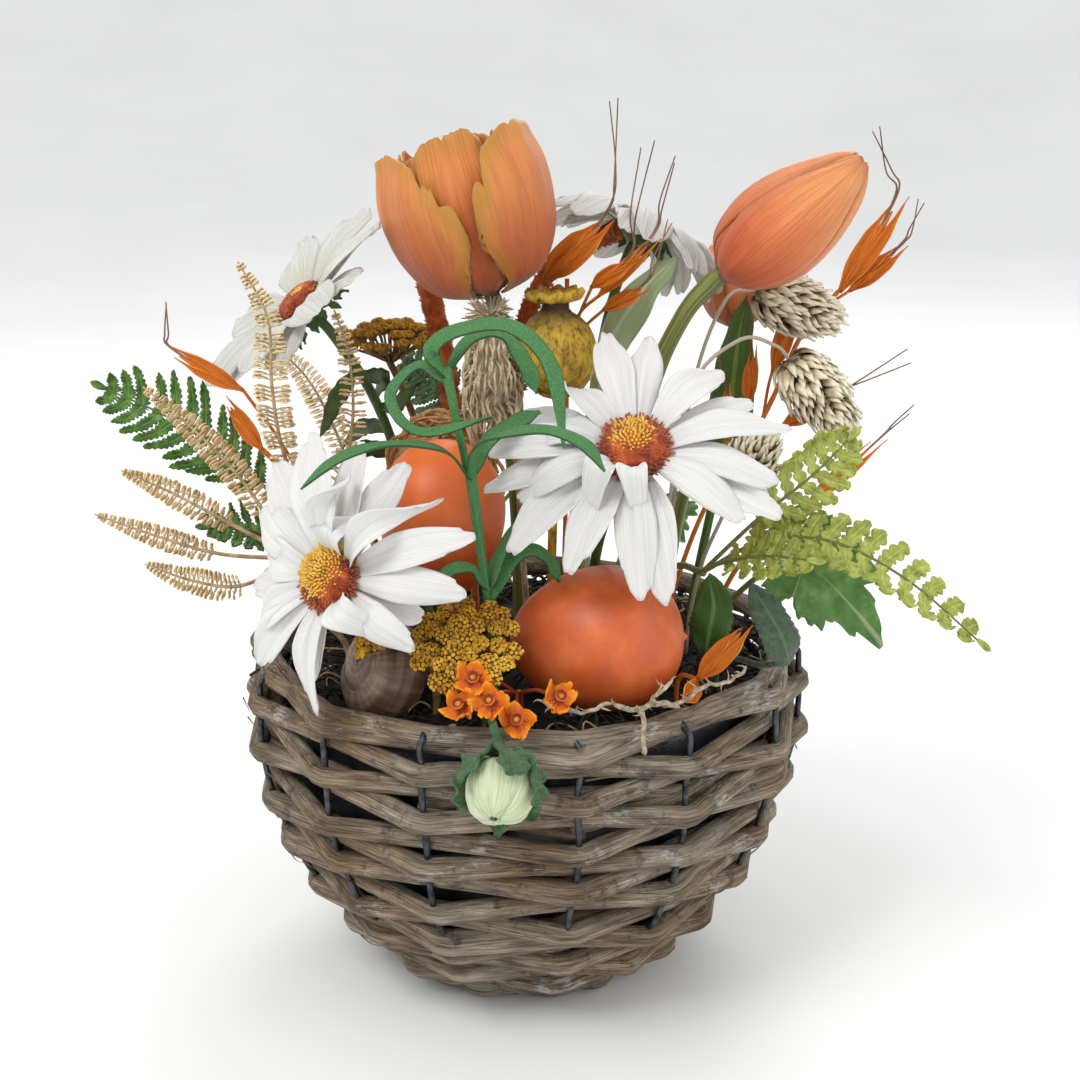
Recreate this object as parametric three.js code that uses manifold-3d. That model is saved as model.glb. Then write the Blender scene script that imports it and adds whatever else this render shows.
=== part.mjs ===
// A woven willow basket filled with a dried and silk flower arrangement.
// Millimetres, +Z up. The origin is the middle of the underside, and the viewer stands at -Y.

import * as THREE from 'three';
import { mergeVertices } from 'three/addons/utils/BufferGeometryUtils.js';
import Module from 'manifold-3d';

const wasm = await Module();
wasm.setup();

// ---------------------------------------------------------------- driving dimensions

const BASKET_HEIGHT = 118;
const STAKES = 14;
const ROWS = 13;
const ROD_THICK = 8.4;
const WEAVE = 2.6;
const WALL = 9.5;
const STAKE_TURN = THREE.MathUtils.degToRad(-4.7);
const FLOOR = 8;
const WIRE = 1;
const LINER_GAP = 5.6;
const LINER_THICK = 1;
const LINER_BOTTOM = 12.2;
const LINER_TOP = 109;
const FOAM_TOP = 98;
const FOAM_RADIUS = 76;
const MOSS_EDGE = 110;
const MOSS_CROWN = 118;
const CLEAR = 0.3;
const STEM_DEPTH = 20;

// The outer outline of the wall, as radius and height.
const WALL_OUTLINE = new THREE.SplineCurve([
  new THREE.Vector2(42, 0),
  new THREE.Vector2(57, 10),
  new THREE.Vector2(69, 22),
  new THREE.Vector2(80.5, 38),
  new THREE.Vector2(89.5, 56),
  new THREE.Vector2(96.5, 76),
  new THREE.Vector2(99, 92),
  new THREE.Vector2(98, 108),
  new THREE.Vector2(95, BASKET_HEIGHT),
]);

const COLOURS = {
  willow: 0x716251,
  wire: 0x26282b,
  film: 0x1c1d20,
  foam: 0x4c5a3a,
  moss: 0x2a2118,
  silk: 0xe6e6e4,
  disc: 0xb0602a,
  calyx: 0x3c5a2c,
  tulip: 0xe08a4c,
  bud: 0xd8703c,
  stem: 0x6f7a3c,
  leaf: 0x35681c,
  paleLeaf: 0x9fc08c,
  pod: 0x94711c,
  egg: 0xd0642f,
  nest: 0xb98a55,
  shell: 0x6e5544,
  yarrow: 0x906a2c,
  blossom: 0xeb7d0a,
  rosebud: 0xd6dcb4,
  ribbon: 0x4f8c54,
  rust: 0x8c3414,
  straw: 0xb5a182,
  oat: 0xc8640c,
  bleached: 0xd2b684,
  fern: 0x2f6b2a,
  lime: 0xa3ad4e,
  ivy: 0x4f8040,
  serrate: 0x45624a,
  twig: 0xb9a37c,
};

// ---------------------------------------------------------------- small tools

// A repeatable stream of numbers from 0 to 1.
function dice(seed) {
  let state = seed;
  return () => {
    state = (state * 1664525 + 1013904223) % 4294967296;
    return state / 4294967296;
  };
}

function at(x, y, z) {
  return new THREE.Vector3(x, y, z);
}

// A closed geometry as a solid, turned right side out where its faces point in.
function solid(geometry) {
  const bare = geometry.index ? geometry.toNonIndexed() : geometry.clone();
  bare.deleteAttribute('normal');
  bare.deleteAttribute('uv');
  const merged = mergeVertices(bare, 1e-4);
  const vertProperties = new Float32Array(merged.attributes.position.array);
  const corners = [];
  const index = merged.index.array;
  for (let i = 0; i < index.length; i += 3) {
    const [a, b, c] = [index[i], index[i + 1], index[i + 2]];
    if (a !== b && b !== c && c !== a) corners.push(a, b, c);
  }
  let volume = 0;
  const p = (k) => at(vertProperties[3 * k], vertProperties[3 * k + 1], vertProperties[3 * k + 2]);
  for (let i = 0; i < corners.length; i += 3) {
    volume += p(corners[i]).dot(p(corners[i + 1]).cross(p(corners[i + 2])));
  }
  if (volume < 0) corners.reverse();
  return new wasm.Manifold(new wasm.Mesh({ numProp: 3, vertProperties, triVerts: new Uint32Array(corners) }));
}

function fuse(solids) {
  return solids.reduce((whole, piece) => whole.add(piece));
}

function cut(body, tools) {
  return tools.reduce((rest, tool) => rest.subtract(tool), body);
}

// The largest outer surface of a solid: scraps are dropped and sealed hollows are filled.
function outerSurface(body) {
  const { vertProperties, triVerts } = body.getMesh();
  const owner = Array.from({ length: vertProperties.length / 3 }, (_, k) => k);
  const root = (k) => {
    while (owner[k] !== k) {
      owner[k] = owner[owner[k]];
      k = owner[k];
    }
    return k;
  };
  for (let i = 0; i < triVerts.length; i += 3) {
    owner[root(triVerts[i])] = root(triVerts[i + 1]);
    owner[root(triVerts[i + 1])] = root(triVerts[i + 2]);
  }
  const shells = new Map();
  const p = (k) => at(vertProperties[3 * k], vertProperties[3 * k + 1], vertProperties[3 * k + 2]);
  for (let i = 0; i < triVerts.length; i += 3) {
    const key = root(triVerts[i]);
    if (!shells.has(key)) shells.set(key, { volume: 0, corners: [] });
    const shell = shells.get(key);
    shell.corners.push(triVerts[i], triVerts[i + 1], triVerts[i + 2]);
    shell.volume += p(triVerts[i]).dot(p(triVerts[i + 1]).cross(p(triVerts[i + 2])));
  }
  const largest = [...shells.values()].sort((a, b) => b.volume - a.volume)[0];
  const geometry = new THREE.BufferGeometry();
  geometry.setAttribute('position', new THREE.BufferAttribute(new Float32Array(vertProperties), 3));
  geometry.setIndex(largest.corners);
  return geometry;
}

const arrangement = new THREE.Group();
arrangement.name = 'flower_basket_arrangement';

function part(name, body, colour, roughness = 0.8, parent = arrangement) {
  const geometry = outerSurface(body);
  geometry.computeVertexNormals();
  const material = new THREE.MeshStandardMaterial({ color: COLOURS[colour], roughness, metalness: 0 });
  const mesh = new THREE.Mesh(geometry, material);
  mesh.name = name;
  parent.add(mesh);
  return mesh;
}

function polygon(radius, sides) {
  const shape = new THREE.Shape();
  for (let k = 0; k < sides; k += 1) {
    const turn = (2 * Math.PI * k) / sides;
    const x = radius * Math.cos(turn);
    const y = radius * Math.sin(turn);
    if (k === 0) shape.moveTo(x, y);
    else shape.lineTo(x, y);
  }
  shape.closePath();
  return shape;
}

// A smooth curve whose even steps fall on its own points, wherever they are spaced.
class Route extends THREE.CatmullRomCurve3 {
  getUtoTmapping(u) {
    return u;
  }
}

// A round stem through the given points, with a section at each of them and some between.
function tube(points, radius, sides = 5, between = 0) {
  const extrudePath = new Route(points);
  const steps = (points.length - 1) * (between + 1);
  return solid(new THREE.ExtrudeGeometry(polygon(radius, sides), { steps, extrudePath,
    bevelEnabled: false }));
}

// Triangles between rings of equal length, with both ends closed by a fan from a pole.
function closedRings(rings, bottom, top) {
  const sides = rings[0].length;
  const points = [bottom, ...rings.flat(), top];
  const corner = (i, j) => 1 + i * sides + (j % sides);
  const corners = [];
  for (let j = 0; j < sides; j += 1) {
    corners.push(0, corner(0, j + 1), corner(0, j));
    corners.push(points.length - 1, corner(rings.length - 1, j), corner(rings.length - 1, j + 1));
    for (let i = 0; i + 1 < rings.length; i += 1) {
      corners.push(corner(i, j), corner(i, j + 1), corner(i + 1, j + 1));
      corners.push(corner(i, j), corner(i + 1, j + 1), corner(i + 1, j));
    }
  }
  const geometry = new THREE.BufferGeometry().setFromPoints(points);
  geometry.setIndex(corners);
  return geometry;
}

// A knobbly body round the Z axis: shapeAt(ring, side) gives [radius, height].
function knobbly(ringCount, sides, shapeAt, bottomZ, topZ) {
  const rings = [];
  for (let i = 0; i < ringCount; i += 1) {
    const ring = [];
    for (let j = 0; j < sides; j += 1) {
      const [radius, height] = shapeAt(i, j);
      const turn = (2 * Math.PI * j) / sides;
      ring.push(at(radius * Math.cos(turn), radius * Math.sin(turn), height));
    }
    rings.push(ring);
  }
  return closedRings(rings, at(0, 0, bottomZ), at(0, 0, topZ));
}

// Turns a geometry so that +Z looks along a direction, then moves it to a place.
function aimed(geometry, direction, place, roll = 0) {
  const turn = new THREE.Quaternion().setFromUnitVectors(at(0, 0, 1), direction.clone().normalize());
  turn.multiply(new THREE.Quaternion().setFromAxisAngle(at(0, 0, 1), roll));
  const matrix = new THREE.Matrix4().compose(place, turn, at(1, 1, 1));
  return geometry.clone().applyMatrix4(matrix);
}

// The two directions across a curve at t: one along the blade's width and one out of its face.
function frameAt(rib, t, face, twist = 0) {
  const tangent = rib.getTangent(t);
  const side = at(0, 0, 0).crossVectors(tangent, face).normalize();
  const out = at(0, 0, 0).crossVectors(side, tangent).normalize();
  side.applyAxisAngle(tangent, twist);
  out.applyAxisAngle(tangent, twist);
  return { side, out };
}

// A petal or a narrow leaf: a lens-shaped section carried along its midrib, so that both faces
// are split into triangles alike. widths lists [place along the rib, half width].
function blade(points, face, widths, { thick = 1.2, cup = 0, twist = 0, flat = false } = {}) {
  const rib = new THREE.CatmullRomCurve3(points);
  const vertices = [];
  const corners = [];
  let before = null;
  widths.forEach(([t, half]) => {
    const centre = rib.getPoint(t);
    const { side, out } = frameAt(rib, t, face, twist * t);
    const ring = [];
    const add = (across, up) => {
      ring.push(vertices.length);
      vertices.push(centre.clone().addScaledVector(side, across).addScaledVector(out, up));
    };
    if (half === 0) {
      add(0, 0);
    } else if (flat) {
      add(-half, thick / 2);
      add(half, thick / 2);
      add(half, -thick / 2);
      add(-half, -thick / 2);
    } else {
      add(-half, cup * half);
      add(0, thick / 2);
      add(half, cup * half);
      add(0, -thick / 2);
    }
    if (before) joinRings(corners, before, ring);
    else if (ring.length === 4) corners.push(ring[0], ring[2], ring[1], ring[0], ring[3], ring[2]);
    before = ring;
  });
  if (before.length === 4) {
    corners.push(before[0], before[1], before[2], before[0], before[2], before[3]);
  }
  const geometry = new THREE.BufferGeometry().setFromPoints(vertices);
  geometry.setIndex(corners);
  return solid(geometry);
}

// Joins two rings of a blade; either may be a single point at a tip.
function joinRings(corners, a, b) {
  for (let k = 0; k < 4; k += 1) {
    const next = (k + 1) % 4;
    if (a.length === 1) {
      corners.push(a[0], b[next], b[k]);
    } else if (b.length === 1) {
      corners.push(a[k], a[next], b[0]);
    } else if (k === 0 || k === 3) {
      // The diagonals mirror each other on the two faces.
      const [p, q, r, s] = k === 0 ? [a[0], a[1], b[1], b[0]] : [a[3], a[0], b[0], b[3]];
      if (k === 0) corners.push(p, q, r, p, r, s);
      else corners.push(p, q, s, q, r, s);
    } else {
      const [p, q, r, s] = k === 1 ? [a[1], a[2], b[2], b[1]] : [a[2], a[3], b[3], b[2]];
      if (k === 1) corners.push(p, q, s, q, r, s);
      else corners.push(p, q, r, p, r, s);
    }
  }
}

// Half an outline and its mirror image, joined at the tip.
function mirrored(half, tip) {
  const other = half.map(([x, y]) => [x, -y]).reverse();
  return [...half, tip, ...other];
}

// Where a point of a flat pattern comes to lie once the pattern is bent onto a rib. Its edges
// drop by droop, as a part of the square of their distance from the rib.
function bender(points, face, length, { droop = 0, ripple = 0 }) {
  const rib = new THREE.CatmullRomCurve3(points);
  return (along, across, depth) => {
    const t = THREE.MathUtils.clamp(along / length, 0, 1);
    const wave = ripple * Math.sin(9 * t * Math.PI + Math.sign(across));
    const up = depth - droop * across * across + wave * Math.abs(across);
    const { side, out } = frameAt(rib, t, face);
    return rib.getPoint(t).addScaledVector(side, across).addScaledVector(out, up);
  };
}

// Bends a flat outline, drawn along X from 0 to length with its width along Y, onto a rib.
function bent(outline, points, face, { thick = 0.8, ...bends } = {}) {
  const place = bender(points, face, Math.max(...outline.map(([x]) => x)), bends);
  const shape = new THREE.Shape(outline.map(([x, y]) => new THREE.Vector2(x, y)));
  const geometry = new THREE.ExtrudeGeometry(shape, { depth: thick, steps: 1, bevelEnabled: false });
  const position = geometry.attributes.position;
  for (let k = 0; k < position.count; k += 1) {
    const moved = place(position.getX(k), position.getY(k), position.getZ(k) - thick / 2);
    position.setXYZ(k, moved.x, moved.y, moved.z);
  }
  return solid(geometry);
}

// A frond as one sheet: pairs of leaflets cut to the rib, narrowing towards the tip. A lobed
// leaflet has a blunt end, and any other a single point. Each leaflet and each step of the rib
// has its own triangles, so that the sheet keeps its thickness where the rib bends.
function frond(points, face, reach, pairs, { sweep = 0.5, lobed = false, start = 0.2, thick = 1,
  droop = 0 }) {
  const length = new THREE.CatmullRomCurve3(points).getLength();
  const rib = 1;
  const pitch = (length * (1 - start)) / (pairs + 0.6);
  const right = [];
  for (let k = 0; k < pairs; k += 1) {
    const x = length * start + pitch * k;
    const wide = reach * Math.sin(Math.PI * (0.22 + (0.72 * k) / pairs));
    const lean = sweep * wide;
    right.push([x, rib], [x + lean, wide]);
    if (lobed) right.push([x + lean + pitch * 0.42, wide * 0.84]);
  }
  right.push([length * start + pitch * pairs, rib]);
  const outline = [[0, rib], ...mirrored(right, [length, 0]), [0, -rib]];

  const other = (k) => outline.length - 1 - k;
  const step = lobed ? 3 : 2;
  const triangles = [[0, other(0), 1], [other(0), other(1), 1]];
  for (let k = 0; k < pairs; k += 1) {
    const valley = 1 + k * step;
    const next = valley + step;
    const leaflet = [[valley, next, valley + 1]];
    if (lobed) leaflet.push([valley + 1, next, valley + 2]);
    triangles.push([valley, other(valley), next], [other(valley), other(next), next], ...leaflet);
    triangles.push(...leaflet.map(([a, b, c]) => [other(a), other(c), other(b)]));
  }
  const last = 1 + pairs * step;
  triangles.push([last, other(last), last + 1]);

  const place = bender(points, face, length, { droop });
  const count = outline.length;
  const vertices = [thick / 2, -thick / 2].flatMap((depth) => outline.map(([x, y]) => place(x, y, depth)));
  const corners = triangles.flatMap(([a, b, c]) => [a, b, c, a + count, c + count, b + count]);
  for (let k = 0; k < count; k += 1) {
    const next = (k + 1) % count;
    corners.push(k, next, next + count, k, next + count, k + count);
  }
  const geometry = new THREE.BufferGeometry().setFromPoints(vertices);
  geometry.setIndex(corners);
  return solid(geometry);
}

// A closed sheet between an outer and an inner grid, as for a cupped petal.
function thickSheet(columns, rows, outer, inner) {
  const points = [];
  const corners = [];
  for (const skin of [outer, inner]) {
    for (let i = 0; i <= rows; i += 1) {
      for (let j = 0; j <= columns; j += 1) points.push(skin(j / columns, i / rows));
    }
  }
  const layer = (rows + 1) * (columns + 1);
  const corner = (i, j, k) => k * layer + i * (columns + 1) + j;
  for (let i = 0; i < rows; i += 1) {
    for (let j = 0; j < columns; j += 1) {
      const [a, b, c, d] = [corner(i, j, 0), corner(i, j + 1, 0), corner(i + 1, j + 1, 0),
        corner(i + 1, j, 0)];
      corners.push(a, b, c, a, c, d);
      corners.push(a + layer, c + layer, b + layer, a + layer, d + layer, c + layer);
    }
  }
  const edge = [];
  for (let j = 0; j < columns; j += 1) edge.push(corner(0, j, 0));
  for (let i = 0; i < rows; i += 1) edge.push(corner(i, columns, 0));
  for (let j = columns; j > 0; j -= 1) edge.push(corner(rows, j, 0));
  for (let i = rows; i > 0; i -= 1) edge.push(corner(i, 0, 0));
  edge.forEach((a, k) => {
    const b = edge[(k + 1) % edge.length];
    corners.push(a, a + layer, b + layer, a, b + layer, b);
  });
  const geometry = new THREE.BufferGeometry().setFromPoints(points);
  geometry.setIndex(corners);
  return geometry;
}

// ---------------------------------------------------------------- stems and their holes

const stemHoles = [];
const lightHoles = [];

// A stem from its foot, up through the moss at the given entry, to the head above. Heavy stems
// stand in the foam and light ones only in the moss.
function stem(entry, above, radius, { sides = 5, light = false } = {}) {
  const footHeight = light ? FOAM_TOP + CLEAR + 1.5 : FOAM_TOP - STEM_DEPTH;
  const foot = at(entry.x, entry.y, footHeight);
  const low = at(entry.x, entry.y, MOSS_CROWN + 3);
  const hole = [at(entry.x, entry.y, footHeight - 0.5), at(entry.x, entry.y, MOSS_CROWN + 6)];
  const bore = tube(hole, (radius + CLEAR) / Math.cos(Math.PI / sides), sides);
  if (light) lightHoles.push(bore);
  else stemHoles.push(bore);
  return tube([foot, low, ...above], radius, sides);
}

// A thin stem with three sides, which stands in the moss only.
function lightStem(entry, above, radius) {
  return stem(entry, above, radius, { sides: 3, light: true });
}

// ---------------------------------------------------------------- basket, wires and liner

// The outer radius of the wall at a height.
function wallRadius(height) {
  let low = 0;
  let high = 1;
  for (let k = 0; k < 24; k += 1) {
    const middle = (low + high) / 2;
    if (WALL_OUTLINE.getPoint(middle).y < height) low = middle;
    else high = middle;
  }
  return WALL_OUTLINE.getPoint(low).x;
}

function innerRadius(height) {
  return wallRadius(height) - WALL;
}

// Rods run straight from stake to stake. They pass in turn outside and inside the stakes, and
// swap from each row to the next, but the top rows lie flat under the wires that hook over them.
function wovenBasket() {
  const roll = dice(7);
  const sides = STAKES * 2;
  const pitch = BASKET_HEIGHT / ROWS;
  const flatRows = 2;
  const chord = Math.cos(Math.PI / STAKES);
  const middleOfRod = (height, j) => (wallRadius(height) - ROD_THICK / 2 - 0.4) * (j % 2 ? chord : 1);
  const rings = [];
  for (let row = 0; row < ROWS; row += 1) {
    const swing = row < ROWS - flatRows ? WEAVE : 0.6 * WEAVE;
    const inward = row < ROWS - flatRows ? 0 : 2;
    const seam = [];
    const crest = [];
    for (let j = 0; j < sides; j += 1) {
      const weave = Math.cos(Math.PI * (j / 2 + row));
      const seamZ = row * pitch;
      const crestZ = (row + 0.5) * pitch + (row === 0 ? 0 : roll() - 0.5);
      seam.push([middleOfRod(seamZ, j) + (row === 0 ? 2.5 : 0.4), seamZ]);
      crest.push([middleOfRod(crestZ, j) + ROD_THICK / 2 - inward + swing * weave, crestZ]);
    }
    rings.push(seam, crest);
  }
  rings.push(Array.from({ length: sides }, () => [wallRadius(BASKET_HEIGHT) - 4, BASKET_HEIGHT]));
  const woven = solid(knobbly(rings.length, sides, (i, j) => rings[i][j], 0, BASKET_HEIGHT));
  const hollow = [new THREE.Vector2(0, FLOOR), new THREE.Vector2(innerRadius(FLOOR + 3), FLOOR)];
  for (const height of [22, 38, 56, 76, 94, BASKET_HEIGHT + 1]) {
    hollow.push(new THREE.Vector2(innerRadius(Math.min(height, BASKET_HEIGHT)), height));
  }
  hollow.push(new THREE.Vector2(0, BASKET_HEIGHT + 1));
  return woven.subtract(solid(new THREE.LatheGeometry(hollow, STAKES * 2).rotateX(Math.PI / 2)));
}

// Stakes of wire rise inside the weave from a ring low in it and hook over the rim.
function wireStakes() {
  const ringHeight = 34;
  const inside = (height) => innerRadius(height) - WIRE - 0.8;
  const ring = inside(ringHeight);
  const rim = wallRadius(BASKET_HEIGHT);
  const route = [
    [ring, ringHeight],
    [inside(66) - 0.6, 66],
    [inside(100) - 0.3, 100],
    [inside(BASKET_HEIGHT) - 0.2, BASKET_HEIGHT],
    [rim - 6, BASKET_HEIGHT + 2.2],
    [rim + 1.9, BASKET_HEIGHT - 2],
    [wallRadius(104) + 1.8, 103],
  ];
  const hoop = new THREE.TorusGeometry(ring, 1.4 * WIRE, 4, STAKES).translate(0, 0, ringHeight);
  const wires = [solid(hoop)];
  for (let k = 0; k < STAKES; k += 1) {
    const turn = (2 * Math.PI * k) / STAKES;
    const points = route.map(([radius, z]) => at(radius * Math.cos(turn), radius * Math.sin(turn), z));
    wires.push(tube(points, WIRE, 3));
  }
  return fuse(wires);
}

function linerRadius(height) {
  return innerRadius(height) - LINER_GAP;
}

// Dark film lining the weave, open at the top.
function linerFilm() {
  const heights = [17, 34, 60, 88, LINER_TOP];
  const wall = (inward) => heights.map((height) => new THREE.Vector2(linerRadius(height) - inward, height));
  const corner = linerRadius(12) - 2;
  const outline = [
    new THREE.Vector2(0, LINER_BOTTOM),
    new THREE.Vector2(corner, LINER_BOTTOM),
    ...wall(0),
    ...wall(LINER_THICK).reverse(),
    new THREE.Vector2(corner - LINER_THICK, LINER_BOTTOM + LINER_THICK),
    new THREE.Vector2(0, LINER_BOTTOM + LINER_THICK),
  ];
  return solid(new THREE.LatheGeometry(outline, STAKES).rotateX(Math.PI / 2));
}

function foamBlock() {
  const outline = [
    new THREE.Vector2(0, LINER_BOTTOM + LINER_THICK + CLEAR),
    new THREE.Vector2(38, LINER_BOTTOM + LINER_THICK + CLEAR),
    new THREE.Vector2(60, 46),
    new THREE.Vector2(FOAM_RADIUS - 2, 84),
    new THREE.Vector2(FOAM_RADIUS, FOAM_TOP),
    new THREE.Vector2(0, FOAM_TOP),
  ];
  return solid(new THREE.LatheGeometry(outline, STAKES).rotateX(Math.PI / 2));
}

// Curly fibre and moss, heaped from the liner's edge to the middle.
function mossFill() {
  const roll = dice(21);
  const radii = [78.5, 79, 72, 56, 38, 16];
  const shapeAt = (i, j) => {
    if (i === 0) return [radii[0], FOAM_TOP + CLEAR];
    const heap = 1 - (radii[i] / radii[1]) ** 2;
    const bump = i === 1 ? 1 : 4;
    const height = MOSS_EDGE + (MOSS_CROWN - MOSS_EDGE) * heap ** 0.6 + bump * (roll() - 0.6);
    return [radii[i] + (i > 1 ? 4 * (roll() - 0.5) : -0.8 * (j % 2)), height - (i === 1 ? 3 : 0)];
  };
  return solid(knobbly(radii.length, 20, shapeAt, FOAM_TOP + CLEAR, MOSS_CROWN - 1));
}

// ---------------------------------------------------------------- daisies

const SILK_DISC = 12.5;
const SILK_THICK = 0.9;

// One layer of silk petals, cut from one sheet in the flower's own frame and bent out of it.
function silkPetals(count, reach, { seed, lift, droop, extraDroop, width, offset = 0, notch = true,
  floor = 0 }) {
  const roll = dice(seed);
  const root = 12;
  const outline = [];
  const bends = [];
  for (let k = 0; k < count; k += 1) {
    const middle = (2 * Math.PI * (k + offset)) / count + 0.03 * (roll() - 0.5);
    const long = reach * (0.93 + 0.1 * roll());
    const half = width * (0.94 + 0.1 * roll());
    const drop = droop + extraDroop * Math.max(0, -Math.sin(middle)) + 3 * (roll() - 0.5);
    const twist = 0.5 * (roll() - 0.5);
    const add = (along, across, tilt) => {
      outline.push([along * Math.cos(middle) - across * Math.sin(middle),
        along * Math.sin(middle) + across * Math.cos(middle)]);
      const t = (along - root) / (long - root);
      bends.push(lift * Math.sin(Math.PI * Math.min(1, t * 1.1)) - drop * t * t + twist * across * tilt);
    };
    const gap = (Math.PI / count) * 0.98;
    add(root * Math.cos(gap), -root * Math.sin(gap), 0);
    add(root + (long - root) * 0.58, -half, 1);
    if (notch) {
      add(long * 0.94, -half * 0.66, 1);
      add(long, half * 0.1, 1);
      add(long * 0.92, half * 0.7, 1);
    } else {
      add(long, 0, 1);
    }
    add(root + (long - root) * 0.58, half, 1);
  }
  const shape = new THREE.Shape(outline.map(([x, y]) => new THREE.Vector2(x, y)));
  const geometry = new THREE.ExtrudeGeometry(shape, { depth: SILK_THICK, steps: 1, bevelEnabled: false });
  const position = geometry.attributes.position;
  for (let k = 0; k < position.count; k += 1) {
    const place = [position.getX(k), position.getY(k)];
    const corner = outline.findIndex(([x, y]) => Math.hypot(x - place[0], y - place[1]) < 1e-4);
    position.setZ(k, position.getZ(k) + floor + bends[corner]);
  }
  return solid(geometry);
}

function daisy(name, { head, faces, reach, width, counts, droop, extraDroop, lift, route, entry,
  sepals, leaves = [] }) {
  const flower = new THREE.Group();
  flower.position.copy(head);
  const normal = faces.clone().normalize();
  const across = at(0, 0, 1).cross(normal).normalize();
  const up = normal.clone().cross(across);
  flower.quaternion.setFromRotationMatrix(new THREE.Matrix4().makeBasis(across, up, normal));
  arrangement.add(flower);

  const seed = Math.round(Math.abs(head.x * 13 + head.z * 7));
  const layers = [silkPetals(counts[0], reach, { seed, lift, droop, extraDroop, width, floor: -SILK_THICK })];
  if (counts[1]) {
    const under = { seed: seed + 5, lift: lift - 0.6, droop: droop + 4, extraDroop, width, offset: 0.5,
      notch: false };
    layers.push(silkPetals(counts[1], reach * 0.97, { ...under, floor: -3 }));
    layers.push(solid(new THREE.CylinderGeometry(7, 7, 2, 8).rotateX(Math.PI / 2).translate(0, 0, -1.6)));
  }
  part(`${name}_petals`, fuse(layers), 'silk', 0.7, flower);

  const roll = dice(seed + 9);
  const dome = [0.7, 1, 0.9, 0.5];
  const heights = [0.4, 2.6, 6.4, 8.8];
  const shapeAt = (i, j) => [SILK_DISC * dome[i] + (i > 0 ? 1.3 * (((i + j) % 2) - 0.5) : 0), heights[i]];
  part(`${name}_disc`, solid(knobbly(4, 14, shapeAt, 0.4, 8.2 + 0.4 * roll())), 'disc', 0.9, flower);

  // The green cup under the petals, with ragged sepals, on the stem.
  const seat = counts[1] ? -3.6 : -1.3;
  const cup = new THREE.CylinderGeometry(8, 2.4, 6, 7).rotateX(Math.PI / 2).translate(0, 0, seat - 3);
  flower.updateMatrix();
  const green = [solid(cup.applyMatrix4(flower.matrix))];
  for (let k = 0; k < sepals; k += 1) {
    const turn = (2 * Math.PI * (k + 0.5)) / sepals;
    const out = at(Math.cos(turn), Math.sin(turn), 0);
    const stations = [[6, -0.6], [11, -2.9], [14, -7.4]];
    const points = stations.map(([r, z]) => out.clone().multiplyScalar(r).setZ(seat + z));
    points.forEach((point) => point.applyMatrix4(flower.matrix));
    green.push(blade(points, normal, [[0, 2.4], [0.55, 3], [1, 0]], { thick: 1.2 }));
  }
  const neck = head.clone().addScaledVector(normal, seat - 3);
  const back = head.clone().addScaledVector(normal, -16);
  green.push(stem(entry, [...route, back, neck], 1.7));
  for (const [points, half] of leaves) {
    green.push(blade(points, at(0, -1, 0.6), [[0, 1], [0.5, half], [1, 0]], { thick: 1.2 }));
  }
  part(`${name}_stem`, fuse(green), 'calyx');
}

daisy('daisy_front_right', {
  head: at(33.5, -66, 198),
  faces: at(-0.13, -0.66, 0.74),
  reach: 47,
  width: 7.3,
  counts: [13, 9],
  droop: 1,
  extraDroop: 15,
  lift: 1.6,
  sepals: 0,
  entry: at(22, -14, 0),
  route: [at(22, -14, 135), at(26, -28, 165)],
});
daisy('daisy_front_left', {
  head: at(-57.5, -75, 161),
  faces: at(-0.5, -0.8, 0.34),
  reach: 45,
  width: 7.4,
  counts: [12, 8],
  droop: -2,
  extraDroop: 6,
  lift: 2.2,
  sepals: 0,
  entry: at(-27, -44, 0),
  route: [at(-30, -48, 140), at(-38, -54, 151)],
});
daisy('daisy_back_left', {
  head: at(-74, -5, 234),
  faces: at(-0.66, -0.2, 0.72),
  reach: 38,
  width: 5.6,
  counts: [13, 0],
  droop: -3,
  extraDroop: 2,
  lift: 3,
  sepals: 5,
  entry: at(-34, 22, 0),
  route: [at(-38, 20, 150), at(-50, 10, 195)],
  leaves: [
    [[at(-57, 5, 210), at(-63, -4, 202), at(-68, -10, 190)], 2.6],
    [[at(-50, 10, 196), at(-43, 3, 199), at(-37, 0, 206)], 2.4],
    [[at(-45, 16, 178), at(-56, 8, 182), at(-64, 2, 176)], 2.6],
    [[at(-48, 14, 188), at(-58, 24, 186), at(-66, 36, 176)], 2.6],
    [[at(-56, 6, 208), at(-50, 22, 204), at(-54, 36, 194)], 2.6],
  ],
});
daisy('daisy_back_right', {
  head: at(40, 22, 257),
  faces: at(0.42, 0.25, 0.87),
  reach: 33,
  width: 5.2,
  counts: [13, 0],
  droop: 9,
  extraDroop: 2,
  lift: 2.5,
  sepals: 5,
  entry: at(16, 14, 0),
  route: [at(17, 15, 150), at(26, 17, 215)],
});

// ---------------------------------------------------------------- tulips

// Stands a solid, drawn up the Z axis, on a place along a direction.
function stood(body, place, direction, roll = 0) {
  const turn = new THREE.Quaternion().setFromUnitVectors(at(0, 0, 1), direction.clone().normalize());
  turn.multiply(new THREE.Quaternion().setFromAxisAngle(at(0, 0, 1), roll));
  return body.transform(new THREE.Matrix4().compose(place, turn, at(1, 1, 1)).elements);
}

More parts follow.
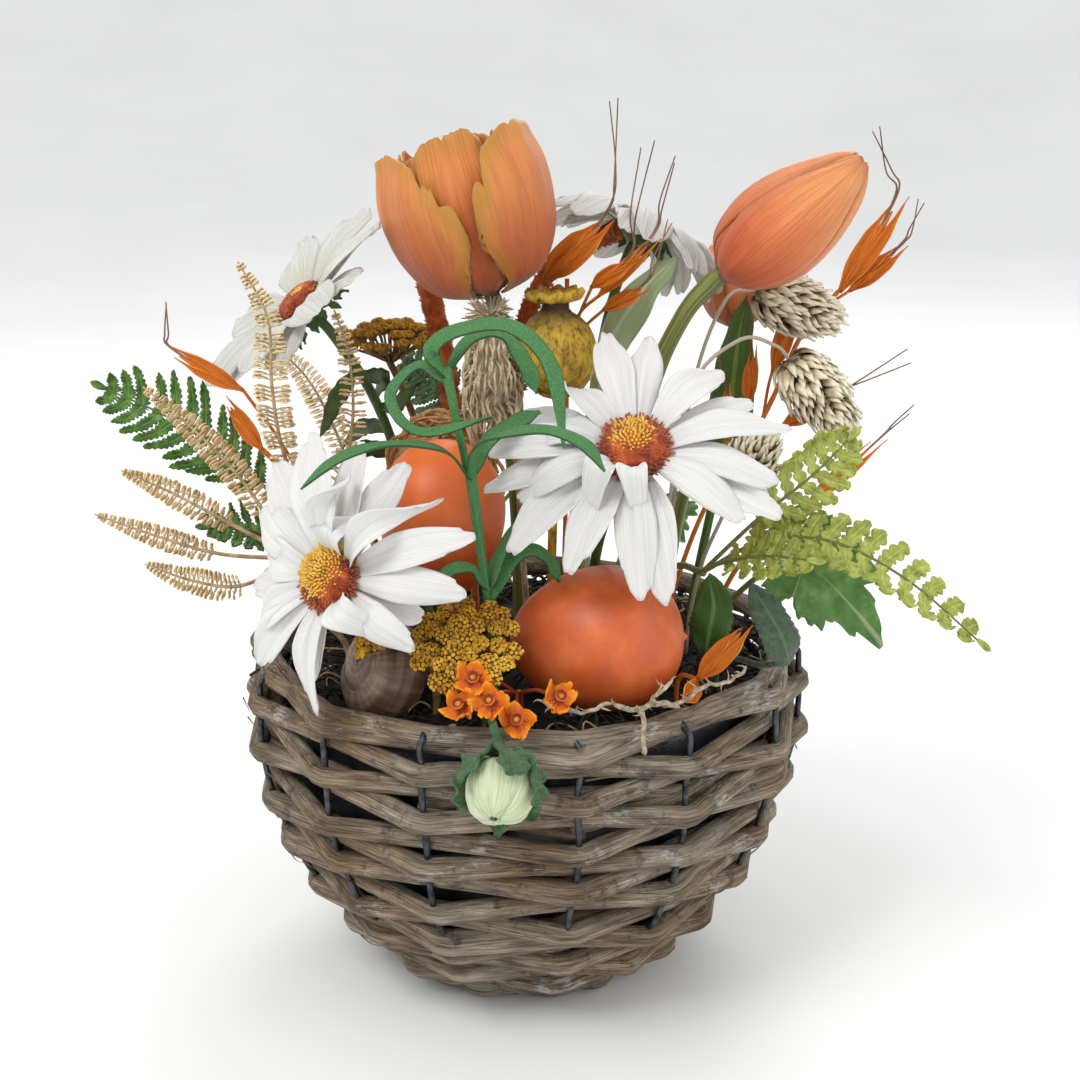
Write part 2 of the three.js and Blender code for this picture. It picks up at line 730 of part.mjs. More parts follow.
// The cup of a tulip: six petals side by side, three of them proud of the others, round a hollow
// that is open at the top. outline gives the radius and height from foot to rim.
function tulipCup(outline, height, radius, columns, { proud = 1.2, notch = 7, hollow = 0.5 } = {}) {
  const curve = new THREE.SplineCurve(outline.map(([r, z]) => new THREE.Vector2(r * radius, z * height)));
  const levels = [0.03, 0.16, 0.4, 0.66, 0.86, 1, 0.84, hollow];
  const rim = 5;
  const shapeAt = (i, j) => {
    const petal = Math.floor(j / columns);
    const across = Math.abs((2 * (j % columns)) / (columns - 1) - 1);
    const point = curve.getPoint(levels[i]);
    const layer = petal % 2 ? -proud : proud * 0.6;
    const edge = i > 0 && i <= rim ? layer - 0.8 * across : 0;
    const thick = i > rim ? 2.6 + 1.4 * (i - rim) : 0;
    const top = i === rim ? (petal % 2 ? 2 : -2) - notch * across : 0;
    return [Math.max(point.x + edge - thick, 2), point.y + top];
  };
  return solid(knobbly(levels.length, columns * 6, shapeAt, 0, hollow * height - 2));
}

// One petal as a patch of the cup's surface, with a lobed top.
function cupPetal(outline, height, radius, { turn, layer, low, top, half, lobes, columns = 3, rows = 3 }) {
  const curve = new THREE.SplineCurve(outline.map(([r, z]) => new THREE.Vector2(r * radius, z * height)));
  const skin = (depth) => (u, v) => {
    const side = 2 * u - 1;
    const point = curve.getPoint(Math.min(1, low + v * (top - low)));
    const over = Math.max(0, low + v * (top - low) - 1) * height;
    const spread = half * (v < 0.2 ? 0.6 : 1) * (v > 0.9 ? 0.66 : 1);
    const angle = turn + side * spread;
    const lobe = v > 0.9 ? lobes * Math.cos(3 * Math.PI * side) - 2 * side * side : 0;
    const r = point.x + layer - depth - side * side;
    return at(r * Math.cos(angle), r * Math.sin(angle), point.y + lobe + over);
  };
  return solid(thickSheet(columns, rows, skin(0), skin(1.4)));
}

const OPEN_OUTLINE = [[0.12, 0], [0.62, 0.12], [0.9, 0.36], [1, 0.6], [0.98, 0.8], [0.86, 1]];
const OPEN_HEIGHT = 50;
const OPEN_RADIUS = 27;
const openPetals = [
  { turn: 0.7, layer: 2.2, low: 0.14, top: 0.86, half: 0.6, lobes: 1.8 },
  { turn: 2.6, layer: 2.2, low: 0.12, top: 0.94, half: 0.62, lobes: 1.8 },
  { turn: 4.9, layer: 2.2, low: 0.1, top: 0.9, half: 0.6, lobes: 1.8 },
  { turn: 0.1, layer: -8, low: 0.5, top: 1.04, half: 0.8, lobes: 1.2, rows: 2 },
  { turn: 2.1, layer: -9, low: 0.5, top: 1.08, half: 0.8, lobes: 1.2, rows: 2 },
  { turn: 4.2, layer: -8.5, low: 0.5, top: 1.02, half: 0.8, lobes: 1.2, rows: 2 },
];
const openTulip = fuse([
  tulipCup(OPEN_OUTLINE, OPEN_HEIGHT, OPEN_RADIUS, 3),
  ...openPetals.map((petal) => cupPetal(OPEN_OUTLINE, OPEN_HEIGHT, OPEN_RADIUS, petal)),
]);
part('tulip_open_petals', stood(openTulip, at(-11, -5, 237), at(-0.26, 0, 0.966), -1.3), 'tulip', 0.55);
part('tulip_open_stem', stem(at(-2, 4, 0), [at(-3, 4, 165), at(-7, 1, 205), at(-9.7, -5, 232.2),
  at(-10.9, -5, 236.6)], 2.6), 'stem');

// A closed bud: petals wrapped round each other, with a slit where two of them part.
function tulipBud(height, radius) {
  const outline = [[0.3, 0.01], [0.78, 0.12], [1, 0.34], [0.93, 0.56], [0.68, 0.76], [0.4, 0.9], [0.22,
    0.97]];
  const sides = 14;
  const shapeAt = (i, j) => {
    const [r, z] = outline[i];
    const seam = j % 5 === 0 ? -0.9 : 0.35 * ((j % 5) - 2);
    const slit = j === 10 && i > 0 && i < 5 ? -2.4 : 0;
    return [r * radius + (i > 0 && i < 6 ? seam + slit : 0), z * height];
  };
  return solid(knobbly(outline.length, sides, shapeAt, 0, height));
}

part('tulip_bud_petals', stood(tulipBud(58, 16), at(64.5, -10, 244.5), at(41, -15, 37.5), 0.6), 'bud', 0.5);
part(
  'tulip_bud_stem',
  stem(at(34, 0, 0), [at(36, 0, 165), at(42, -3, 205), at(52, -7, 230), at(60.9, -8.7, 241.2),
    at(64.2, -9.9, 244.2)], 3),
  'stem',
);

const SMALL_OUTLINE = [[0.2, 0], [0.7, 0.14], [1, 0.45], [0.95, 0.75], [0.72, 1]];
const smallTulip = tulipCup(SMALL_OUTLINE, 27, 12.5, 2, { proud: 0.6, notch: 1.5, hollow: 0.7 });
part('tulip_small_petals', stood(smallTulip, at(74, 32, 221), at(0.02, 0.1, 1)), 'bud', 0.55);
part('tulip_small_stem', stem(at(52, 36, 0), [at(58, 38, 160), at(70, 36, 200),
  at(73.9, 31.5, 216), at(74, 32, 220.6)], 2.2), 'stem');

part(
  'leaf_tulip_dark',
  fuse([
    lightStem(at(60, 22, 0), [at(63, 22, 140), at(68, 21, 168)], 1.6),
    blade(
      [at(66, 21.5, 160), at(71, 21, 188), at(73, 20, 212), at(76, 21, 231)],
      at(-0.2, -1, 0.1),
      [[0, 1.6], [0.35, 7], [0.6, 6], [0.82, 3.6], [1, 0]],
      { thick: 1.6, cup: 0.25 },
    ),
  ]),
  'leaf',
);
part(
  'leaf_tulip_light',
  fuse([
    lightStem(at(21, 2, 0), [at(21, 3, 150), at(23, 8, 185)], 1.6),
    blade(
      [at(22.6, 7, 180), at(28, 8, 215), at(38, 3, 235), at(50, -3, 247)],
      at(-0.4, -1, 0.5),
      [[0, 1.6], [0.3, 4.5], [0.6, 6], [0.85, 3.6], [1, 0]],
      { thick: 1.6, cup: 0.3 },
    ),
  ]),
  'paleLeaf',
);

// ---------------------------------------------------------------- poppy pod

function poppyPod() {
  const foot = at(11, -12, 203.4);
  const direction = at(-0.02, 0, 1);
  const radii = [3, 8.5, 12.6, 13, 10.8, 6.4, 4.2, 4.6];
  const heights = [0, 3.5, 10, 17, 23.5, 28, 30.5, 33];
  const body = knobbly(radii.length, 10, (i, j) => [radii[i] * (j % 2 ? 0.965 : 1), heights[i]], 0, 34);
  const rays = 9;
  const crown = new THREE.Shape();
  for (let k = 0; k < rays * 2; k += 1) {
    const turn = (Math.PI * k) / rays;
    const radius = k % 2 ? 6.6 : 9;
    if (k === 0) crown.moveTo(radius, 0);
    else crown.lineTo(radius * Math.cos(turn), radius * Math.sin(turn));
  }
  crown.closePath();
  const plate = new THREE.ExtrudeGeometry(crown, { depth: 2.2, bevelEnabled: false }).translate(0, 0, 32.4);
  return fuse([
    solid(aimed(body, direction, foot)),
    solid(aimed(plate, direction, foot)),
    stem(at(9, -14, 0), [at(9, -14, 150), at(11, -12, 205)], 1.6, { sides: 4 }),
  ]);
}

part('poppy_pod', poppyPod(), 'pod');

// ---------------------------------------------------------------- eggs, fibre nest and shell

// An egg with its long axis along +Z and its centre at the origin.
function eggGeometry(halfLength, radius, grown = 0) {
  const outline = [];
  const steps = 8;
  for (let k = 0; k <= steps; k += 1) {
    const turn = (Math.PI * k) / steps;
    const taper = 1 - 0.13 * Math.cos(turn + Math.PI);
    const r = k === 0 || k === steps ? 0 : (radius + grown) * Math.sin(turn) * taper ** -1;
    outline.push(new THREE.Vector2(r, -(halfLength + grown) * Math.cos(turn)));
  }
  return new THREE.LatheGeometry(outline, 12).rotateX(Math.PI / 2);
}

const FRONT_EGG = { centre: at(23, -52, 133.5), axis: at(0.97, -0.2, 0.1), half: 28, radius: 23.4 };
const UPPER_EGG = { centre: at(-27, -30, 166.5), axis: at(0.05, -0.05, 1), half: 27, radius: 20.5 };

function egg({ centre, axis, half, radius }, grown = 0) {
  return solid(aimed(eggGeometry(half, radius, grown), axis, centre));
}

part('egg_front', egg(FRONT_EGG), 'egg', 0.45);
part('egg_upper', egg(UPPER_EGG), 'egg', 0.45);

// Tan fibre packed behind and under the upper egg, which leans in it.
function fibreNest() {
  const roll = dice(33);
  const rings = 6;
  const shapeAt = (i, j) => {
    const turn = (Math.PI * (i + 0.7)) / (rings + 0.4);
    const bulge = ((i + j) % 2 ? 1 : 0.93) * (0.98 + 0.05 * roll());
    return [Math.sin(turn) * bulge, -Math.cos(turn)];
  };
  const ball = knobbly(rings, 12, shapeAt, -1, 1).scale(20, 13, 31).translate(-28, -7, 170);
  const spike = stem(at(-24, -4, 0), [at(-26, -7, 150)], 2.2, { sides: 4 });
  return solid(ball).add(spike).subtract(egg(UPPER_EGG, 0.5));
}

part('fibre_nest', fibreNest(), 'nest', 0.95);

const SHELL = { centre: at(-46, -52, 123.8), axis: at(-0.35, -0.5, 0.79) };
const SHELL_RADIUS = 15;
const SHELL_HALF = 10.5;

// A squat snail shell with its spiral groove raised from the surface.
function snailGeometry(grown = 0) {
  const sides = 12;
  const rings = 7;
  const turns = 2.2;
  const shapeAt = (i, j) => {
    const down = (Math.PI * (i + 0.8)) / (rings + 0.6);
    const phase = ((down / Math.PI) * turns * 2 - j / sides) % 1;
    const groove = down < 1.7 ? 1 - 0.09 * Math.cos(2 * Math.PI * phase) ** 2 : 0.97;
    const lip = 1 + (j < 3 && down > 1.5 ? 0.1 : 0);
    const r = (SHELL_RADIUS + grown) * Math.sin(down) * groove * lip;
    return [r, (SHELL_HALF + grown) * Math.cos(down)];
  };
  return knobbly(rings, sides, shapeAt, SHELL_HALF + grown, -(SHELL_HALF + grown));
}

part('snail_shell', solid(aimed(snailGeometry(), SHELL.axis, SHELL.centre)), 'shell', 0.5);

// ---------------------------------------------------------------- yarrow and small flowers

// A flat head of florets raised in knobs, over stalks that spread from its stem as ribs.
function yarrowHead(centre, normal, radius, seed) {
  const roll = dice(seed);
  const out = [0.16, 0.5, 0.96, 1.02, 0.8, 0.52, 0.22];
  const up = [-10, -6.5, -4, -1.6, 1, 2.2, 3];
  const shapeAt = (i, j) => {
    const knob = i < 3 ? 1 - 0.22 * (j % 2) : 1 + 0.16 * (((i + j) % 2) - 0.5);
    const lift = i < 3 ? 0 : 2 * ((i + j) % 2) + 1.2 * (roll() - 0.5);
    return [radius * out[i] * knob, up[i] + lift];
  };
  return solid(aimed(knobbly(out.length, 16, shapeAt, -11, 3.6), normal, centre));
}

part(
  'yarrow_front_right',
  fuse([
    yarrowHead(at(-18, -77, 141), at(-0.1, -0.62, 0.78), 15, 3),
    lightStem(at(-14, -62, 0), [at(-16, -71, 135)], 1.4),
  ]),
  'yarrow',
  0.95,
);
part(
  'yarrow_front_left',
  fuse([
    yarrowHead(at(-45, -67.5, 144.5), at(-0.75, -0.15, 0.65), 11, 4),
    lightStem(at(-28, -60, 0), [at(-30, -62, 130), at(-38.5, -65.5, 139)], 1.3),
  ]),
  'yarrow',
  0.95,
);
part(
  'yarrow_back',
  fuse([
    yarrowHead(at(-48, 28, 219), at(-0.05, -0.05, 1), 15, 5),
    stem(at(-24, 26, 0), [at(-26, 27, 150), at(-42, 28, 195), at(-48, 28, 211)], 1.5),
  ]),
  'yarrow',
  0.95,
);

// Five small cup flowers on thin stalks that meet at one stem.
function smallBlossoms() {
  const joint = at(-2, -78, 125);
  const heads = [at(-19, -95, 128), at(-10, -97, 130), at(-15, -91, 135), at(-2, -97, 124), at(11, -91, 129)];
  const pieces = [lightStem(at(-1, -72, 0), [joint], 1.1)];
  heads.forEach((head, k) => {
    const faces = at(0.12 * (k - 2), -0.8, 0.6);
    pieces.push(tube([joint, head.clone().addScaledVector(faces, 0.5)], 0.7, 3));
    const flower = new THREE.Shape();
    const corners = 10;
    for (let i = 0; i < corners; i += 1) {
      const turn = (2 * Math.PI * i) / corners + k;
      const radius = i % 2 ? 2.4 : 5.8;
      if (i === 0) flower.moveTo(radius * Math.cos(turn), radius * Math.sin(turn));
      else flower.lineTo(radius * Math.cos(turn), radius * Math.sin(turn));
    }
    flower.closePath();
    const star = new THREE.ExtrudeGeometry(flower, { depth: 2, bevelEnabled: false }).translate(0, 0, -0.7);
    pieces.push(solid(aimed(star, faces, head)));
  });
  return fuse(pieces);
}

part('blossoms_orange', smallBlossoms(), 'blossom');

// ---------------------------------------------------------------- rosebud over the rim

const ROSEBUD = { centre: at(-7, -113, 109), faces: at(-0.05, -0.86, 0.5) };

function rosebudHead() {
  const profile = [3, 7.4, 9.2, 8.2, 5.2];
  const heights = [-8, -4.5, 1, 6, 9];
  const shapeAt = (i, j) => [profile[i] * (j % 2 ? 0.9 : 1), heights[i] + (j % 2 ? 0.8 : 0)];
  return solid(aimed(knobbly(5, 10, shapeAt, -8, 8), ROSEBUD.faces, ROSEBUD.centre));
}

// Ragged sepals cut from one sheet, folded up round the bud from its stem.
function rosebudSepals() {
  const outline = [];
  const count = 6;
  for (let k = 0; k < count; k += 1) {
    const add = (radius, turn) => outline.push([radius * Math.cos(turn), radius * Math.sin(turn)]);
    const middle = (2 * Math.PI * (k + 0.25)) / count;
    add(6, middle - 0.5);
    add(13, middle - 0.3);
    add(19 - 2 * (k % 2), middle);
    add(13, middle + 0.26);
  }
  const shape = new THREE.Shape(outline.map(([x, y]) => new THREE.Vector2(x, y)));
  const sheet = new THREE.ExtrudeGeometry(shape, { depth: 1, bevelEnabled: false });
  const position = sheet.attributes.position;
  for (let k = 0; k < position.count; k += 1) {
    const r = Math.hypot(position.getX(k), position.getY(k));
    const squeeze = 0.86 - 0.012 * r;
    const height = position.getZ(k) - 11.4 + 0.034 * r * r;
    position.setXYZ(k, position.getX(k) * squeeze, position.getY(k) * squeeze, height);
  }
  const neck = ROSEBUD.centre.clone().addScaledVector(ROSEBUD.faces, -10.6);
  return fuse([
    solid(aimed(sheet, ROSEBUD.faces, ROSEBUD.centre)),
    lightStem(at(-12, -70, 0), [at(-10, -86, 122), at(-9, -98, 123.5), neck], 1.2),
  ]);
}

part('rosebud_petals', rosebudHead(), 'rosebud', 0.6);
part('rosebud_sepals', rosebudSepals(), 'calyx');

// ---------------------------------------------------------------- ribbon-leaf pick

const RIBBON = 3.4;

function ribbonPick() {
  const top = at(-23, -66, 223);
  const middle = at(-16, -68, 190);
  const low = at(-11, -62, 150);
  const widths = [[0, RIBBON * 0.5], [0.2, RIBBON], [0.45, RIBBON], [0.72, RIBBON], [1, 0.8]];
  const curl = (points, face) => blade(points, face, widths, { thick: 1.4, flat: true });
  const below = (point, drop) => point.clone().add(at(0, 0, -drop));
  return fuse([
    stem(at(-9, -52, 0), [at(-10, -56, 135), low, middle, top], 2),
    curl([below(top, 0), at(-20, -68, 233), at(-4, -68, 236), at(8, -74, 225),
      at(12, -80, 205)], at(0, -0.5, 1)),
    curl([below(top, 3), at(-18, -60, 230), at(-8, -57, 232), at(-2, -57, 225)], at(0, 0.3, 1)),
    curl([below(top, 6), at(-31, -64, 224), at(-40, -62, 214), at(-31, -70, 206),
      at(-8, -77, 211)], at(-0.2, -0.9, 0.4)),
    curl([below(middle, 0), at(-24, -73, 200), at(-38, -82, 204), at(-52, -90, 202),
      at(-62, -98, 195)], at(0, -0.5, 1)),
    curl([below(middle, 4), at(-11, -80, 202), at(2, -92, 210), at(14, -98, 208),
      at(22, -99, 199)], at(0, -0.5, 1)),
    curl([below(middle, 8), at(-9, -62, 196), at(-1, -58, 202), at(6, -56, 207)], at(-0.5, -0.8, 0.4)),
    curl([below(low, 0), at(-16, -66, 160), at(-22, -70, 162), at(-27, -72, 157)], at(0, -0.5, 1)),
    curl([below(low, 4), at(-6, -60, 160), at(0, -57, 167), at(4, -55, 176)], at(-0.5, -0.8, 0.3)),
  ]);
}

part('ribbon_leaf_pick', ribbonPick(), 'ribbon', 0.7);

// ---------------------------------------------------------------- spikes and seed heads

// A tapering fuzzy spike bent along a curve, rough with small knobs.
function fuzzySpike(points, radius, rings) {
  const rib = new THREE.CatmullRomCurve3(points);
  const sides = 7;
  const loops = [];
  for (let i = 0; i < rings; i += 1) {
    const t = i / (rings - 1);
    const { side, out } = frameAt(rib, t, at(0.1, -1, 0.1));
    const girth = radius * (t > 0.9 ? 0.6 : 1 - 0.25 * t) * (i === 0 ? 0.5 : 1);
    loops.push(
      Array.from({ length: sides }, (_, j) => {
        const turn = (2 * Math.PI * (j + 0.5 * (i % 2))) / sides;
        const r = girth * ((i + j) % 2 ? 1 : 0.86);
        return rib.getPoint(t).addScaledVector(side, r * Math.cos(turn)).addScaledVector(out,
          r * Math.sin(turn));
      }),
    );
  }
  const ends = [rib.getPoint(0).lerp(rib.getPoint(1), -0.01),
    rib.getPoint(1).addScaledVector(rib.getTangent(1), 2)];
  return solid(closedRings(loops, ...ends));
}

part(
  'spike_rust_left',
  fuse([
    fuzzySpike([at(-25, 17, 182), at(-27, 18, 205), at(-32, 21, 230), at(-37, 23, 247)], 4.2, 9),
    stem(at(-18, 16, 0), [at(-20, 16, 150), at(-25, 17, 185)], 1.2, { sides: 4 }),
  ]),
  'rust',
  0.95,
);
part(
  'spike_rust_right',
  fuse([
    fuzzySpike([at(-3, 15, 200), at(-1, 15, 222), at(7, 16, 240), at(18, 13, 250), at(29, 5, 255)], 3.6, 9),
    stem(at(0, 17, 0), [at(-2, 16, 150), at(-3, 15, 203)], 1.2, { sides: 4 }),
  ]),
  'rust',
  0.95,
);

// A seed head of hanging strands over a narrow core.
function shaggyHead() {
  const roll = dice(41);
  const top = at(-11, -15, 233);
  const core = new THREE.SphereGeometry(1, 8, 5).rotateX(Math.PI / 2).scale(6, 5.5,
    19).translate(-10.5, -16, 213);
  const pieces = [solid(core)];
  const strands = 10;
  for (let k = 0; k < strands; k += 1) {
    const turn = (2 * Math.PI * (k + 0.3 * roll())) / strands;
    const out = at(Math.cos(turn), Math.sin(turn) * 0.9, 0);
    const start = 4 + 22 * ((k * 5) % 3) * 0.33;
    const place = (r, z) => top.clone().addScaledVector(out, r).add(at(0, 0, -z));
    const points = [place(3, start), place(6.6, start + 6), place(7.6 + roll(), start + 15 + 5 * roll())];
    pieces.push(blade(points, out, [[0, 1.4], [0.5, 1.9], [1, 0]], { thick: 1.6 }));
  }
  pieces.push(lightStem(at(1, -8, 0), [at(-1, -9, 150), at(-3, -12, 184), at(-9.5, -16, 200)], 1.1));
  return fuse(pieces);
}

part('seed_head_shaggy', shaggyHead(), 'straw', 0.95);

// A head of canary grass: rows of scales that overlap towards its tip.
function scalyHead(foot, tip, radius, rows, scales) {
  const length = foot.distanceTo(tip);
  const sides = scales * 2;
  const shapeAt = (i, j) => {
    const row = Math.floor(i / 2);
    const raised = i % 2;
    const t = (row + 0.85 * raised + 0.1) / rows;
    const swell = Math.sin(Math.PI * Math.min(1, 0.16 + 0.76 * t)) ** 0.7;
    const onScale = (j + row) % 2 === 0;
    const girth = radius * swell * (raised ? (onScale ? 1.05 : 0.82) : 0.78);
    return [girth, length * t - (raised && !onScale ? 0.12 * length / rows : 0)];
  };
  return aimed(knobbly(rows * 2, sides, shapeAt, 0, length), tip.clone().sub(foot), foot);
}

part(
  'canary_grass_upper',
  fuse([
    solid(scalyHead(at(78, 11, 236), at(109, 13, 224.5), 8.6, 5, 5)),
    lightStem(at(46, 12, 0), [at(50, 12, 150), at(58, 12, 205), at(68, 11, 233), at(79, 11, 236)], 0.9),
  ]),
  'straw',
  0.9,
);
part(
  'canary_grass_middle',
  fuse([
    solid(scalyHead(at(88, -5, 215), at(110, -7, 190), 9.6, 5, 5)),
    stem(at(46, -8, 0), [at(48, -9, 160), at(55, -6, 205), at(71, -6, 222), at(83, -5.5, 220),
      at(89, -5, 214)], 0.9, {
      sides: 3,
      light: true,
    }),
  ]),
  'straw',
  0.9,
);
part(
  'canary_grass_lower',
  fuse([
    solid(scalyHead(at(68, -12, 168), at(82, -15, 194), 9, 4, 5)),
    lightStem(at(56, -8, 0), [at(60, -9, 145), at(68.5, -12, 170)], 0.9),
  ]),
  'straw',
  0.9,
);

// ---------------------------------------------------------------- dyed oats

// One spikelet: two glumes that part at the tip, with a bent awn from between them.
function spikelet(foot, tip, half, awn = []) {
  const long = foot.distanceTo(tip);
  const outline = [[0, 0.8], [0.4 * long, half], [long, half * 0.9], [0.72 * long, 0]];
  outline.push([0.94 * long, -half * 0.9], [0.4 * long, -half], [0, -0.8]);
  const glumes = bent(outline, [foot, foot.clone().lerp(tip, 0.5), tip], at(0, -1, 0.2), { thick: 2 });
  return awn.length ? [glumes, tube([foot.clone().lerp(tip, 0.66), ...awn], 0.6, 3)] : [glumes];
}

function oatSpray(entry, trunk, branches) {
  const pieces = [lightStem(entry, trunk, 0.9)];
  for (const { from, foot, tip, half, awn } of branches) {
    if (from) pieces.push(tube([from, foot.clone().lerp(tip, 0.04)], 0.7, 3));
    pieces.push(...spikelet(foot, tip, half, awn));
  }
  return fuse(pieces);
}

part(
  'oats_left',
  oatSpray(at(-44, 8, 0), [at(-52, 4, 150), at(-70, -20, 172), at(-84, -32, 190.8)], [
    { foot: at(-84, -32, 190.8), tip: at(-95.3, -32, 207), half: 2.6 },
    { from: at(-70, -20, 172), foot: at(-88.7, -36, 211), tip: at(-111, -38, 224), half: 3.4,
      awn: [at(-111.5, -36, 239)] },
  ]),
  'oat',
);
part(
  'oats_middle',
  oatSpray(at(13, 6, 0), [at(14, 6, 170), at(14, 4, 215), at(14, 3, 241)], [
    { from: at(14, 4, 215), foot: at(22, -3, 239), tip: at(35, -13, 249), half: 2.6, awn: [at(41, -17,
      287)] },
    { foot: at(14, 3, 240), tip: at(21.5, -14, 264.5), half: 3.6, awn: [at(29.4, -16, 300)] },
    { from: at(14, 4, 215), foot: at(26, 0, 231), tip: at(40, -9, 240), half: 2.4, awn: [at(46, -12, 262)] },
  ]),
  'oat',
);
part(
  'oats_right',
  oatSpray(at(50, 8, 0), [at(62, 8, 160), at(82, 12, 192), at(96, 26, 218), at(108, 24, 234)], [
    { foot: at(108, 22, 234), tip: at(127, 20, 266), half: 3.6, awn: [at(124, 18, 266), at(117, 12, 290)] },
    { from: at(96, 26, 218), foot: at(112, 25, 234), tip: at(129, 22, 250), half: 3, awn: [at(132, 16,
      266)] },
    { from: at(82, 12, 192), foot: at(86, 23, 206), tip: at(94, 28, 232), half: 3.2 },
    { from: at(62, 8, 160), foot: at(88, 8, 190), tip: at(106, 4, 202), half: 3, awn: [at(108, 3, 204),
      at(128, 0, 218)] },
  ]),
  'oat',
);
part(
  'oats_low_right',
  oatSpray(at(62, -16, 0), [at(70, -18, 145), at(84, -17, 160), at(94, -15, 168)], [
    { foot: at(94, -15, 168), tip: at(118, -12, 190), half: 1.8, awn: [at(118, -12, 191),
      at(129, -10, 201)] },
  ]),
  'oat',
);
part(
  'oats_front',
  oatSpray(at(49, -56, 0), [at(55, -60, 123)], [
    { foot: at(55, -60, 123), tip: at(70, -60, 140), half: 3.2 },
    { foot: at(54, -61, 122), tip: at(49, -78, 122), half: 3.2 },
  ]),
  'oat',
);

// ---------------------------------------------------------------- ferns

const LEFT = at(-0.1, -1, 0.25);

part(
  'fern_bleached_upright',
  fuse([
    lightStem(at(-54, -12, 0), [at(-62, -16, 140), at(-70, -20, 165)], 1.1),
    frond([at(-70, -20, 163), at(-77, -34, 190), at(-78, -46, 214), at(-78, -49, 236),
      at(-86, -50, 252)], LEFT, 9, 12, {
      sweep: 0.2,
      droop: 0.03,
    }),
    frond([at(-69, -19, 162), at(-60, -19, 180), at(-56, -20, 200), at(-57, -20, 220),
      at(-61, -20, 233)], LEFT, 7, 9, {
      sweep: 0.2,
      droop: 0.03,
    }),
  ]),
  'bleached',
);
part(
  'fern_bleached_side',
  fuse([
    lightStem(at(-60, -24, 0), [at(-70, -28, 135), at(-78, -34, 158)], 1.1),
    frond([at(-77, -33, 156), at(-90, -30, 178), at(-106, -26, 195), at(-124, -20, 208)], LEFT, 8, 7, {
      sweep: 0.3,
      droop: 0.02,
    }),
    frond([at(-78, -34, 157), at(-96, -36, 168), at(-114, -36, 178), at(-129, -32, 184)], LEFT, 7, 6, {
      sweep: 0.3,
      droop: 0.02,
      start: 0.3,
    }),
    frond([at(-78, -34, 155), at(-98, -42, 159), at(-118, -42, 165), at(-136, -38, 171)], LEFT, 6, 6, {
      sweep: 0.3,
      droop: 0.02,
      start: 0.36,
    }),
    frond([at(-77, -34, 153), at(-91, -48, 150), at(-106, -51, 153), at(-119, -50, 158)], LEFT, 7, 5, {
      sweep: 0.3,
      droop: 0.02,
      start: 0.3,
    }),
  ]),
  'bleached',
);
part(
  'fern_green_left',
  fuse([
    lightStem(at(-62, 6, 0), [at(-70, 8, 135), at(-80, 10, 160)], 1.1),
    frond([at(-79, 9.5, 157), at(-100, 10, 176), at(-122, 10, 192), at(-146, 10, 204)],
      at(0.3, -1, 0.5), 15, 8, {
      sweep: 0.45,
      droop: 0.008,
      lobed: true,
    }),
    frond([at(-71, 8, 137), at(-84, 0, 150), at(-96, -8, 158), at(-108, -14, 160)], at(0.2, -0.7, 1), 10, 5, {
      sweep: 0.45,
      droop: 0.01,
      lobed: true,
    }),
  ]),
  'fern',
);
part(
  'fern_lime',
  fuse([
    lightStem(at(44, -14, 0), [at(46, -20, 140), at(50, -32, 152), at(58, -41, 152)], 1.2),
    frond([at(57, -40.4, 152), at(76, -45, 164), at(98, -46, 164), at(122, -48, 152),
      at(146, -50, 131)], at(0.2, -0.7, 1), 12, 9, {
      sweep: 0.5,
      droop: -0.008,
      lobed: true,
    }),
    frond([at(57, -40, 152), at(74, -42, 170), at(92, -38, 184), at(105, -33, 196)],
      at(0.4, -1, 0.2), 11, 6, {
      sweep: 0.5,
      droop: 0.006,
      lobed: true,
      start: 0.36,
    }),
    frond([at(56, -39.4, 152), at(64, -54, 160), at(76, -62, 164), at(90, -64, 163)],
      at(0, -0.8, 0.7), 8, 4, {
      sweep: 0.5,
      droop: 0.006,
      lobed: true,
      start: 0.3,
    }),
  ]),
  'lime',
);

// ---------------------------------------------------------------- broad leaves

// Half an ivy leaf's outline, from its foot to its tip, before it is mirrored.
const IVY_HALF = [[0, 0.8], [-4, 7], [-1, 15], [6, 18], [12, 13], [20, 17], [27, 14], [28, 8], [37, 5]];

function ivyLeaf(points, face, size) {
  const outline = mirrored(IVY_HALF, [46, 0]).map(([x, y]) => [Math.max(x, 0) * size, y * size]);
  return bent(outline, points, face, { thick: 1, droop: 0.012, ripple: 0.03 });
}

part(
  'leaf_ivy',
  fuse([
    lightStem(at(66, -2, 0), [at(74, -4, 134), at(90, -10, 150)], 1.1),
    ivyLeaf([at(88.5, -9.5, 150), at(100, -14, 143), at(111, -18, 132), at(121, -20, 120)],
      at(0.25, -1, 0.35), 1),
  ]),
  'ivy',
);

function serrateOutline(length, half, teeth) {
  const right = [];
  for (let k = 0; k <= teeth; k += 1) {
    const t = (k + 0.5) / (teeth + 1);
    const wide = half * Math.sin(Math.PI * Math.min(1, 0.12 + 0.84 * t)) ** 0.8;
    right.push([length * t, wide]);
    right.push([length * (t + 0.3 / (teeth + 1)), wide * 0.84]);
  }
  return mirrored([[0, 0.9], ...right], [length, 0]);
}

function serrateLeaf(points, face, half, teeth, droop = 0.01) {
  const length = new THREE.CatmullRomCurve3(points).getLength();
  return bent(serrateOutline(length, half, teeth), points, face, { thick: 1, droop });
}

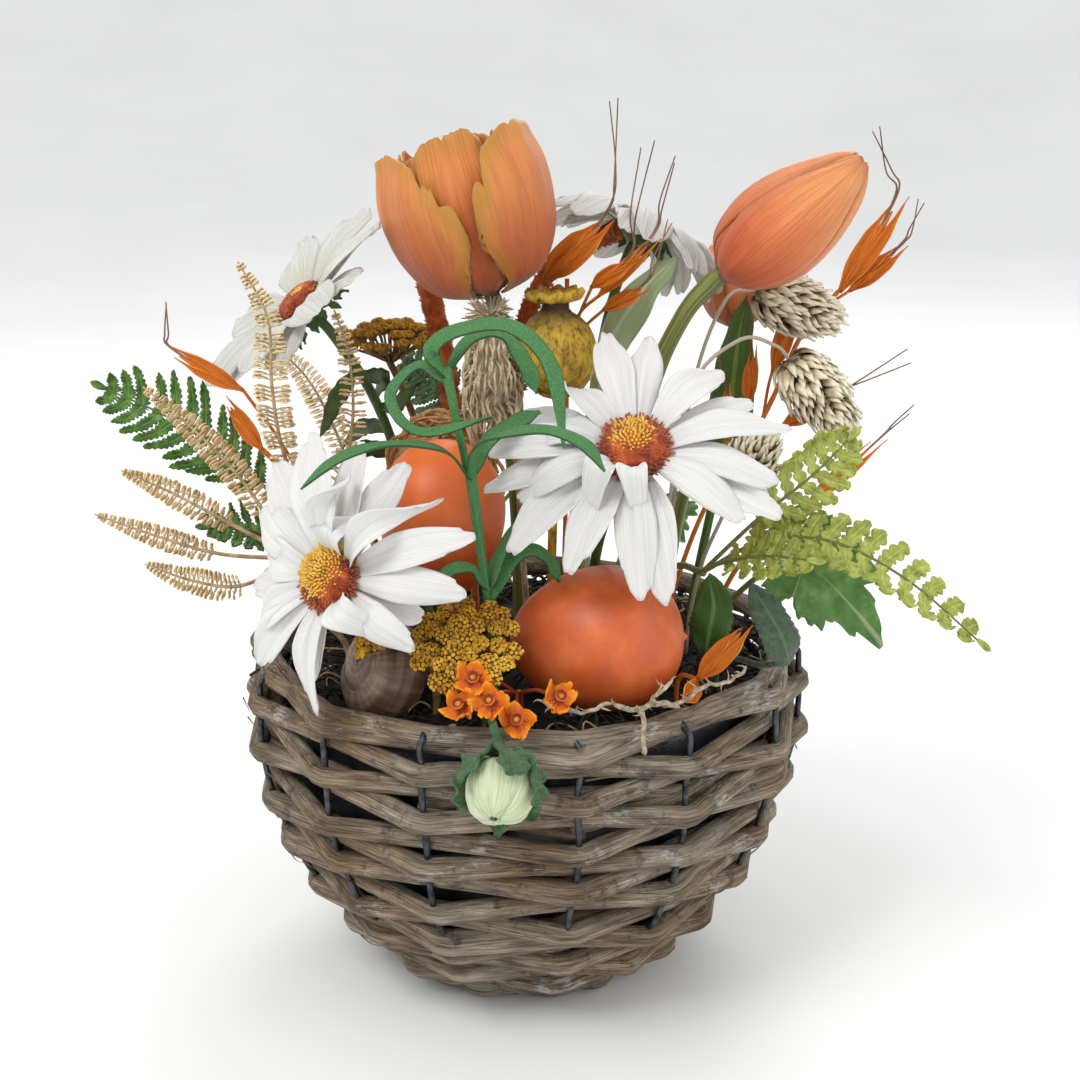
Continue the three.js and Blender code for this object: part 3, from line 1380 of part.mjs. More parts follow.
part(
  'leaf_serrate',
  fuse([
    lightStem(at(64, -37, 0), [at(77, -46, 122.5), at(84, -55, 127)], 1.1),
    serrateLeaf([at(84, -54.6, 126.6), at(82, -56, 134), at(77, -54, 143), at(71, -52, 151)],
      at(0.4, -0.8, 0.4), 7.5, 5),
  ]),
  'serrate',
);
part(
  'leaf_behind_egg',
  fuse([
    lightStem(at(60, -30, 0), [at(60, -32, 125)], 1.1),
    serrateLeaf([at(60, -31.8, 123), at(61, -34, 131), at(62, -34, 140), at(60, -33, 148)],
      at(0, -1, 0.2), 7.5, 5),
  ]),
  'leaf',
);

// ---------------------------------------------------------------- lichen twigs

part(
  'lichen_twigs',
  fuse([
    tube([at(48, -75, 119.4), at(40, -81, 122.6), at(33, -86, 122.8), at(27, -85, 125)], 1, 4),
    tube([at(38.5, -82, 122.6), at(40, -86, 128), at(45, -84, 131)], 0.8, 3),
    tube([at(34, -85.4, 122.8), at(36, -93, 122.8), at(36, -99.6, 114)], 0.8, 3),
    tube([at(46, -76.6, 120.6), at(52, -74.5, 123.4), at(58, -72, 126)], 0.8, 3),
  ]),
  'twig',
);

// ---------------------------------------------------------------- the back of the arrangement

part(
  'fern_back',
  fuse([
    lightStem(at(-10, 44, 0), [at(-12, 52, 135), at(-14, 58, 150)], 1.1),
    frond([at(-14, 57, 147), at(-24, 70, 172), at(-36, 78, 190), at(-48, 82, 200)], at(0, 1, 0.5), 14, 7, {
      sweep: 0.45,
      droop: 0.01,
      lobed: true,
    }),
    frond([at(-13, 56, 145), at(2, 72, 160), at(14, 84, 166), at(28, 94, 162)], at(0.2, 0.6, 1), 13, 6, {
      sweep: 0.45,
      droop: 0.01,
      lobed: true,
    }),
  ]),
  'fern',
);
part(
  'leaf_ivy_back',
  fuse([
    lightStem(at(34, 56, 0), [at(38, 64, 132), at(44, 74, 146)], 1.1),
    ivyLeaf([at(43.4, 73, 145), at(50, 82, 140), at(57, 91, 132), at(62, 98, 122)], at(0.3, 0.8, 0.6), 0.9),
    ivyLeaf([at(43, 72.6, 144.6), at(30, 84, 146), at(20, 92, 142), at(12, 98, 134)], at(0, 0.7, 0.8), 0.8),
  ]),
  'ivy',
);
part(
  'fern_bleached_back',
  fuse([
    lightStem(at(-50, 40, 0), [at(-58, 48, 138), at(-64, 54, 158)], 1.1),
    frond([at(-63, 53, 155), at(-72, 60, 178), at(-82, 64, 196), at(-94, 66, 208)], at(-0.3, 1, 0.3), 9, 8, {
      sweep: 0.25,
      droop: 0.02,
    }),
  ]),
  'bleached',
);

// ---------------------------------------------------------------- basket and fill, with their holes

// The basket is turned a little, so that its front stakes stand where they are seen.
const basket = new THREE.Group();
basket.rotation.z = STAKE_TURN;
arrangement.add(basket);
part('basket_wicker', wovenBasket(), 'willow', 0.9, basket);
part('basket_wires', wireStakes(), 'wire', 0.6, basket);
part('liner_film', linerFilm(), 'film', 0.4, basket);
part('foam_block', cut(foamBlock(), stemHoles), 'foam', 1);
const nests = [egg(FRONT_EGG, 0.5), solid(aimed(snailGeometry(0.5), SHELL.axis, SHELL.centre))];
part('moss_fill', cut(mossFill(), [...stemHoles, ...lightHoles, ...nests]), 'moss', 1);

export default arrangement;
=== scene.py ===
# %% [markdown]
# # A flower basket arrangement
# The object is a small willow basket, about 20 cm across, filled with silk daisies and tulips,
# dried seed heads, dyed oats, ferns, two orange eggs and moss. The solid model gives every piece
# its place and size. This lesson dresses each piece with the shape and finish of the real thing.
# The scene is in metres. Tables of points are in millimetres, because the pieces are small. The
# basket stands on Z = 0, and the viewer stands on the -Y side.

import math
import random

import bmesh
import bpy
from mathutils import Matrix, Vector, noise


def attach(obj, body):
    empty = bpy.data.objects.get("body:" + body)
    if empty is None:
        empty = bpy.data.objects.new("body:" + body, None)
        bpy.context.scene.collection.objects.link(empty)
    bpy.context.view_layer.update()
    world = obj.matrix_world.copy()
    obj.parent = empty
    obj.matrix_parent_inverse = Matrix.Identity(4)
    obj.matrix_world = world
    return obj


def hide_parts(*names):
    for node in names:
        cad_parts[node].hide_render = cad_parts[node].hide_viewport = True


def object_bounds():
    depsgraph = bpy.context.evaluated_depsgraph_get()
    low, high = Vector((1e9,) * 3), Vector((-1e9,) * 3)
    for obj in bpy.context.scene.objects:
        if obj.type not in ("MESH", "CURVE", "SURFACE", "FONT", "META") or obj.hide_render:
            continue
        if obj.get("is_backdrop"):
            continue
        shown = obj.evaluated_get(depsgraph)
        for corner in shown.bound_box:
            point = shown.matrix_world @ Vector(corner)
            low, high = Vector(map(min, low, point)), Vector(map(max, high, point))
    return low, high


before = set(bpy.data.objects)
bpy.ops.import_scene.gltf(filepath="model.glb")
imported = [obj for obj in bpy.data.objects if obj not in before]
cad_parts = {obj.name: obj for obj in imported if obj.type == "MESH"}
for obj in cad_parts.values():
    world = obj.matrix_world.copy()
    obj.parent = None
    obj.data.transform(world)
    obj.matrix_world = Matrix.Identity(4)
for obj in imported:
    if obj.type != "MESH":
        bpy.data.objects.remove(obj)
cad_box = [list(corner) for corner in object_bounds()]
print("solid pieces loaded:", len(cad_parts))

# %% [markdown]
# ## Camera, light and floor
# The photograph was taken from a little above, about 60 cm away, with the basket filling the
# frame. Three large soft lamps and a pale room give the even light of a product table, and the
# floor is a plain pale sheet that rises far behind.


# %% Points in millimetres
def mm(x, y, z):
    return Vector((x, y, z)) / 1000


UP = Vector((0, 0, 1))
VIEWER = Vector((0, -1, 0.3)).normalized()

# %% Camera at the photograph's angle
CAMERA_PLACE = mm(5, -576.8, 316.9)
CAMERA_TILT = 74
FOCAL_LENGTH = 57.97
lens = bpy.data.cameras.new("camera")
lens.sensor_width = 36
lens.lens = FOCAL_LENGTH
camera = bpy.data.objects.new("camera", lens)
camera.location = CAMERA_PLACE
camera.rotation_euler = (math.radians(CAMERA_TILT), 0, 0)
bpy.context.scene.collection.objects.link(camera)
bpy.context.scene.camera = camera
bpy.context.scene.view_settings.view_transform = "Standard"
print("camera stands", round(camera.location.length, 3), "m from the basket's foot")

# %% Soft lamps and a pale room
LIT_POINT = Vector((0, 0, 0.15))
ROOM_COLOUR = (0.97, 0.985, 1, 1)
ROOM_STRENGTH = 0.86
# Each row: name, place and width in metres, and power in watts.
LAMPS = [
    ("lamp_main", (-0.8, -0.9, 1.5), 0.9, 15),
    ("lamp_fill", (1.2, -0.8, 0.7), 1.2, 4.5),
    ("lamp_back", (0.3, 1.2, 1.1), 0.8, 7),
]
for name, place, width, power in LAMPS:
    light = bpy.data.lights.new(name, "AREA")
    light.shape = "DISK"
    light.size = width
    light.energy = power
    lamp = bpy.data.objects.new(name, light)
    lamp.location = place
    lamp.rotation_euler = (LIT_POINT - Vector(place)).to_track_quat("-Z", "Y").to_euler()
    bpy.context.scene.collection.objects.link(lamp)
room = bpy.data.worlds.new("room")
room.use_nodes = True
room.node_tree.nodes["Background"].inputs["Color"].default_value = ROOM_COLOUR
room.node_tree.nodes["Background"].inputs["Strength"].default_value = ROOM_STRENGTH
bpy.context.scene.world = room
print("lamps:", len(LAMPS))

# %% [markdown]
# ## Finishes as sums of patterns
# Every finish is a small tree of shader nodes. Wiring nodes by hand hides the idea, so a Wire
# stands for one output, and sums and products of wires add the Math nodes. A Finish holds one
# material, and its node() method makes any other node. Most finishes here are one noise that
# runs through a few colours, and the same noise lifts the surface a little.


# %% A wire that can be added and multiplied
class Wire:
    def __init__(self, finish, socket):
        self.finish = finish
        self.socket = socket

    def math(self, operation, first, second):
        return self.finish.node("ShaderNodeMath", {"operation": operation}, {0: first, 1: second})

    def __add__(self, other):
        return self.math("ADD", self, other)

    def __sub__(self, other):
        return self.math("SUBTRACT", self, other)

    def __rsub__(self, other):
        return self.math("SUBTRACT", other, self)

    def __mul__(self, other):
        return self.math("MULTIPLY", self, other)

    def __pow__(self, power):
        return self.math("POWER", self, power)

    __radd__ = __add__
    __rmul__ = __mul__


# %% A finish and its patterns
def tint(red, green, blue):
    """A linear colour from the 0 to 255 of a screen."""
    straight = 255 * 12.92
    shares = [((c / 255 + 0.055) / 1.055) ** 2.4 if c > 10 else c / straight for c in (red, green, blue)]
    return (*shares, 1)


class Finish:
    def __init__(self, name, roughness=0.7, **constants):
        self.material = bpy.data.materials.new(name)
        self.material.use_nodes = True
        self.tree = self.material.node_tree
        self.shader = self.tree.nodes["Principled BSDF"]
        self.shader.inputs["Roughness"].default_value = roughness
        for key, value in constants.items():
            self.shader.inputs[key.replace("_", " ").title()].default_value = value
        self.place = self.node("ShaderNodeTexCoord", output="Object")
        self.flow = self.node("ShaderNodeAttribute", {"attribute_name": "flow"}, output="Vector")

    def node(self, kind, settings=None, inputs=None, output=0):
        made = self.tree.nodes.new(kind)
        for key, value in (settings or {}).items():
            setattr(made, key, value)
        for key, value in (inputs or {}).items():
            if isinstance(value, Wire):
                self.tree.links.new(made.inputs[key], value.socket)
            else:
                made.inputs[key].default_value = value
        return Wire(self, made.outputs[output])

    def stretched(self, vector, x, y, z):
        return self.node("ShaderNodeMapping", inputs={"Vector": vector, "Scale": (x, y, z)})

    def split(self, vector, axis):
        return self.node("ShaderNodeSeparateXYZ", inputs={0: vector}, output=axis)

    def cloud(self, vector, scale, detail=3, rough=0.55):
        values = {"Vector": vector, "Scale": scale, "Detail": detail, "Roughness": rough}
        return self.node("ShaderNodeTexNoise", inputs=values)

    def grains(self, vector, scale):
        return self.node("ShaderNodeTexVoronoi", inputs={"Vector": vector, "Scale": scale})

    def between(self, value, low, high):
        """The share of the way from low to high, held within 0 and 1."""
        values = {"Value": value, "From Min": low, "From Max": high}
        return self.node("ShaderNodeMapRange", inputs=values)

    def ramp(self, value, *stops):
        """Each stop is (position, red, green, blue)."""
        made = self.node("ShaderNodeValToRGB", inputs={0: value})
        elements = made.socket.node.color_ramp.elements
        for k, (position, *colour) in enumerate(stops):
            element = elements[k] if k < 2 else elements.new(position)
            element.position = position
            element.color = tint(*colour)
        return made

    def blend(self, amount, first, second, kind="MIX"):
        values = {0: amount, 6: first, 7: second}
        return self.node("ShaderNodeMix", {"data_type": "RGBA", "blend_type": kind}, values, 2)

    def paint(self, colour, height=None, depth=0.0004, strength=0.6, roughness=None):
        """Wires the colour, a bump of the given depth in metres, and the roughness."""
        self.tree.links.new(self.shader.inputs["Base Color"], colour.socket)
        if roughness is not None:
            self.tree.links.new(self.shader.inputs["Roughness"], roughness.socket)
        if height is not None:
            values = {"Height": height, "Distance": depth, "Strength": strength}
            bump = self.node("ShaderNodeBump", inputs=values)
            self.tree.links.new(self.shader.inputs["Normal"], bump.socket)
        print("finish", self.material.name, "has", len(self.tree.nodes), "nodes")
        return self.material


def cloudy(name, roughness, cloud, *stops, stretch=None, depth=None, **constants):
    """A material of one noise. It follows the shape's flow where a stretch is given."""
    made = Finish(name, roughness, **constants)
    vector = made.stretched(made.flow, *stretch) if stretch else made.place
    pattern = made.cloud(vector, *cloud)
    return made.paint(made.ramp(pattern, *stops), pattern if depth else None, depth)


# %% The floor's finish and the floor
FLOOR_FLAT = 1.5
FLOOR_RISE = 0.12
FLOOR_TOP = 0.75
paper = cloudy("floor_paper", 0.9, (3,), (0.3, 236, 236, 234), (0.7, 242, 242, 240))
sheet_mesh = bmesh.new()
bmesh.ops.create_grid(sheet_mesh, x_segments=40, y_segments=40, size=5)
for vert in sheet_mesh.verts:
    vert.co.z = min(FLOOR_RISE * max(0, vert.co.xy.length - FLOOR_FLAT) ** 2, FLOOR_TOP)
floor_mesh = bpy.data.meshes.new("floor")
sheet_mesh.to_mesh(floor_mesh)
sheet_mesh.free()
floor = bpy.data.objects.new("floor", floor_mesh)
floor.data.materials.append(paper)
floor.location.z = -0.0004
bpy.context.scene.collection.objects.link(floor)
floor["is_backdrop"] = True

# %% [markdown]
# ## Four ways to grow a plant part
# Almost everything here is one of four shapes. A stem, rod, fibre or awn is a ring that is
# extruded along a curve. A petal or leaf is a flat grid that is bent to its form and given a
# thickness. A cup or a core is a profile that is spun. A floret or a scale is one small shape
# that is copied many times. Each is made in a small bmesh of its own and then added to its
# piece, because operators slow down as a bmesh grows.
# Each point keeps a "flow" value, which says where it lies on its stem or petal, so that veins,
# streaks and weave can follow the shape.


# %% Smooth curves and the frames along them
def smooth(points, count):
    """Even samples of a smooth curve through the points."""
    ends = [2 * points[0] - points[1], *points, 2 * points[-1] - points[-2]]
    spans = len(points) - 1
    samples = []
    for k in range(count):
        t = k * spans / (count - 1)
        i = min(int(t), spans - 1)
        f = t - i
        a, b, c, d = ends[i : i + 4]
        bend = (2 * a - 5 * b + 4 * c - d) * f * f + (3 * b - a - 3 * c + d) * f**3
        samples.append(0.5 * (2 * b + (c - a) * f + bend))
    return samples


def through(points, count):
    """A smooth curve through points in millimetres."""
    return smooth([mm(*point) for point in points], count)


def stations(path, face=VIEWER, carried=True):
    """A matrix at each point of a path: X across it, Y out of its face and Z along it."""
    face = Vector(face)
    found = []
    side = None
    for i, place in enumerate(path):
        along = (path[min(i + 1, len(path) - 1)] - path[max(i - 1, 0)]).normalized()
        if side is None or not carried:
            side = along.cross(face)
        side = (side - along * side.dot(along)).normalized()
        turn = Matrix((side, along.cross(side), along)).transposed().to_4x4()
        found.append(Matrix.Translation(place) @ turn)
    return found


def station_at(frames, share):
    """The frame at a share of the way along, between its two neighbours."""
    t = share * (len(frames) - 1)
    i = min(int(t), len(frames) - 2)
    return frames[i].lerp(frames[i + 1], t - i)


def flow_of(small):
    return small.verts.layers.float_vector["flow"]


def small_bmesh():
    small = bmesh.new()
    small.verts.layers.float_vector.new("flow")
    return small


# %% A piece that gathers its small shapes
class Piece:
    def __init__(self, name):
        self.name = name
        self.mesh = small_bmesh()

    def add(self, small, material=0, at=Matrix()):
        """Takes in a small bmesh, at a matrix."""
        bmesh.ops.transform(small, matrix=at, verts=small.verts)
        self.copies(small, [Matrix()], material)

    def copies(self, small, places, material=0):
        """Takes in a small bmesh once at each matrix, with its faces smooth and turned outwards."""
        bmesh.ops.recalc_face_normals(small, faces=small.faces)
        for face in small.faces:
            face.material_index = material
            face.smooth = True
        carrier = bpy.data.meshes.new("carrier")
        small.to_mesh(carrier)
        small.free()
        for place in places:
            carrier.transform(place)
            self.mesh.from_mesh(carrier)
            carrier.transform(place.inverted())
        bpy.data.meshes.remove(carrier)

    def finish(self, materials, slot, node):
        """Makes the object, which stands for the given solid piece."""
        mesh = bpy.data.meshes.new(self.name)
        self.mesh.to_mesh(mesh)
        self.mesh.free()
        for material in materials:
            mesh.materials.append(material)
        made = bpy.data.objects.new(self.name, mesh)
        bpy.context.scene.collection.objects.link(made)
        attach(made, "root")
        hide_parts(node)
        print(self.name, "has", len(mesh.polygons), "faces")


# %% A stem, rod or fibre: a ring extruded along a curve
def stalk(path, radius, sides=6, flat=1.0, seed=0.0):
    """radius is in metres, or a function of the share of the way along."""
    small = small_bmesh()
    flow = flow_of(small)
    girth = radius if callable(radius) else lambda t: radius
    last = len(path) - 1
    shaped = [
        m @ Matrix.Diagonal((girth(k / last), girth(k / last) * flat, 1, 1))
        for k, m in enumerate(stations(path))
    ]
    ring = bmesh.ops.create_circle(small, segments=sides, radius=1)["verts"]
    for vert in ring:
        vert[flow] = (vert.co.x, vert.co.y, seed)
    edges = list({edge for vert in ring for edge in vert.link_edges})
    bmesh.ops.transform(small, verts=ring, matrix=shaped[0])
    bmesh.ops.contextual_create(small, geom=edges)
    travelled = seed
    for k in range(1, len(path)):
        grown = bmesh.ops.extrude_edge_only(small, edges=edges)["geom"]
        ring = [item for item in grown if isinstance(item, bmesh.types.BMVert)]
        edges = [item for item in grown if isinstance(item, bmesh.types.BMEdge)]
        travelled += (path[k] - path[k - 1]).length * 100
        for vert in ring:
            vert[flow] = (vert[flow].x, vert[flow].y, travelled)
        bmesh.ops.transform(small, verts=ring, matrix=shaped[k] @ shaped[k - 1].inverted())
    bmesh.ops.contextual_create(small, geom=edges)
    return small


# %% A petal or leaf: a grid bent to its form and thickened
def leaf(place, columns=4, rows=8, thick=0.0006, seed=0.0):
    """place(u, v) gives a point, with u from -1 to 1 across and v from 0 to 1 along."""
    small = small_bmesh()
    flow = flow_of(small)
    grid = bmesh.ops.create_grid(small, x_segments=columns, y_segments=rows, size=1)["verts"]
    for vert in grid:
        across, along = vert.co.x, (vert.co.y + 1) / 2
        vert[flow] = (across, along, seed)
        vert.co = place(across, along)
    bmesh.ops.remove_doubles(small, verts=grid, dist=1e-6)
    small.normal_update()
    shell = bmesh.ops.extrude_face_region(small, geom=list(small.faces), use_keep_orig=True)["geom"]
    for part in shell:
        if isinstance(part, bmesh.types.BMVert):
            part.co += part.normal * thick
    return small


def on_rib(path, half, face=VIEWER, cup=0.0, wave=0.0, waves=3, seed=0.0):
    """A place(u, v) function for a blade on a rib, with half(v) as its half width."""
    frames = stations(path, face, carried=False)

    def place(u, v):
        width = half(v)
        ripple = wave * math.sin(waves * math.tau * v + 2 * u + seed) * abs(u)
        return station_at(frames, v) @ Vector((u * width, cup * width * u * u + ripple, 0))

    return place


# %% A cup or core: a profile spun about the upright axis
def turned(profile, steps=32, shape=None, seed=0.0):
    """profile lists (radius, height) in millimetres, from one end on the axis to the other."""
    small = small_bmesh()
    flow = flow_of(small)
    line = []
    for k, (radius, height) in enumerate(profile):
        vert = small.verts.new((radius / 1000, 0, height / 1000))
        vert[flow] = (0, k / (len(profile) - 1), seed)
        line.append(vert)
    edges = [small.edges.new(pair) for pair in zip(line, line[1:])]
    spin = {"cent": (0, 0, 0), "axis": (0, 0, 1), "angle": math.tau, "steps": steps}
    bmesh.ops.spin(small, geom=line + edges, use_merge=True, **spin)
    bmesh.ops.remove_doubles(small, verts=small.verts, dist=1e-6)
    for vert in small.verts:
        vert[flow] = (math.atan2(vert.co.y, vert.co.x), vert[flow].y, seed)
        if shape:
            vert.co = shape(vert.co)
    return small


# %% Frames that stand a shape on its place
def stood(place, direction, roll=0.0):
    """A matrix that stands a shape, made up the Z axis, on a place along a direction."""
    turn = UP.rotation_difference(Vector(direction).normalized()).to_matrix().to_4x4()
    return Matrix.Translation(place) @ turn @ Matrix.Rotation(roll, 4, "Z")


def ease(share):
    """A share of the way that starts and stops gently."""
    return share * share * (3 - 2 * share)


def read_off(table, where):
    """A value between the rows (where, value) of a table, which eases from row to row."""
    for (start, low), (end, high) in zip(table, table[1:]):
        if where <= end:
            return low + (high - low) * ease((where - start) / (end - start))
    return table[-1][1]

# %% [markdown]
# ## The woven wall
# The basket is woven from split willow rods, about 7 mm thick, round fourteen wire stakes. Each
# rod passes in front of one stake and behind the next, and the row above does the opposite. The
# rods are stiff, so they run straight from stake to stake and are kinked there. No two are
# alike: they drift up or down, get thinner, and end in a cut tucked behind a stake.

# %% The basket's outline and its stakes
# Each row of the wall: radius and height.
WALL = [(42, 0), (57, 10), (69, 22), (80.5, 38), (89.5, 56), (96.5, 76), (99, 92), (98, 108), (95, 118)]
RIM = WALL[-1][1]
ROWS = 14
FRONT_STAKES = [229, 251, 280, 302, 329]
STAKE_GAP = 26
STAKES = FRONT_STAKES + [FRONT_STAKES[-1] + (k + 1) * STAKE_GAP for k in range(9)]


def wall(height):
    """The outer radius of the wall at a height."""
    for (low_r, low), (high_r, high) in zip(WALL, WALL[1:]):
        if height <= high:
            return low_r + (high_r - low_r) * max(0, height - low) / (high - low)
    return WALL[-1][0]


def around(degrees, radius, height):
    turn = math.radians(degrees)
    return mm(radius * math.cos(turn), radius * math.sin(turn), height)


print("stakes at", [round(a % 360) for a in STAKES])

# %% [markdown]
# A rod's path is a list of kinks, one at each stake. Points on the straight lines between the
# kinks, with one just before and after each, keep the kinks sharp. The girth follows a slow
# noise, so each rod has knots and thin places.


# %% One rod woven through the stakes
def kinked(corners, steps=5):
    shares = [0.05] + [k / steps for k in range(1, steps)] + [0.95]
    return [start.lerp(end, share) for start, end in zip(corners, corners[1:]) for share in shares]


def knotty(thick, seed, taper=0.35):
    """A girth that wanders, and narrows to its cut ends. thick is in millimetres."""

    def girth(t):
        wander = 1 + 0.14 * noise.noise((t * 9, seed, 0)) + 0.07 * noise.noise((t * 40, seed, 7))
        ends = min(1, 6 * t + 1 - taper, 6 * (1 - t) + 1 - taper)
        return thick * wander * ends / 1000

    return girth


def rod(row, first, spans, height, lean, thick, inset):
    """A rod that starts at one stake and passes as many as it spans."""
    corners = []
    for k in range(spans + 1):
        lap, stake = divmod(first + k, len(STAKES))
        side = 1 if (first + k + row) % 2 else -1
        drift = (dice.uniform(-1.8, 1.8) - 1.3 * side) * min(1, height / 14)
        level = height + lean * (k / spans - 0.5) + drift
        if k in (0, spans):
            radius = wall(level) - inset - 3
            reach = dice.uniform(3, 8) * (-1 if k == 0 else 1)
        else:
            radius = wall(level) - inset + 3 * side
            reach = 0
        degrees = STAKES[stake] + 360 * lap + reach * 0.6
        corners.append(around(degrees, radius, max(level, 1.3 * thick)))
    return stalk(kinked(corners), knotty(thick, dice.random() * 50), 10, seed=dice.random() * 90)


basket = Piece("willow_basket")
dice = random.Random(4)
for row in range(ROWS):
    height = RIM * (row + 0.5) / ROWS
    thick = 3.85 if row < 9 else 3.6
    first = dice.randrange(14)
    for half_turn in (0, 7):
        lean = dice.uniform(-7, 7) * min(1, row / 3)
        girth = thick * dice.uniform(0.9, 1.04)
        basket.add(rod(row, first + half_turn, 8, height, lean, girth, 4.6))
print("rows woven:", ROWS)

# %% [markdown]
# Between the rows lie shorter pieces of rod, cut on a slant, that fill up the low part of the
# wall. Short lengths of rod lie inside the rim. The round foot is woven flat over crossed
# sticks.

# %% Fillers, the rim and the foot
FILLERS = 62
RIM_RADIUS = 92.2
RIM_LEVEL = 114.5
FOOT_LEVEL = 5.3
FOOT_STICKS = 7
for k in range(FILLERS):
    level = 12 + 98 * (k * 0.618 % 1)
    first = dice.randrange(14)
    spans = dice.choice([1, 2, 2, 3])
    basket.add(rod(k, first, spans, level, dice.uniform(-12, 12), 2.7, 5.4))
for k in range(5):
    corners = []
    for j in range(5):
        radius = RIM_RADIUS - 1.2 * (j % 2) - k % 2
        corners.append(around(STAKES[(3 * k + j) % 14], radius, RIM_LEVEL + 1.2 * (k % 2)))
    basket.add(stalk(kinked(corners), knotty(3.3, 5 * k), 10, seed=7 * k))
for k in range(FOOT_STICKS):
    turn = math.pi * k / FOOT_STICKS
    tip = Vector((0.048 * math.cos(turn), 0.048 * math.sin(turn), 0.0048 + 0.0003 * k))
    stick = smooth([tip, Vector((0, 0, tip.z)), -tip + 2 * UP * tip.z], 12)
    basket.add(stalk(stick, 0.0022, 8, seed=k))
for ring in range(7):
    path = []
    for j in range(29):
        degrees = 360 * j / 28
        height = FOOT_LEVEL + 1.6 * math.cos(math.radians(FOOT_STICKS * degrees) + math.pi * ring)
        path.append(around(degrees, 7 + 6.4 * ring, height))
    basket.add(stalk(smooth(path, 85), knotty(2.7, ring, 0), 8, seed=3 * ring))

# %% [markdown]
# Fine hairs of willow stand off the rods here and there, most of them in front.

# %% Hairs
for k in range(34):
    degrees = dice.uniform(180, 360) if k % 2 else dice.uniform(0, 360)
    level = dice.uniform(14, 114)
    long = dice.uniform(4, 11)
    lift = dice.uniform(-0.4, 0.9)
    path = []
    for s in (0, 0.5, 1):
        radius = wall(level) + 0.6 + lift * s * s
        path.append(around(degrees + long * s, radius, level + dice.uniform(-2, 2) * s))
    basket.add(stalk(smooth(path, 7), lambda t: 0.00026 * (1.2 - t), 4, 0.5, seed=k))

# %% [markdown]
# Weathered willow is grey-brown, with dark lengthwise cracks, paler worn ridges and a few
# patches of white residue. The streaks follow each rod, because "flow" holds the place round
# the rod and the length along it.

# %% Weathered willow
willow = Finish("willow", 0.82)
fine = willow.cloud(willow.stretched(willow.flow, 3.2, 3.2, 0.34), 2.4, 6, 0.66)
broad = willow.cloud(willow.stretched(willow.flow, 1, 1, 0.4), 1.3, 4)
streaks = fine * 0.6 + broad * 0.4
cracks = willow.cloud(willow.stretched(willow.flow, 6, 6, 0.3), 3, 3, 0.6)
stain = willow.cloud(willow.place, 150, 5, 0.7)
wood = willow.ramp(
    streaks,
    (0.35, 56, 49, 42),
    (0.43, 104, 94, 80),
    (0.51, 140, 128, 110),
    (0.6, 172, 161, 143),
    (0.72, 208, 202, 190),
)
hue = willow.cloud(willow.place, 22, 2)
warm = willow.blend(willow.between(hue, 0.4, 0.68), wood, tint(148, 124, 98), "SOFT_LIGHT")
flecks = willow.cloud(willow.stretched(willow.flow, 2, 2, 1.2), 1.9, 8, 0.75)
residue = flecks * willow.cloud(willow.place, 48, 2)
patches = willow.between(residue, 0.335, 0.39)
dark = willow.between(cracks, 0.56, 0.63) * 0.8 + willow.between(stain, 0.56, 0.66) * 0.6
cracked = willow.blend(dark, warm, tint(38, 33, 29))
bare = willow.blend(patches * 0.6, cracked, tint(190, 190, 186))
willow.paint(bare, streaks - cracks * 0.4, 0.001, 0.9)
basket.finish([willow.material], "willow", "basket_wicker")

# %% [markdown]
# ## Wire stakes
# Each stake is a dark annealed wire that comes up through the weave. The rods pass in front of
# it and behind it by turns, so it shows in short lengths, and its end hooks in behind the rim.

# %% The wires
WIRE_FOOT = (wall(34) - 11.3, 34)
WIRE_HOOK = [(95, 111.5), (94.4, 114.6), (91, 116), (87.5, 114.5), (86.5, 111)]
wire_route = [WIRE_FOOT] + [(wall(h) - 3.1, h) for h in (40, 54, 68, 82, 96, 106)] + WIRE_HOOK
wires = Piece("wire_stakes")
for k, degrees in enumerate(STAKES):
    path = smooth([around(degrees + 0.5 * math.sin(k + h), r, h) for r, h in wire_route], 60)
    wires.add(stalk(path, 0.00105, 8, seed=k))
wires.add(stalk([around(a, *WIRE_FOOT) for a in range(0, 361, 6)], 0.001, 8))
steel = Finish("annealed_wire", 0.42, metallic=0.75)
grey = steel.ramp(steel.cloud(steel.place, 300, 4), (0.35, 38, 40, 44), (0.7, 88, 92, 98))
worn = steel.between(steel.cloud(steel.place, 500), 0.2, 0.9) * 0.5 + 0.15
steel.paint(grey, roughness=worn)
wires.finish([steel.material], "wire", "basket_wires")

# %% [markdown]
# ## Liner, foam and moss
# A crumpled dark film keeps the dry foam off the willow. It shows through the gaps near the
# rim. Above it lies a mat of dark curly fibre, which hides the foam and holds the flowers. The
# mat is a bumpy mound, and hundreds of fibres curl over it and over the rim's inside.

# %% The film
FILM_FOOT = 12.2
FILM_RISE = 98
film = Piece("film_liner")


def film_place(u, v):
    """The film is a disc up to a fifth of v, and then a wall with a torn, toothed edge."""
    cosine, sine = math.cos(math.pi * u), math.sin(math.pi * u)
    height = FILM_FOOT + FILM_RISE * max(0, v - 0.2) / 0.8
    radius = (wall(17) - 15.1) * (v / 0.2) if v < 0.2 else wall(height + 3) - 14.6
    crease = 1.1 * noise.noise((9 * cosine, 9 * sine, 7 * v))
    tooth = 2.6 * noise.noise((20 * cosine, 20 * sine, 3))
    edge = tooth * max(0, v - 0.9) / 0.1
    return around(180 * u, radius - abs(crease) * min(1, 3 * v), height + edge)


film.add(leaf(film_place, 112, 26, 0.0008))
dark_film = cloudy("dark_film", 0.34, (90, 5, 0.7), (0.3, 20, 21, 25), (0.75, 66, 68, 74), depth=0.002)
film.finish([dark_film], "film", "liner_film")

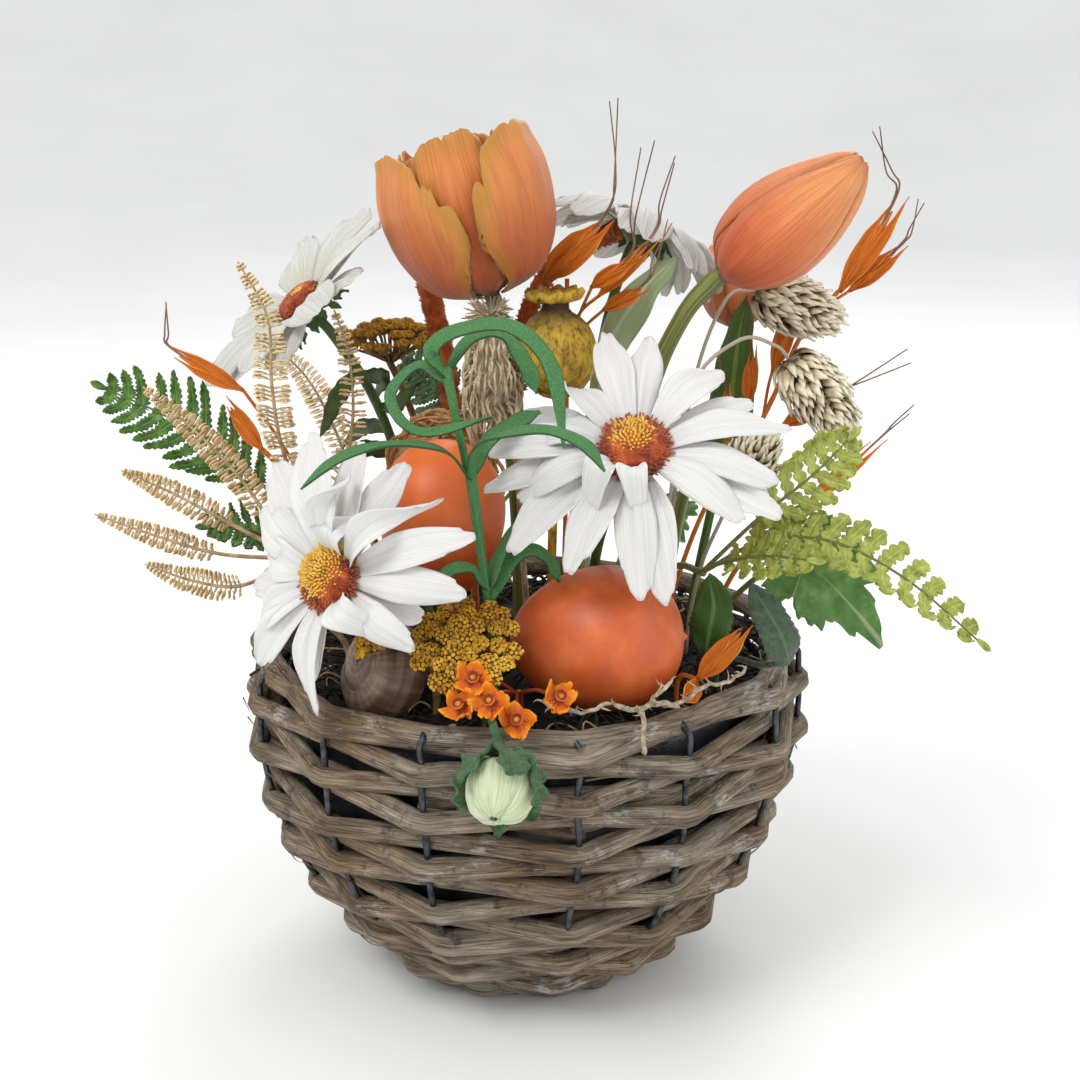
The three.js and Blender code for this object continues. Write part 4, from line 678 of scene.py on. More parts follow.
# %% The dry foam keeps the solid model's shape
foam = Finish("dry_foam", 0.95)
cells = foam.grains(foam.place, 900)
foam.paint(foam.ramp(cells, (0, 58, 70, 42), (0.5, 92, 106, 70)), cells, 0.0006)
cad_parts["foam_block"].material_slots[0].material = foam.material

# %% The moss mound
MOUND = [(0, 98.4), (40, 98.4), (77, 98.4), (79.5, 101), (80, 105), (76, 108.5), (68, 111)]
MOUND += [(56, 113.4), (44, 115), (32, 116.2), (20, 117), (8, 117.6), (0, 117.8)]
FIBRES = 860
moss = Piece("moss_mat")
moss.add(turned(MOUND, 72, lambda co: co + UP * 0.0016 * noise.noise(co * 120) * (co.z > 0.1)))
for k in range(FIBRES):
    radius = 80 * math.sqrt(dice.random()) if k % 3 else dice.uniform(62, 84)
    surface = 118 - 8 * min(1, radius / 78) ** 2
    start = around(dice.uniform(0, 360), radius, surface + 0.4)
    heading = Vector((math.cos(k), math.sin(k), 0)) / 1000
    curl = Vector((-heading.y, heading.x, 0))
    long, bow = dice.uniform(5, 13), dice.uniform(-6, 6)
    rise = dice.uniform(0.5, 4.5)
    path = []
    for s in (0, 0.25, 0.5, 0.75, 1):
        hop = UP * rise * math.sin(math.pi * s) / 1000
        path.append(start + heading * long * s + curl * bow * math.sin(3.4 * s) + hop)
    straw_one = 1 if k % 7 == 0 else 0
    fibre = stalk(smooth(path, 9), dice.uniform(0.25, 0.5) / 1000, 4, seed=dice.random() * 20)
    moss.add(fibre, straw_one)
dark_moss = cloudy(
    "dark_moss", 0.95, (420, 5, 0.7), (0.3, 14, 11, 8), (0.55, 36, 29, 21), (0.75, 70, 57, 42), depth=0.002
)
straw_bits = cloudy("straw_bits", 0.85, (200,), (0.3, 120, 98, 70), (0.7, 176, 152, 116))
moss.finish([dark_moss, straw_bits], "moss", "moss_fill")

# %% [markdown]
# ## Silk daisies
# A silk daisy is cut from white cloth, and a hot die presses creases into each petal. The ends
# are blunt, with a notch or two. The two front flowers face the viewer, so each of their petals
# is listed one by one: they droop, roll and twist. The two back ones are two rings of even petals.
# In the flower's own frame, X and Y run across the flower and Z runs out of its face. The
# petals start under the disc.


# %% One pressed petal
def petal_shape(
    turn, reach, half, lift, drop, dice, root=9.0, level=0.0, roll=0.0, notch=0.05, cup=-0.9, curl=0.0
):
    """A place(u, v) function, in millimetres in the flower's own frame."""
    phase = dice.uniform(0, 9)
    side = dice.uniform(-0.06, 0.06)
    sway = dice.uniform(-2.2, 2.2)
    cosine, sine = math.cos(turn), math.sin(turn)

    def place(u, v):
        notches = notch * 0.8 * (0.5 + 0.5 * math.cos(8.5 * u + phase)) * abs(u + 0.3)
        blunt = 1 - 0.13 * abs(u + side) ** 2.2 - notches
        along = root + (reach * blunt - root) * v
        widen = 0.34 + 0.66 * min(1, v / 0.55) ** 0.8 - 0.3 * (max(0, v - 0.66) / 0.34) ** 2.2
        across = half * u * widen
        t = (along - root) / (reach - root)
        height = level + lift * math.sin(math.pi * min(1, 1.1 * t)) - drop * t * t
        height += 0.34 * math.cos(9.4 * u + 0.6 * phase) * min(1, 3 * v) + cup * u * u * widen
        height += 0.5 * noise.noise((3 * u, 4 * v, phase)) * v
        height += curl * max(0, v - 0.45) ** 2
        angle = roll * v * v
        bend = math.sin(angle) * across
        across = math.cos(angle) * across + sway * t * t
        return mm(along * cosine - across * sine, along * sine + across * cosine, height + bend)

    return place


def flower_frame(centre, facing):
    """A matrix that stands a flower's own frame on its centre, facing a direction."""
    out = Vector(facing).normalized()
    across = UP.cross(out).normalized()
    return Matrix.Translation(centre) @ Matrix((across, out.cross(across), out)).transposed().to_4x4()


# %% [markdown]
# Silk cloth is white, with a faint cool shade painted into its pressed folds and a pale greenish
# shade painted near the root. A fine diagonal weave runs over it, and lengthwise veins are pressed
# in. Light passes through a little. The back flowers are of thinner silk, with grey shade painted
# between its ridges, and yellowish at the root.

# %% White silk
# Light spreads alike in every colour, so that thin petals stay white.
EVEN_SPREAD = (1, 1, 1)
silk = Finish(
    "white_silk",
    0.72,
    sheen_weight=0.25,
    subsurface_weight=0.25,
    subsurface_scale=0.004,
    subsurface_radius=EVEN_SPREAD,
)
veins = silk.cloud(silk.stretched(silk.flow, 9, 0.5, 1), 3, 3)
weave = {0: silk.place, "Scale": 900, "Distortion": 1.5}
threads = silk.node("ShaderNodeTexWave", {"bands_direction": "DIAGONAL"}, weave)
# Painted shade: the vein noise that lifts the surface also paints its pressed grooves darker.
white = silk.ramp(veins, (0.25, 206, 205, 203), (0.6, 230, 229, 226))
# Painted shade: a pale greenish white near the root, where the disc shades the petal.
from_root = silk.between(silk.split(silk.flow, 1), 0, 0.14)
white_with_root_shade = silk.blend(from_root, tint(218, 222, 196), white)
silk.paint(white_with_root_shade, veins * 0.45 + threads * 0.12, 0.0008, 0.5)

# %% Sheer silk for the back daisies
sheer = Finish(
    "sheer_silk",
    0.6,
    sheen_weight=0.2,
    subsurface_weight=0.35,
    subsurface_scale=0.006,
    subsurface_radius=EVEN_SPREAD,
)
ridges = sheer.cloud(sheer.stretched(sheer.flow, 7, 0.35, 1), 2.6, 3)
# Painted shade: the ridge noise that lifts the surface also paints the hollows between ridges grey.
pale = sheer.ramp(ridges, (0.3, 186, 188, 184), (0.5, 214, 214, 204), (0.68, 230, 230, 226))
near_root = sheer.between(sheer.split(sheer.flow, 1), 0.5, 0.0)
sheer.paint(sheer.blend(near_root * 0.55, pale, tint(216, 212, 160)), ridges, 0.0018, 0.7)

# %% [markdown]
# The disc is a dome of several hundred stiff threads, set in the spiral of a real daisy head.
# Those at the rim are rust brown and stand out, and those on the crown are short and yellow.
# The third value of "flow" tells the finish which thread is which.

# %% Rust and yellow threads
RUST_THREAD = 1.0
YELLOW_THREAD = 10.0
disc_dye = Finish("disc_threads", 0.85, sheen_weight=0.3)
rust_mottle = disc_dye.cloud(disc_dye.place, 260, 3)
rust = disc_dye.ramp(rust_mottle, (0.3, 112, 40, 12), (0.55, 172, 72, 22), (0.75, 214, 118, 46))
yellow_mottle = disc_dye.cloud(disc_dye.place, 300, 2)
yellow = disc_dye.ramp(yellow_mottle, (0.3, 206, 156, 28), (0.7, 238, 204, 70))
is_yellow = disc_dye.between(disc_dye.split(disc_dye.flow, 2), 8, 9)
disc_dye.paint(disc_dye.blend(is_yellow, rust, yellow))

# %% A dome of threads
THREADS = 430
GOLDEN_TURN = 2.39996
# Each row of the dome: radius as a share, and height.
DOME = [(0, -0.6), (0.72, -0.4), (0.96, 1.4), (0.9, 4), (0.62, 6.6), (0, 7.6)]


def disc(name, spot, radius, crown, lean, tall):
    """crown is the radius of the yellow part as a share, and lean moves it across the disc."""
    dome = Piece(f"disc_{name}")
    dome.add(turned([(r * radius, z * tall) for r, z in DOME], 28, seed=-1), at=spot)
    dice = random.Random(len(dome.name))
    for k in range(THREADS):
        share = math.sqrt((k + 0.5) / THREADS)
        turn = k * GOLDEN_TURN
        tilt = 1.45 * share
        out = Vector((math.cos(turn) * math.sin(tilt), math.sin(turn) * math.sin(tilt), math.cos(tilt)))
        foot = Vector((out.x * radius * 0.86, out.y * radius * 0.86, tall * (0.4 + 6.6 * out.z))) / 1000
        long = (1.3 + 2.1 * share**3) * tall * dice.uniform(0.8, 1.2) / 1000
        bow = Vector((dice.uniform(-1, 1), dice.uniform(-1, 1), 0.4)) * 0.0006
        path = [foot, foot + out * long * 0.5, foot + out * long + bow * (0.4 + share)]
        off_crown = (out.x - lean[0]) ** 2 + (out.y - lean[1]) ** 2
        kind = YELLOW_THREAD if off_crown < crown**2 * dice.uniform(0.7, 1.3) else RUST_THREAD
        dome.add(stalk([spot @ p for p in path], lambda t: 0.00052 * (1 - 0.45 * t), 5, seed=kind))
    dome.finish([disc_dye.material], "daisy_disc", f"daisy_{name}_disc")


# %% The four daisies
# Each row: centre, facing, the disc's radius, its yellow crown and how far the crown leans.
DAISIES = {
    "front_right": (mm(33.5, -66, 198), (-0.13, -0.66, 0.74), 10.7, 0.64, (-0.02, 0.24)),
    "front_left": (mm(-57.5, -75, 161), (-0.5, -0.8, 0.34), 9.2, 0.9, (-0.22, 0.24)),
    "back_left": (mm(-74, -5, 234), (-0.66, -0.2, 0.72), 8.2, 0.3, (0.2, 0.3)),
    "back_right": (mm(40, 22, 257), (0.42, 0.25, 0.87), 8.2, 0.3, (0, 0)),
}
# Each ring of the back flowers: count, offset, reach, half width, lift, droop, extra droop
# below and level.
RINGS = {
    "back_left": [(7, 0.1, 41, 10.4, 3.4, -4, 2, 0.4), (6, 0.5, 38, 9, 2, -1, 2, -1.6)],
    "back_right": [(8, 0.3, 34, 7.6, 2.5, 9, 2, 0.4), (7, 0.7, 33, 7, 2, 10, 2, -1.4)],
}
# Each front petal: turn in degrees, reach, half width, lift, drop, level, roll, cup and curl.
PETALS = {
    "front_right": [
        (109, 50, 5.8, 2.5, 1, 0.8, 0.2, 1.6, -8),
        (91, 46, 6.2, 3, 0, 0.2, -0.2, -1.8, -6),
        (54, 40, 6, 5, -2, 0.5, 0.3, 2.2, -10),
        (18, 48, 5.8, 4, 0, 0.6, -0.3, 1.8, -10),
        (-4, 44, 5.6, 3.4, 1, 0.2, 0.2, -2, -12),
        (-16, 47, 6.2, 1, 9, -2.4, 0.2, 1.5, 0),
        (-26, 39, 6.6, 4.2, 5, 1, -0.2, -2.2, -8),
        (-70, 43, 6.4, 2, 18, -2.2, 0.35, 2, 0),
        (-84, 42, 6.4, 3, 18, 0.5, -0.2, -1.8, 0),
        (-113, 40, 6.8, 3, 14, 0.2, 0.3, 1.8, 0),
        (-142, 47, 6.6, 2.4, 12, -1.6, -0.2, 2.2, -6),
        (-160, 38, 6.6, 4.4, 4, 0.8, 0.2, -2, -10),
        (-169, 48, 6, 1.4, 8, -2.4, 0.2, 1.6, 0),
        (179, 47, 5.6, 2.6, 2, 0.2, -0.4, 1.6, -8),
        (168, 33, 6, 6, 0, 1.6, 0.3, -2.2, -14),
        (136, 39, 5.4, 5, 1, -0.6, 1.3, 2.6, -6),
        (156, 43, 6, 1, 4, -2.6, -0.2, 1.4, 0),
        (36, 42, 5.4, 1, 4, -2.6, 0.2, 1.4, 0),
        (-122, 26, 5.4, 8, 2, 2, 0.5, 3.4, -26),
        (-82, 23, 4.6, 8.5, 1, 2.2, -0.8, 3.4, -30),
    ],
    "front_left": [
        (136, 46, 8, 1, 1, -2.4, 0.2, 1.6, 0),
        (113, 47, 8.4, 3, -1, 0, -0.2, 2.2, -6),
        (76, 22, 6.8, 8, -2, 2.6, -0.3, 3, -34),
        (155, 38, 7.8, 3, 0, 0.6, 0.2, -2, -8),
        (174, 31, 6.4, 3, 2, 0.4, -0.2, 1.8, -8),
        (-168, 36, 6, 1, 4, -2.4, 0.2, 1.4, 0),
        (-149, 36, 5.8, 3, 5, 0.6, 0.3, 2, -8),
        (-131, 43, 5.6, 2.4, 7, 0.2, -0.4, 2.2, -6),
        (-107, 34, 5.8, 1, 9, -2.4, 0.2, 1.4, 0),
        (-98, 43, 5.2, 3, 9, 0.4, 0.5, 2.4, -4),
        (-40, 24, 5.6, 7, 1, 2.2, -0.4, 3, -22),
        (-30, 34, 6, 3.6, 3, 0.2, 0.3, -2, -10),
        (-14, 30, 6.8, 1, 6, -2.2, 0.2, 1.4, 0),
        (6, 46, 5.8, 3.4, 1, 0.6, 0.2, -2, -10),
        (26, 50, 5.6, 3, 0, 0.2, -0.2, 1.8, -10),
        (40, 43, 4.6, 11, 0, 1.2, 1.7, 3, -16),
        (84, 32, 4.8, 9, -5, 2, 2.4, 3.6, -12),
        (92, 43, 5.8, 1, 2, -2, -0.2, 1.4, 0),
        (70, 41, 6.2, 0.6, 4, -3, 0.2, 1.4, 0),
    ],
}


def ring_petals(name, dice):
    """The petals of a back flower, each with small differences."""
    for count, offset, reach, half, lift, droop, low, level in RINGS.get(name, []):
        for k in range(count):
            turn = math.tau * (k + offset) / count + dice.uniform(-0.06, 0.06)
            long = reach * dice.uniform(0.94, 1.04)
            drop = droop + low * max(0, -math.sin(turn)) + dice.uniform(-2, 2)
            roll = dice.uniform(-0.5, 0.5)
            wide = half * dice.uniform(0.95, 1.1)
            yield petal_shape(turn, long, wide, lift, drop, dice, level=level + 0.5 * (k % 2), roll=roll)


def placed_petals(name, dice):
    for turn, *sizes, level, roll, cup, curl in PETALS.get(name, []):
        yield petal_shape(math.radians(turn), *sizes, dice, 7.5, level, roll, 0.06, cup, curl)


for name, (centre, facing, radius, crown, lean) in DAISIES.items():
    in_front = name in PETALS
    spot = flower_frame(centre, facing)
    flower = Piece(f"daisy_{name}")
    dice = random.Random(len(name) * 7)
    for shape in placed_petals(name, dice) if in_front else ring_petals(name, dice):
        flower.add(leaf(shape, 14, 24, 0.00045, seed=dice.random() * 30), at=spot)
    cloth = silk if in_front else sheer
    flower.finish([cloth.material], "silk_white", f"daisy_{name}_petals")
    disc(name, spot, radius, crown, lean, 1 if in_front else 0.55)

# %% [markdown]
# ## Stems and calyxes
# Each daisy sits in a green cup on a wired plastic stem. The two back ones show ragged sepals,
# and the left one has a few thin leaves. Stems of tulips are thicker and olive, with a soft
# gloss.

# %% Green plastic
calyx = Finish("calyx_green", 0.55)
calyx_tone = calyx.ramp(calyx.cloud(calyx.place, 120, 4), (0.3, 44, 68, 30), (0.7, 84, 112, 52))
calyx.paint(calyx_tone, calyx.cloud(calyx.place, 600), 0.0003)
OLIVE_TONES = (0.3, 84, 86, 38), (0.55, 116, 122, 58), (0.75, 150, 152, 84)
olive = cloudy("olive_stem", 0.48, (2, 3), *OLIVE_TONES, stretch=(2, 2, 0.12), depth=0.0006)

# %% A stem out of the filling
MOSS_FLOOR = 99.8
FOAM_FOOT = 78
STRAIGHT_UP_TO = 121


def stem(entry, route, radius, count=24, sides=8, foot=MOSS_FLOOR, seed=0.0):
    """A stem from its foot in the filling, straight up, and then through its route."""
    points = [(*entry, foot), (*entry, STRAIGHT_UP_TO), *route]
    return stalk(through(points, count), radius, sides, seed=seed)


# %% Daisy stems
CALYX_CUP = [(0, -6.4), (2.6, -6), (5.4, -4), (8, -0.6), (8.4, 0), (0, 0)]
# Each row: where the stem enters, its route, the level of the cup and the count of sepals.
STEMS = {
    "front_right": ((22, -14), [(22, -14, 135), (26, -28, 165)], -3.6, 0),
    "front_left": ((-27, -44), [(-30, -48, 140), (-38, -54, 151)], -3.6, 0),
    "back_left": ((-34, 22), [(-38, 20, 150), (-50, 10, 195)], -1.3, 15),
    "back_right": ((16, 14), [(17, 15, 150), (26, 17, 215)], -1.3, 15),
}
# The leaves on the back left stem: midrib and half width.
LEAVES = [
    ([(-57, 5, 210), (-63, -4, 202), (-68, -10, 190)], 2.9),
    ([(-50, 10, 196), (-43, 3, 199), (-37, 0, 206)], 2.7),
    ([(-45, 16, 178), (-56, 8, 182), (-64, 2, 176)], 2.9),
    ([(-48, 14, 188), (-58, 24, 186), (-66, 36, 176)], 2.9),
    ([(-56, 6, 208), (-50, 22, 204), (-54, 36, 194)], 2.9),
]


def sepal_width(t):
    return 0.0021 * math.sin(math.pi * (0.15 + 0.84 * t)) * (1 + 0.25 * math.sin(26 * t))


def ragged_width(half):
    """The half width of a thin leaf whose edge runs in and out."""
    swell = lambda t: math.sin(math.pi * min(1, 0.1 + 0.9 * t))
    return lambda t: half / 1000 * swell(t) * (1 + 0.12 * math.sin(30 * t))


for name, (entry, route, seat, sepals) in STEMS.items():
    centre, facing = DAISIES[name][:2]
    out = Vector(facing).normalized()
    spot = flower_frame(centre, out)
    plant = Piece(f"stem_{name}")
    neck = [centre * 1000 - out * 16, centre * 1000 + out * (seat - 2)]
    plant.add(stem(entry, route + neck, 0.0017, 40, 10, FOAM_FOOT))
    plant.add(turned([(r, seat + z) for r, z in CALYX_CUP], 20), at=spot)
    dice = random.Random(3)
    for k in range(sepals):
        turn = math.tau * (k + 0.5) / sepals
        ray = Vector((math.cos(turn), math.sin(turn), 0))
        drop = dice.uniform(5, 9)
        bends = ((6, -0.5), (10, -drop * 0.35), (12 + 2 * (k % 2), -drop))
        rib = smooth([spot @ ((ray * r + UP * (seat + z)) / 1000) for r, z in bends], 8)
        plant.add(leaf(on_rib(rib, sepal_width, out, 0.3, 0.0004, 2, seed=k), 4, 9, 0.0006, k))
    for k, (points, half) in enumerate(LEAVES if name == "back_left" else []):
        blade = on_rib(through(points, 10), ragged_width(half), VIEWER, 0.25, 0.0006, 2, seed=k)
        plant.add(leaf(blade, 4, 14, 0.0006, k))
    plant.finish([calyx.material], "calyx_green", f"daisy_{name}_stem")

# %% [markdown]
# ## Silk tulips
# A tulip petal is a deep, cupped piece of coated cloth with fine veins that fan out from its
# foot. The open tulip has three outer petals with torn, lobed tips over five inner ones, and
# its cup is open at the top. A petal is placed on the cup's own outline, by its turn about the
# axis and by how far it stands out. Simple petals also have the shares of the height at which
# they start and end, and torn ones have a table of their tip.

# %% Petals on the outline of a cup
OUTLINE_STEPS = 60


def outline_curve(outline, radius, height):
    return smooth([Vector((r * radius, 0, z * height)) for r, z in outline], OUTLINE_STEPS)


def outline_point(curve, share):
    last = OUTLINE_STEPS - 1
    return curve[min(last, max(0, round(share * last)))]


def cup_petal(curve, turn, layer, low, top, half, lobes, flare=0.0, seed=0.0):
    """A place(u, v) function, in millimetres, for a petal that wraps the cup."""

    def place(u, v):
        ragged = lobes * (math.cos(7 * u + seed) * 0.5 + 0.7 * noise.noise((2.6 * u, seed, 0))) * v**5
        share = low + v * (top - low)
        point = outline_point(curve, share)
        over = max(0, share - 1) * curve[-1].z
        spread = half * (0.35 + 0.65 * min(1, v / 0.35) ** 0.7) * (1 - 0.2 * max(0, v - 0.62) / 0.38)
        angle = turn + u * spread
        crease = 0.4 * math.cos(13 * u + seed) * (0.3 + 0.7 * v)
        crease += 0.9 * noise.noise((2 * u, 2.4 * v, seed))
        room = min(1, point.x / 9)
        radius = max(0.4, point.x + (layer - 1.3 * u * u + crease) * room + flare * v**4)
        lift = ragged - 3.2 * u**4 * v**3
        return mm(radius * math.cos(angle), radius * math.sin(angle), point.z + over + lift)

    return place


def torn_petal(curve, turn, half, layer, tips, flare=0.0, seed=0.0):
    """tips lists (u, share of the cup's height), so each petal gets its own lobes and teeth."""

    def place(u, v):
        share = 0.01 + v * (read_off(tips, u) + 0.012 * noise.noise((24 * u, seed, 0)) - 0.01)
        point = outline_point(curve, share)
        over = max(0, share - 1) * curve[-1].z
        spread = half * (0.3 + 0.7 * min(1, share / 0.42) ** 0.7)
        angle = math.radians(turn) + u * spread
        crease = 0.35 * math.cos(15 * u + seed) * (0.3 + 0.7 * share)
        crease += 1.1 * noise.noise((2 * u, 2.4 * share, seed))
        room = min(1, point.x / 9)
        edge = min(1, (1 - abs(u)) * 9) * min(1, (1 - v) * 9)
        out = (layer - 1.1 * u * u + crease + 0.5 * edge) * room
        radius = max(0.4, point.x + out + flare * share**4 - over * 0.12)
        return mm(radius * math.cos(angle), radius * math.sin(angle), point.z + over)

    return place


# %% The tulips' petals
OPEN_CUP = [(0.12, 0), (0.62, 0.12), (0.9, 0.36), (1, 0.6), (0.98, 0.8), (0.88, 1)]
LEFT_TIPS = [(-1, 0.6), (-0.7, 0.9), (-0.3, 1.04), (0, 1.1), (0.17, 1.12), (0.35, 1.08), (0.54, 1)]
LEFT_TIPS += [(0.6, 0.89), (0.64, 0.86), (0.68, 0.88), (0.72, 0.83), (0.76, 0.85), (0.78, 0.72)]
LEFT_TIPS += [(0.84, 0.71), (0.9, 0.7), (0.95, 0.64), (0.98, 0.5), (1, 0.25)]
RIGHT_TIPS = [(-1, 0.5), (-0.97, 0.72), (-0.92, 0.8), (-0.86, 0.8), (-0.82, 0.76), (-0.79, 0.93)]
RIGHT_TIPS += [(-0.72, 1.02), (-0.6, 1.07), (-0.36, 1.13), (-0.3, 1.1), (-0.24, 1.13), (0, 1.1)]
RIGHT_TIPS += [(0.3, 1.06), (0.5, 0.98), (0.8, 0.9), (1, 0.6)]
FRONT_TIPS = [(-1, 0.7), (-0.8, 1.02), (-0.45, 1.13), (-0.1, 1.15), (0, 1.12), (0.12, 1.15)]
FRONT_TIPS += [(0.5, 1.16), (0.8, 1.08), (1, 0.7)]
RAGGED_TIPS = [(-1, 0.6), (-0.8, 0.98), (-0.66, 1.07), (-0.58, 1), (-0.3, 1.03), (-0.1, 1.1)]
RAGGED_TIPS += [(0, 1.03), (0.3, 1.06), (0.42, 1), (0.6, 1.02), (0.8, 0.9), (1, 0.5)]
ROUND_TIPS = [(-1, 0.6), (-0.8, 0.95), (-0.3, 1.07), (0.1, 1.1), (0.5, 1.06), (0.64, 0.97)]
ROUND_TIPS += [(0.8, 0.96), (1, 0.5)]
# Each torn petal: turn in degrees, half spread in radians, layer, tips and flare.
OPEN_PETALS = [
    (-148, 0.9, -5.6, RAGGED_TIPS, 0.4),
    (152, 0.95, -5, RAGGED_TIPS, 0.8),
    (76, 0.9, -4.6, ROUND_TIPS, 0.8),
    (-20, 0.85, -5.2, ROUND_TIPS, 0.6),
    (-93, 0.76, -2.9, FRONT_TIPS, -0.4),
    (98, 1.1, 1.2, RAGGED_TIPS, 0.4),
    (-156, 1.13, 0.9, LEFT_TIPS, 0.6),
    (-15, 1.2, 1.7, RIGHT_TIPS, 0.2),
]
BUD_CUP = [(0.3, 0.01), (0.78, 0.12), (1, 0.34), (0.93, 0.56), (0.68, 0.76), (0.4, 0.9), (0.1, 0.985)]
# Each simple petal: turn in radians, layer, low and top share, half spread, lobes and flare.
BUD_PETALS = [
    (0.9, -2.4, 0.02, 0.99, 1.1, 0.3, 0),
    (3.0, -2.4, 0.02, 0.99, 1.1, 0.3, 0),
    (5.1, -2.2, 0.02, 1.0, 1.1, 0.3, 0),
    (1.9, -0.6, 0.0, 0.97, 1.12, 0.5, 0),
    (4.1, 0.0, 0.0, 0.98, 1.12, 0.5, 0),
    (6.1, 0.5, 0.0, 0.95, 1.0, 0.6, 0.3),
]
SMALL_CUP = [(0.2, 0), (0.7, 0.14), (1, 0.45), (0.95, 0.75), (0.72, 1)]
SMALL_PETALS = [(0.1 + 2.1 * k, -1.6, 0.02, 1.05, 1.0, 1.2, 0.2) for k in range(3)]
SMALL_PETALS += [(1.1 + 2.1 * k, 0.2, 0.01, 1.0, 1.05, 1.4, 0.3) for k in range(3)]

# %% [markdown]
# The open tulip is pale orange. Its petals turn to a darker pink-orange at the foot, and their
# edges are olive yellow. The bud is coral with red streaks along the veins.


# %% Tulip cloth
def tulip_cloth(name, foot, body, light, edge, streak):
    cloth = Finish(name, 0.5, subsurface_weight=0.2, subsurface_scale=0.004, sheen_weight=0.15)
    across = cloth.split(cloth.flow, 0)
    along = cloth.split(cloth.flow, 1)
    fan = cloth.cloud(cloth.stretched(cloth.flow, 7, 0.7, 0.6), 3.4, 5, 0.6)
    blotch = cloth.cloud(cloth.stretched(cloth.flow, 1.2, 1.6, 1), 1.6, 3)
    base = cloth.ramp(along + (blotch - 0.5) * 0.5, (0.05, *foot), (0.42, *body), (0.85, *light))
    veined = cloth.blend(cloth.between(fan, 0.45, 0.72) * 0.55, base, tint(*streak))
    near_edge = (across * across) ** 2 + cloth.between(along, 0.74, 1.0) * 0.8 + (fan - 0.5) * 0.7
    rim = cloth.between(near_edge, 0.3, 1.0)
    return cloth.paint(cloth.blend(rim * 0.85, veined, tint(*edge)), fan, 0.0012)


orange_cloth = tulip_cloth(
    "tulip_orange", (150, 66, 28), (190, 98, 42), (212, 132, 58), (172, 124, 34), (170, 70, 34)
)
coral_cloth = tulip_cloth(
    "tulip_coral", (180, 74, 30), (216, 116, 58), (236, 158, 92), (196, 104, 50), (168, 48, 24)
)

# %% The three tulips
HEART = [(0, 0), (2.6, 0.2), (3.4, 1.6), (2, 3), (0, 3.4)]
# Each row: the petals' kind, their rows, the cup with its radius and height, the columns of a
# petal, where the flower stands, its direction and roll, its cloth and its slot.
TULIPS = {
    "tulip_open": (
        torn_petal, OPEN_PETALS, (OPEN_CUP, 26, 46.6), 72,
        mm(-11, -5, 237), (-0.26, 0, 0.966), 0, orange_cloth, "tulip_orange",
    ),
    "tulip_bud": (
        cup_petal, BUD_PETALS, (BUD_CUP, 16, 58), 28,
        mm(64.5, -10, 244.5), (41, -15, 37.5), 0.6, coral_cloth, "tulip_coral",
    ),
    "tulip_small": (
        cup_petal, SMALL_PETALS, (SMALL_CUP, 12.5, 27), 28,
        mm(74, 32, 221), (0.02, 0.1, 1), 0, coral_cloth, "tulip_coral",
    ),
}
for name, (kind, rows, outline, columns, place, direction, roll, cloth, slot) in TULIPS.items():
    flower = Piece(name)
    curve = outline_curve(*outline)
    spot = stood(place, direction, roll)
    for k, row in enumerate(rows):
        flower.add(leaf(kind(curve, *row, 2.3 * k), columns, 34, 0.0008, 5.0 * k), at=spot)
    flower.add(turned(HEART, 16), at=spot)
    flower.finish([cloth], slot, f"{name}_petals")

# %% Tulip stems
BUD_ROUTE = [(36, 0, 165), (42, -3, 205), (52, -7, 230), (60.9, -8.7, 241.2), (64.4, -10, 244.6)]
TULIP_STEMS = {
    "tulip_open": ((-2, 4), [(-3, 4, 165), (-7, 1, 205), (-9.7, -5, 232.2), (-10.9, -5, 236.8)], 0.00265),
    "tulip_bud": ((34, 0), BUD_ROUTE, 0.003),
    "tulip_small": ((52, 36), [(58, 38, 160), (70, 36, 200), (73.9, 31.5, 216), (74, 32, 221)], 0.0022),
}


def uneven(radius):
    """A stem's girth, which swells a little along its length and flares at its top."""
    return lambda t: radius * (1 + 0.05 * math.sin(17 * t) + (0.18 if t > 0.97 else 0))


for name, (entry, route, radius) in TULIP_STEMS.items():
    plant = Piece(f"{name}_stalk")
    plant.add(stem(entry, route, uneven(radius), 60, 14, FOAM_FOOT, seed=3))
    plant.finish([olive], "stem_green", f"{name}_stem")

# %% [markdown]
# ## Long leaves
# The tulips' leaves are cupped blades with lengthwise veins. One is deep green and stands
# behind the right daisy, and one is pale and blue-green.


# %% Blade leaves
def widths(table):
    """A half width, in metres, from a table of (share along, half width in millimetres)."""
    return lambda t: read_off(table, t) / 1000


def leaf_cloth(name, dark, light, vein):
    green = Finish(name, 0.52, subsurface_weight=0.08, subsurface_scale=0.003)
    across = green.split(green.flow, 0)
    lines = green.cloud(green.stretched(green.flow, 10, 0.6, 1), 3, 4)
    tone = green.ramp(lines, (0.3, *dark), (0.7, *light))
    middle = green.between(across * across, 0.0, 0.02)
    return green.paint(green.blend(middle, tint(*vein), tone), lines + middle * 0.3, 0.0008)


dark_leaf = leaf_cloth("leaf_dark", (36, 66, 12), (86, 124, 34), (110, 144, 60))
pale_leaf = leaf_cloth("leaf_pale", (140, 170, 116), (190, 214, 168), (206, 222, 186))
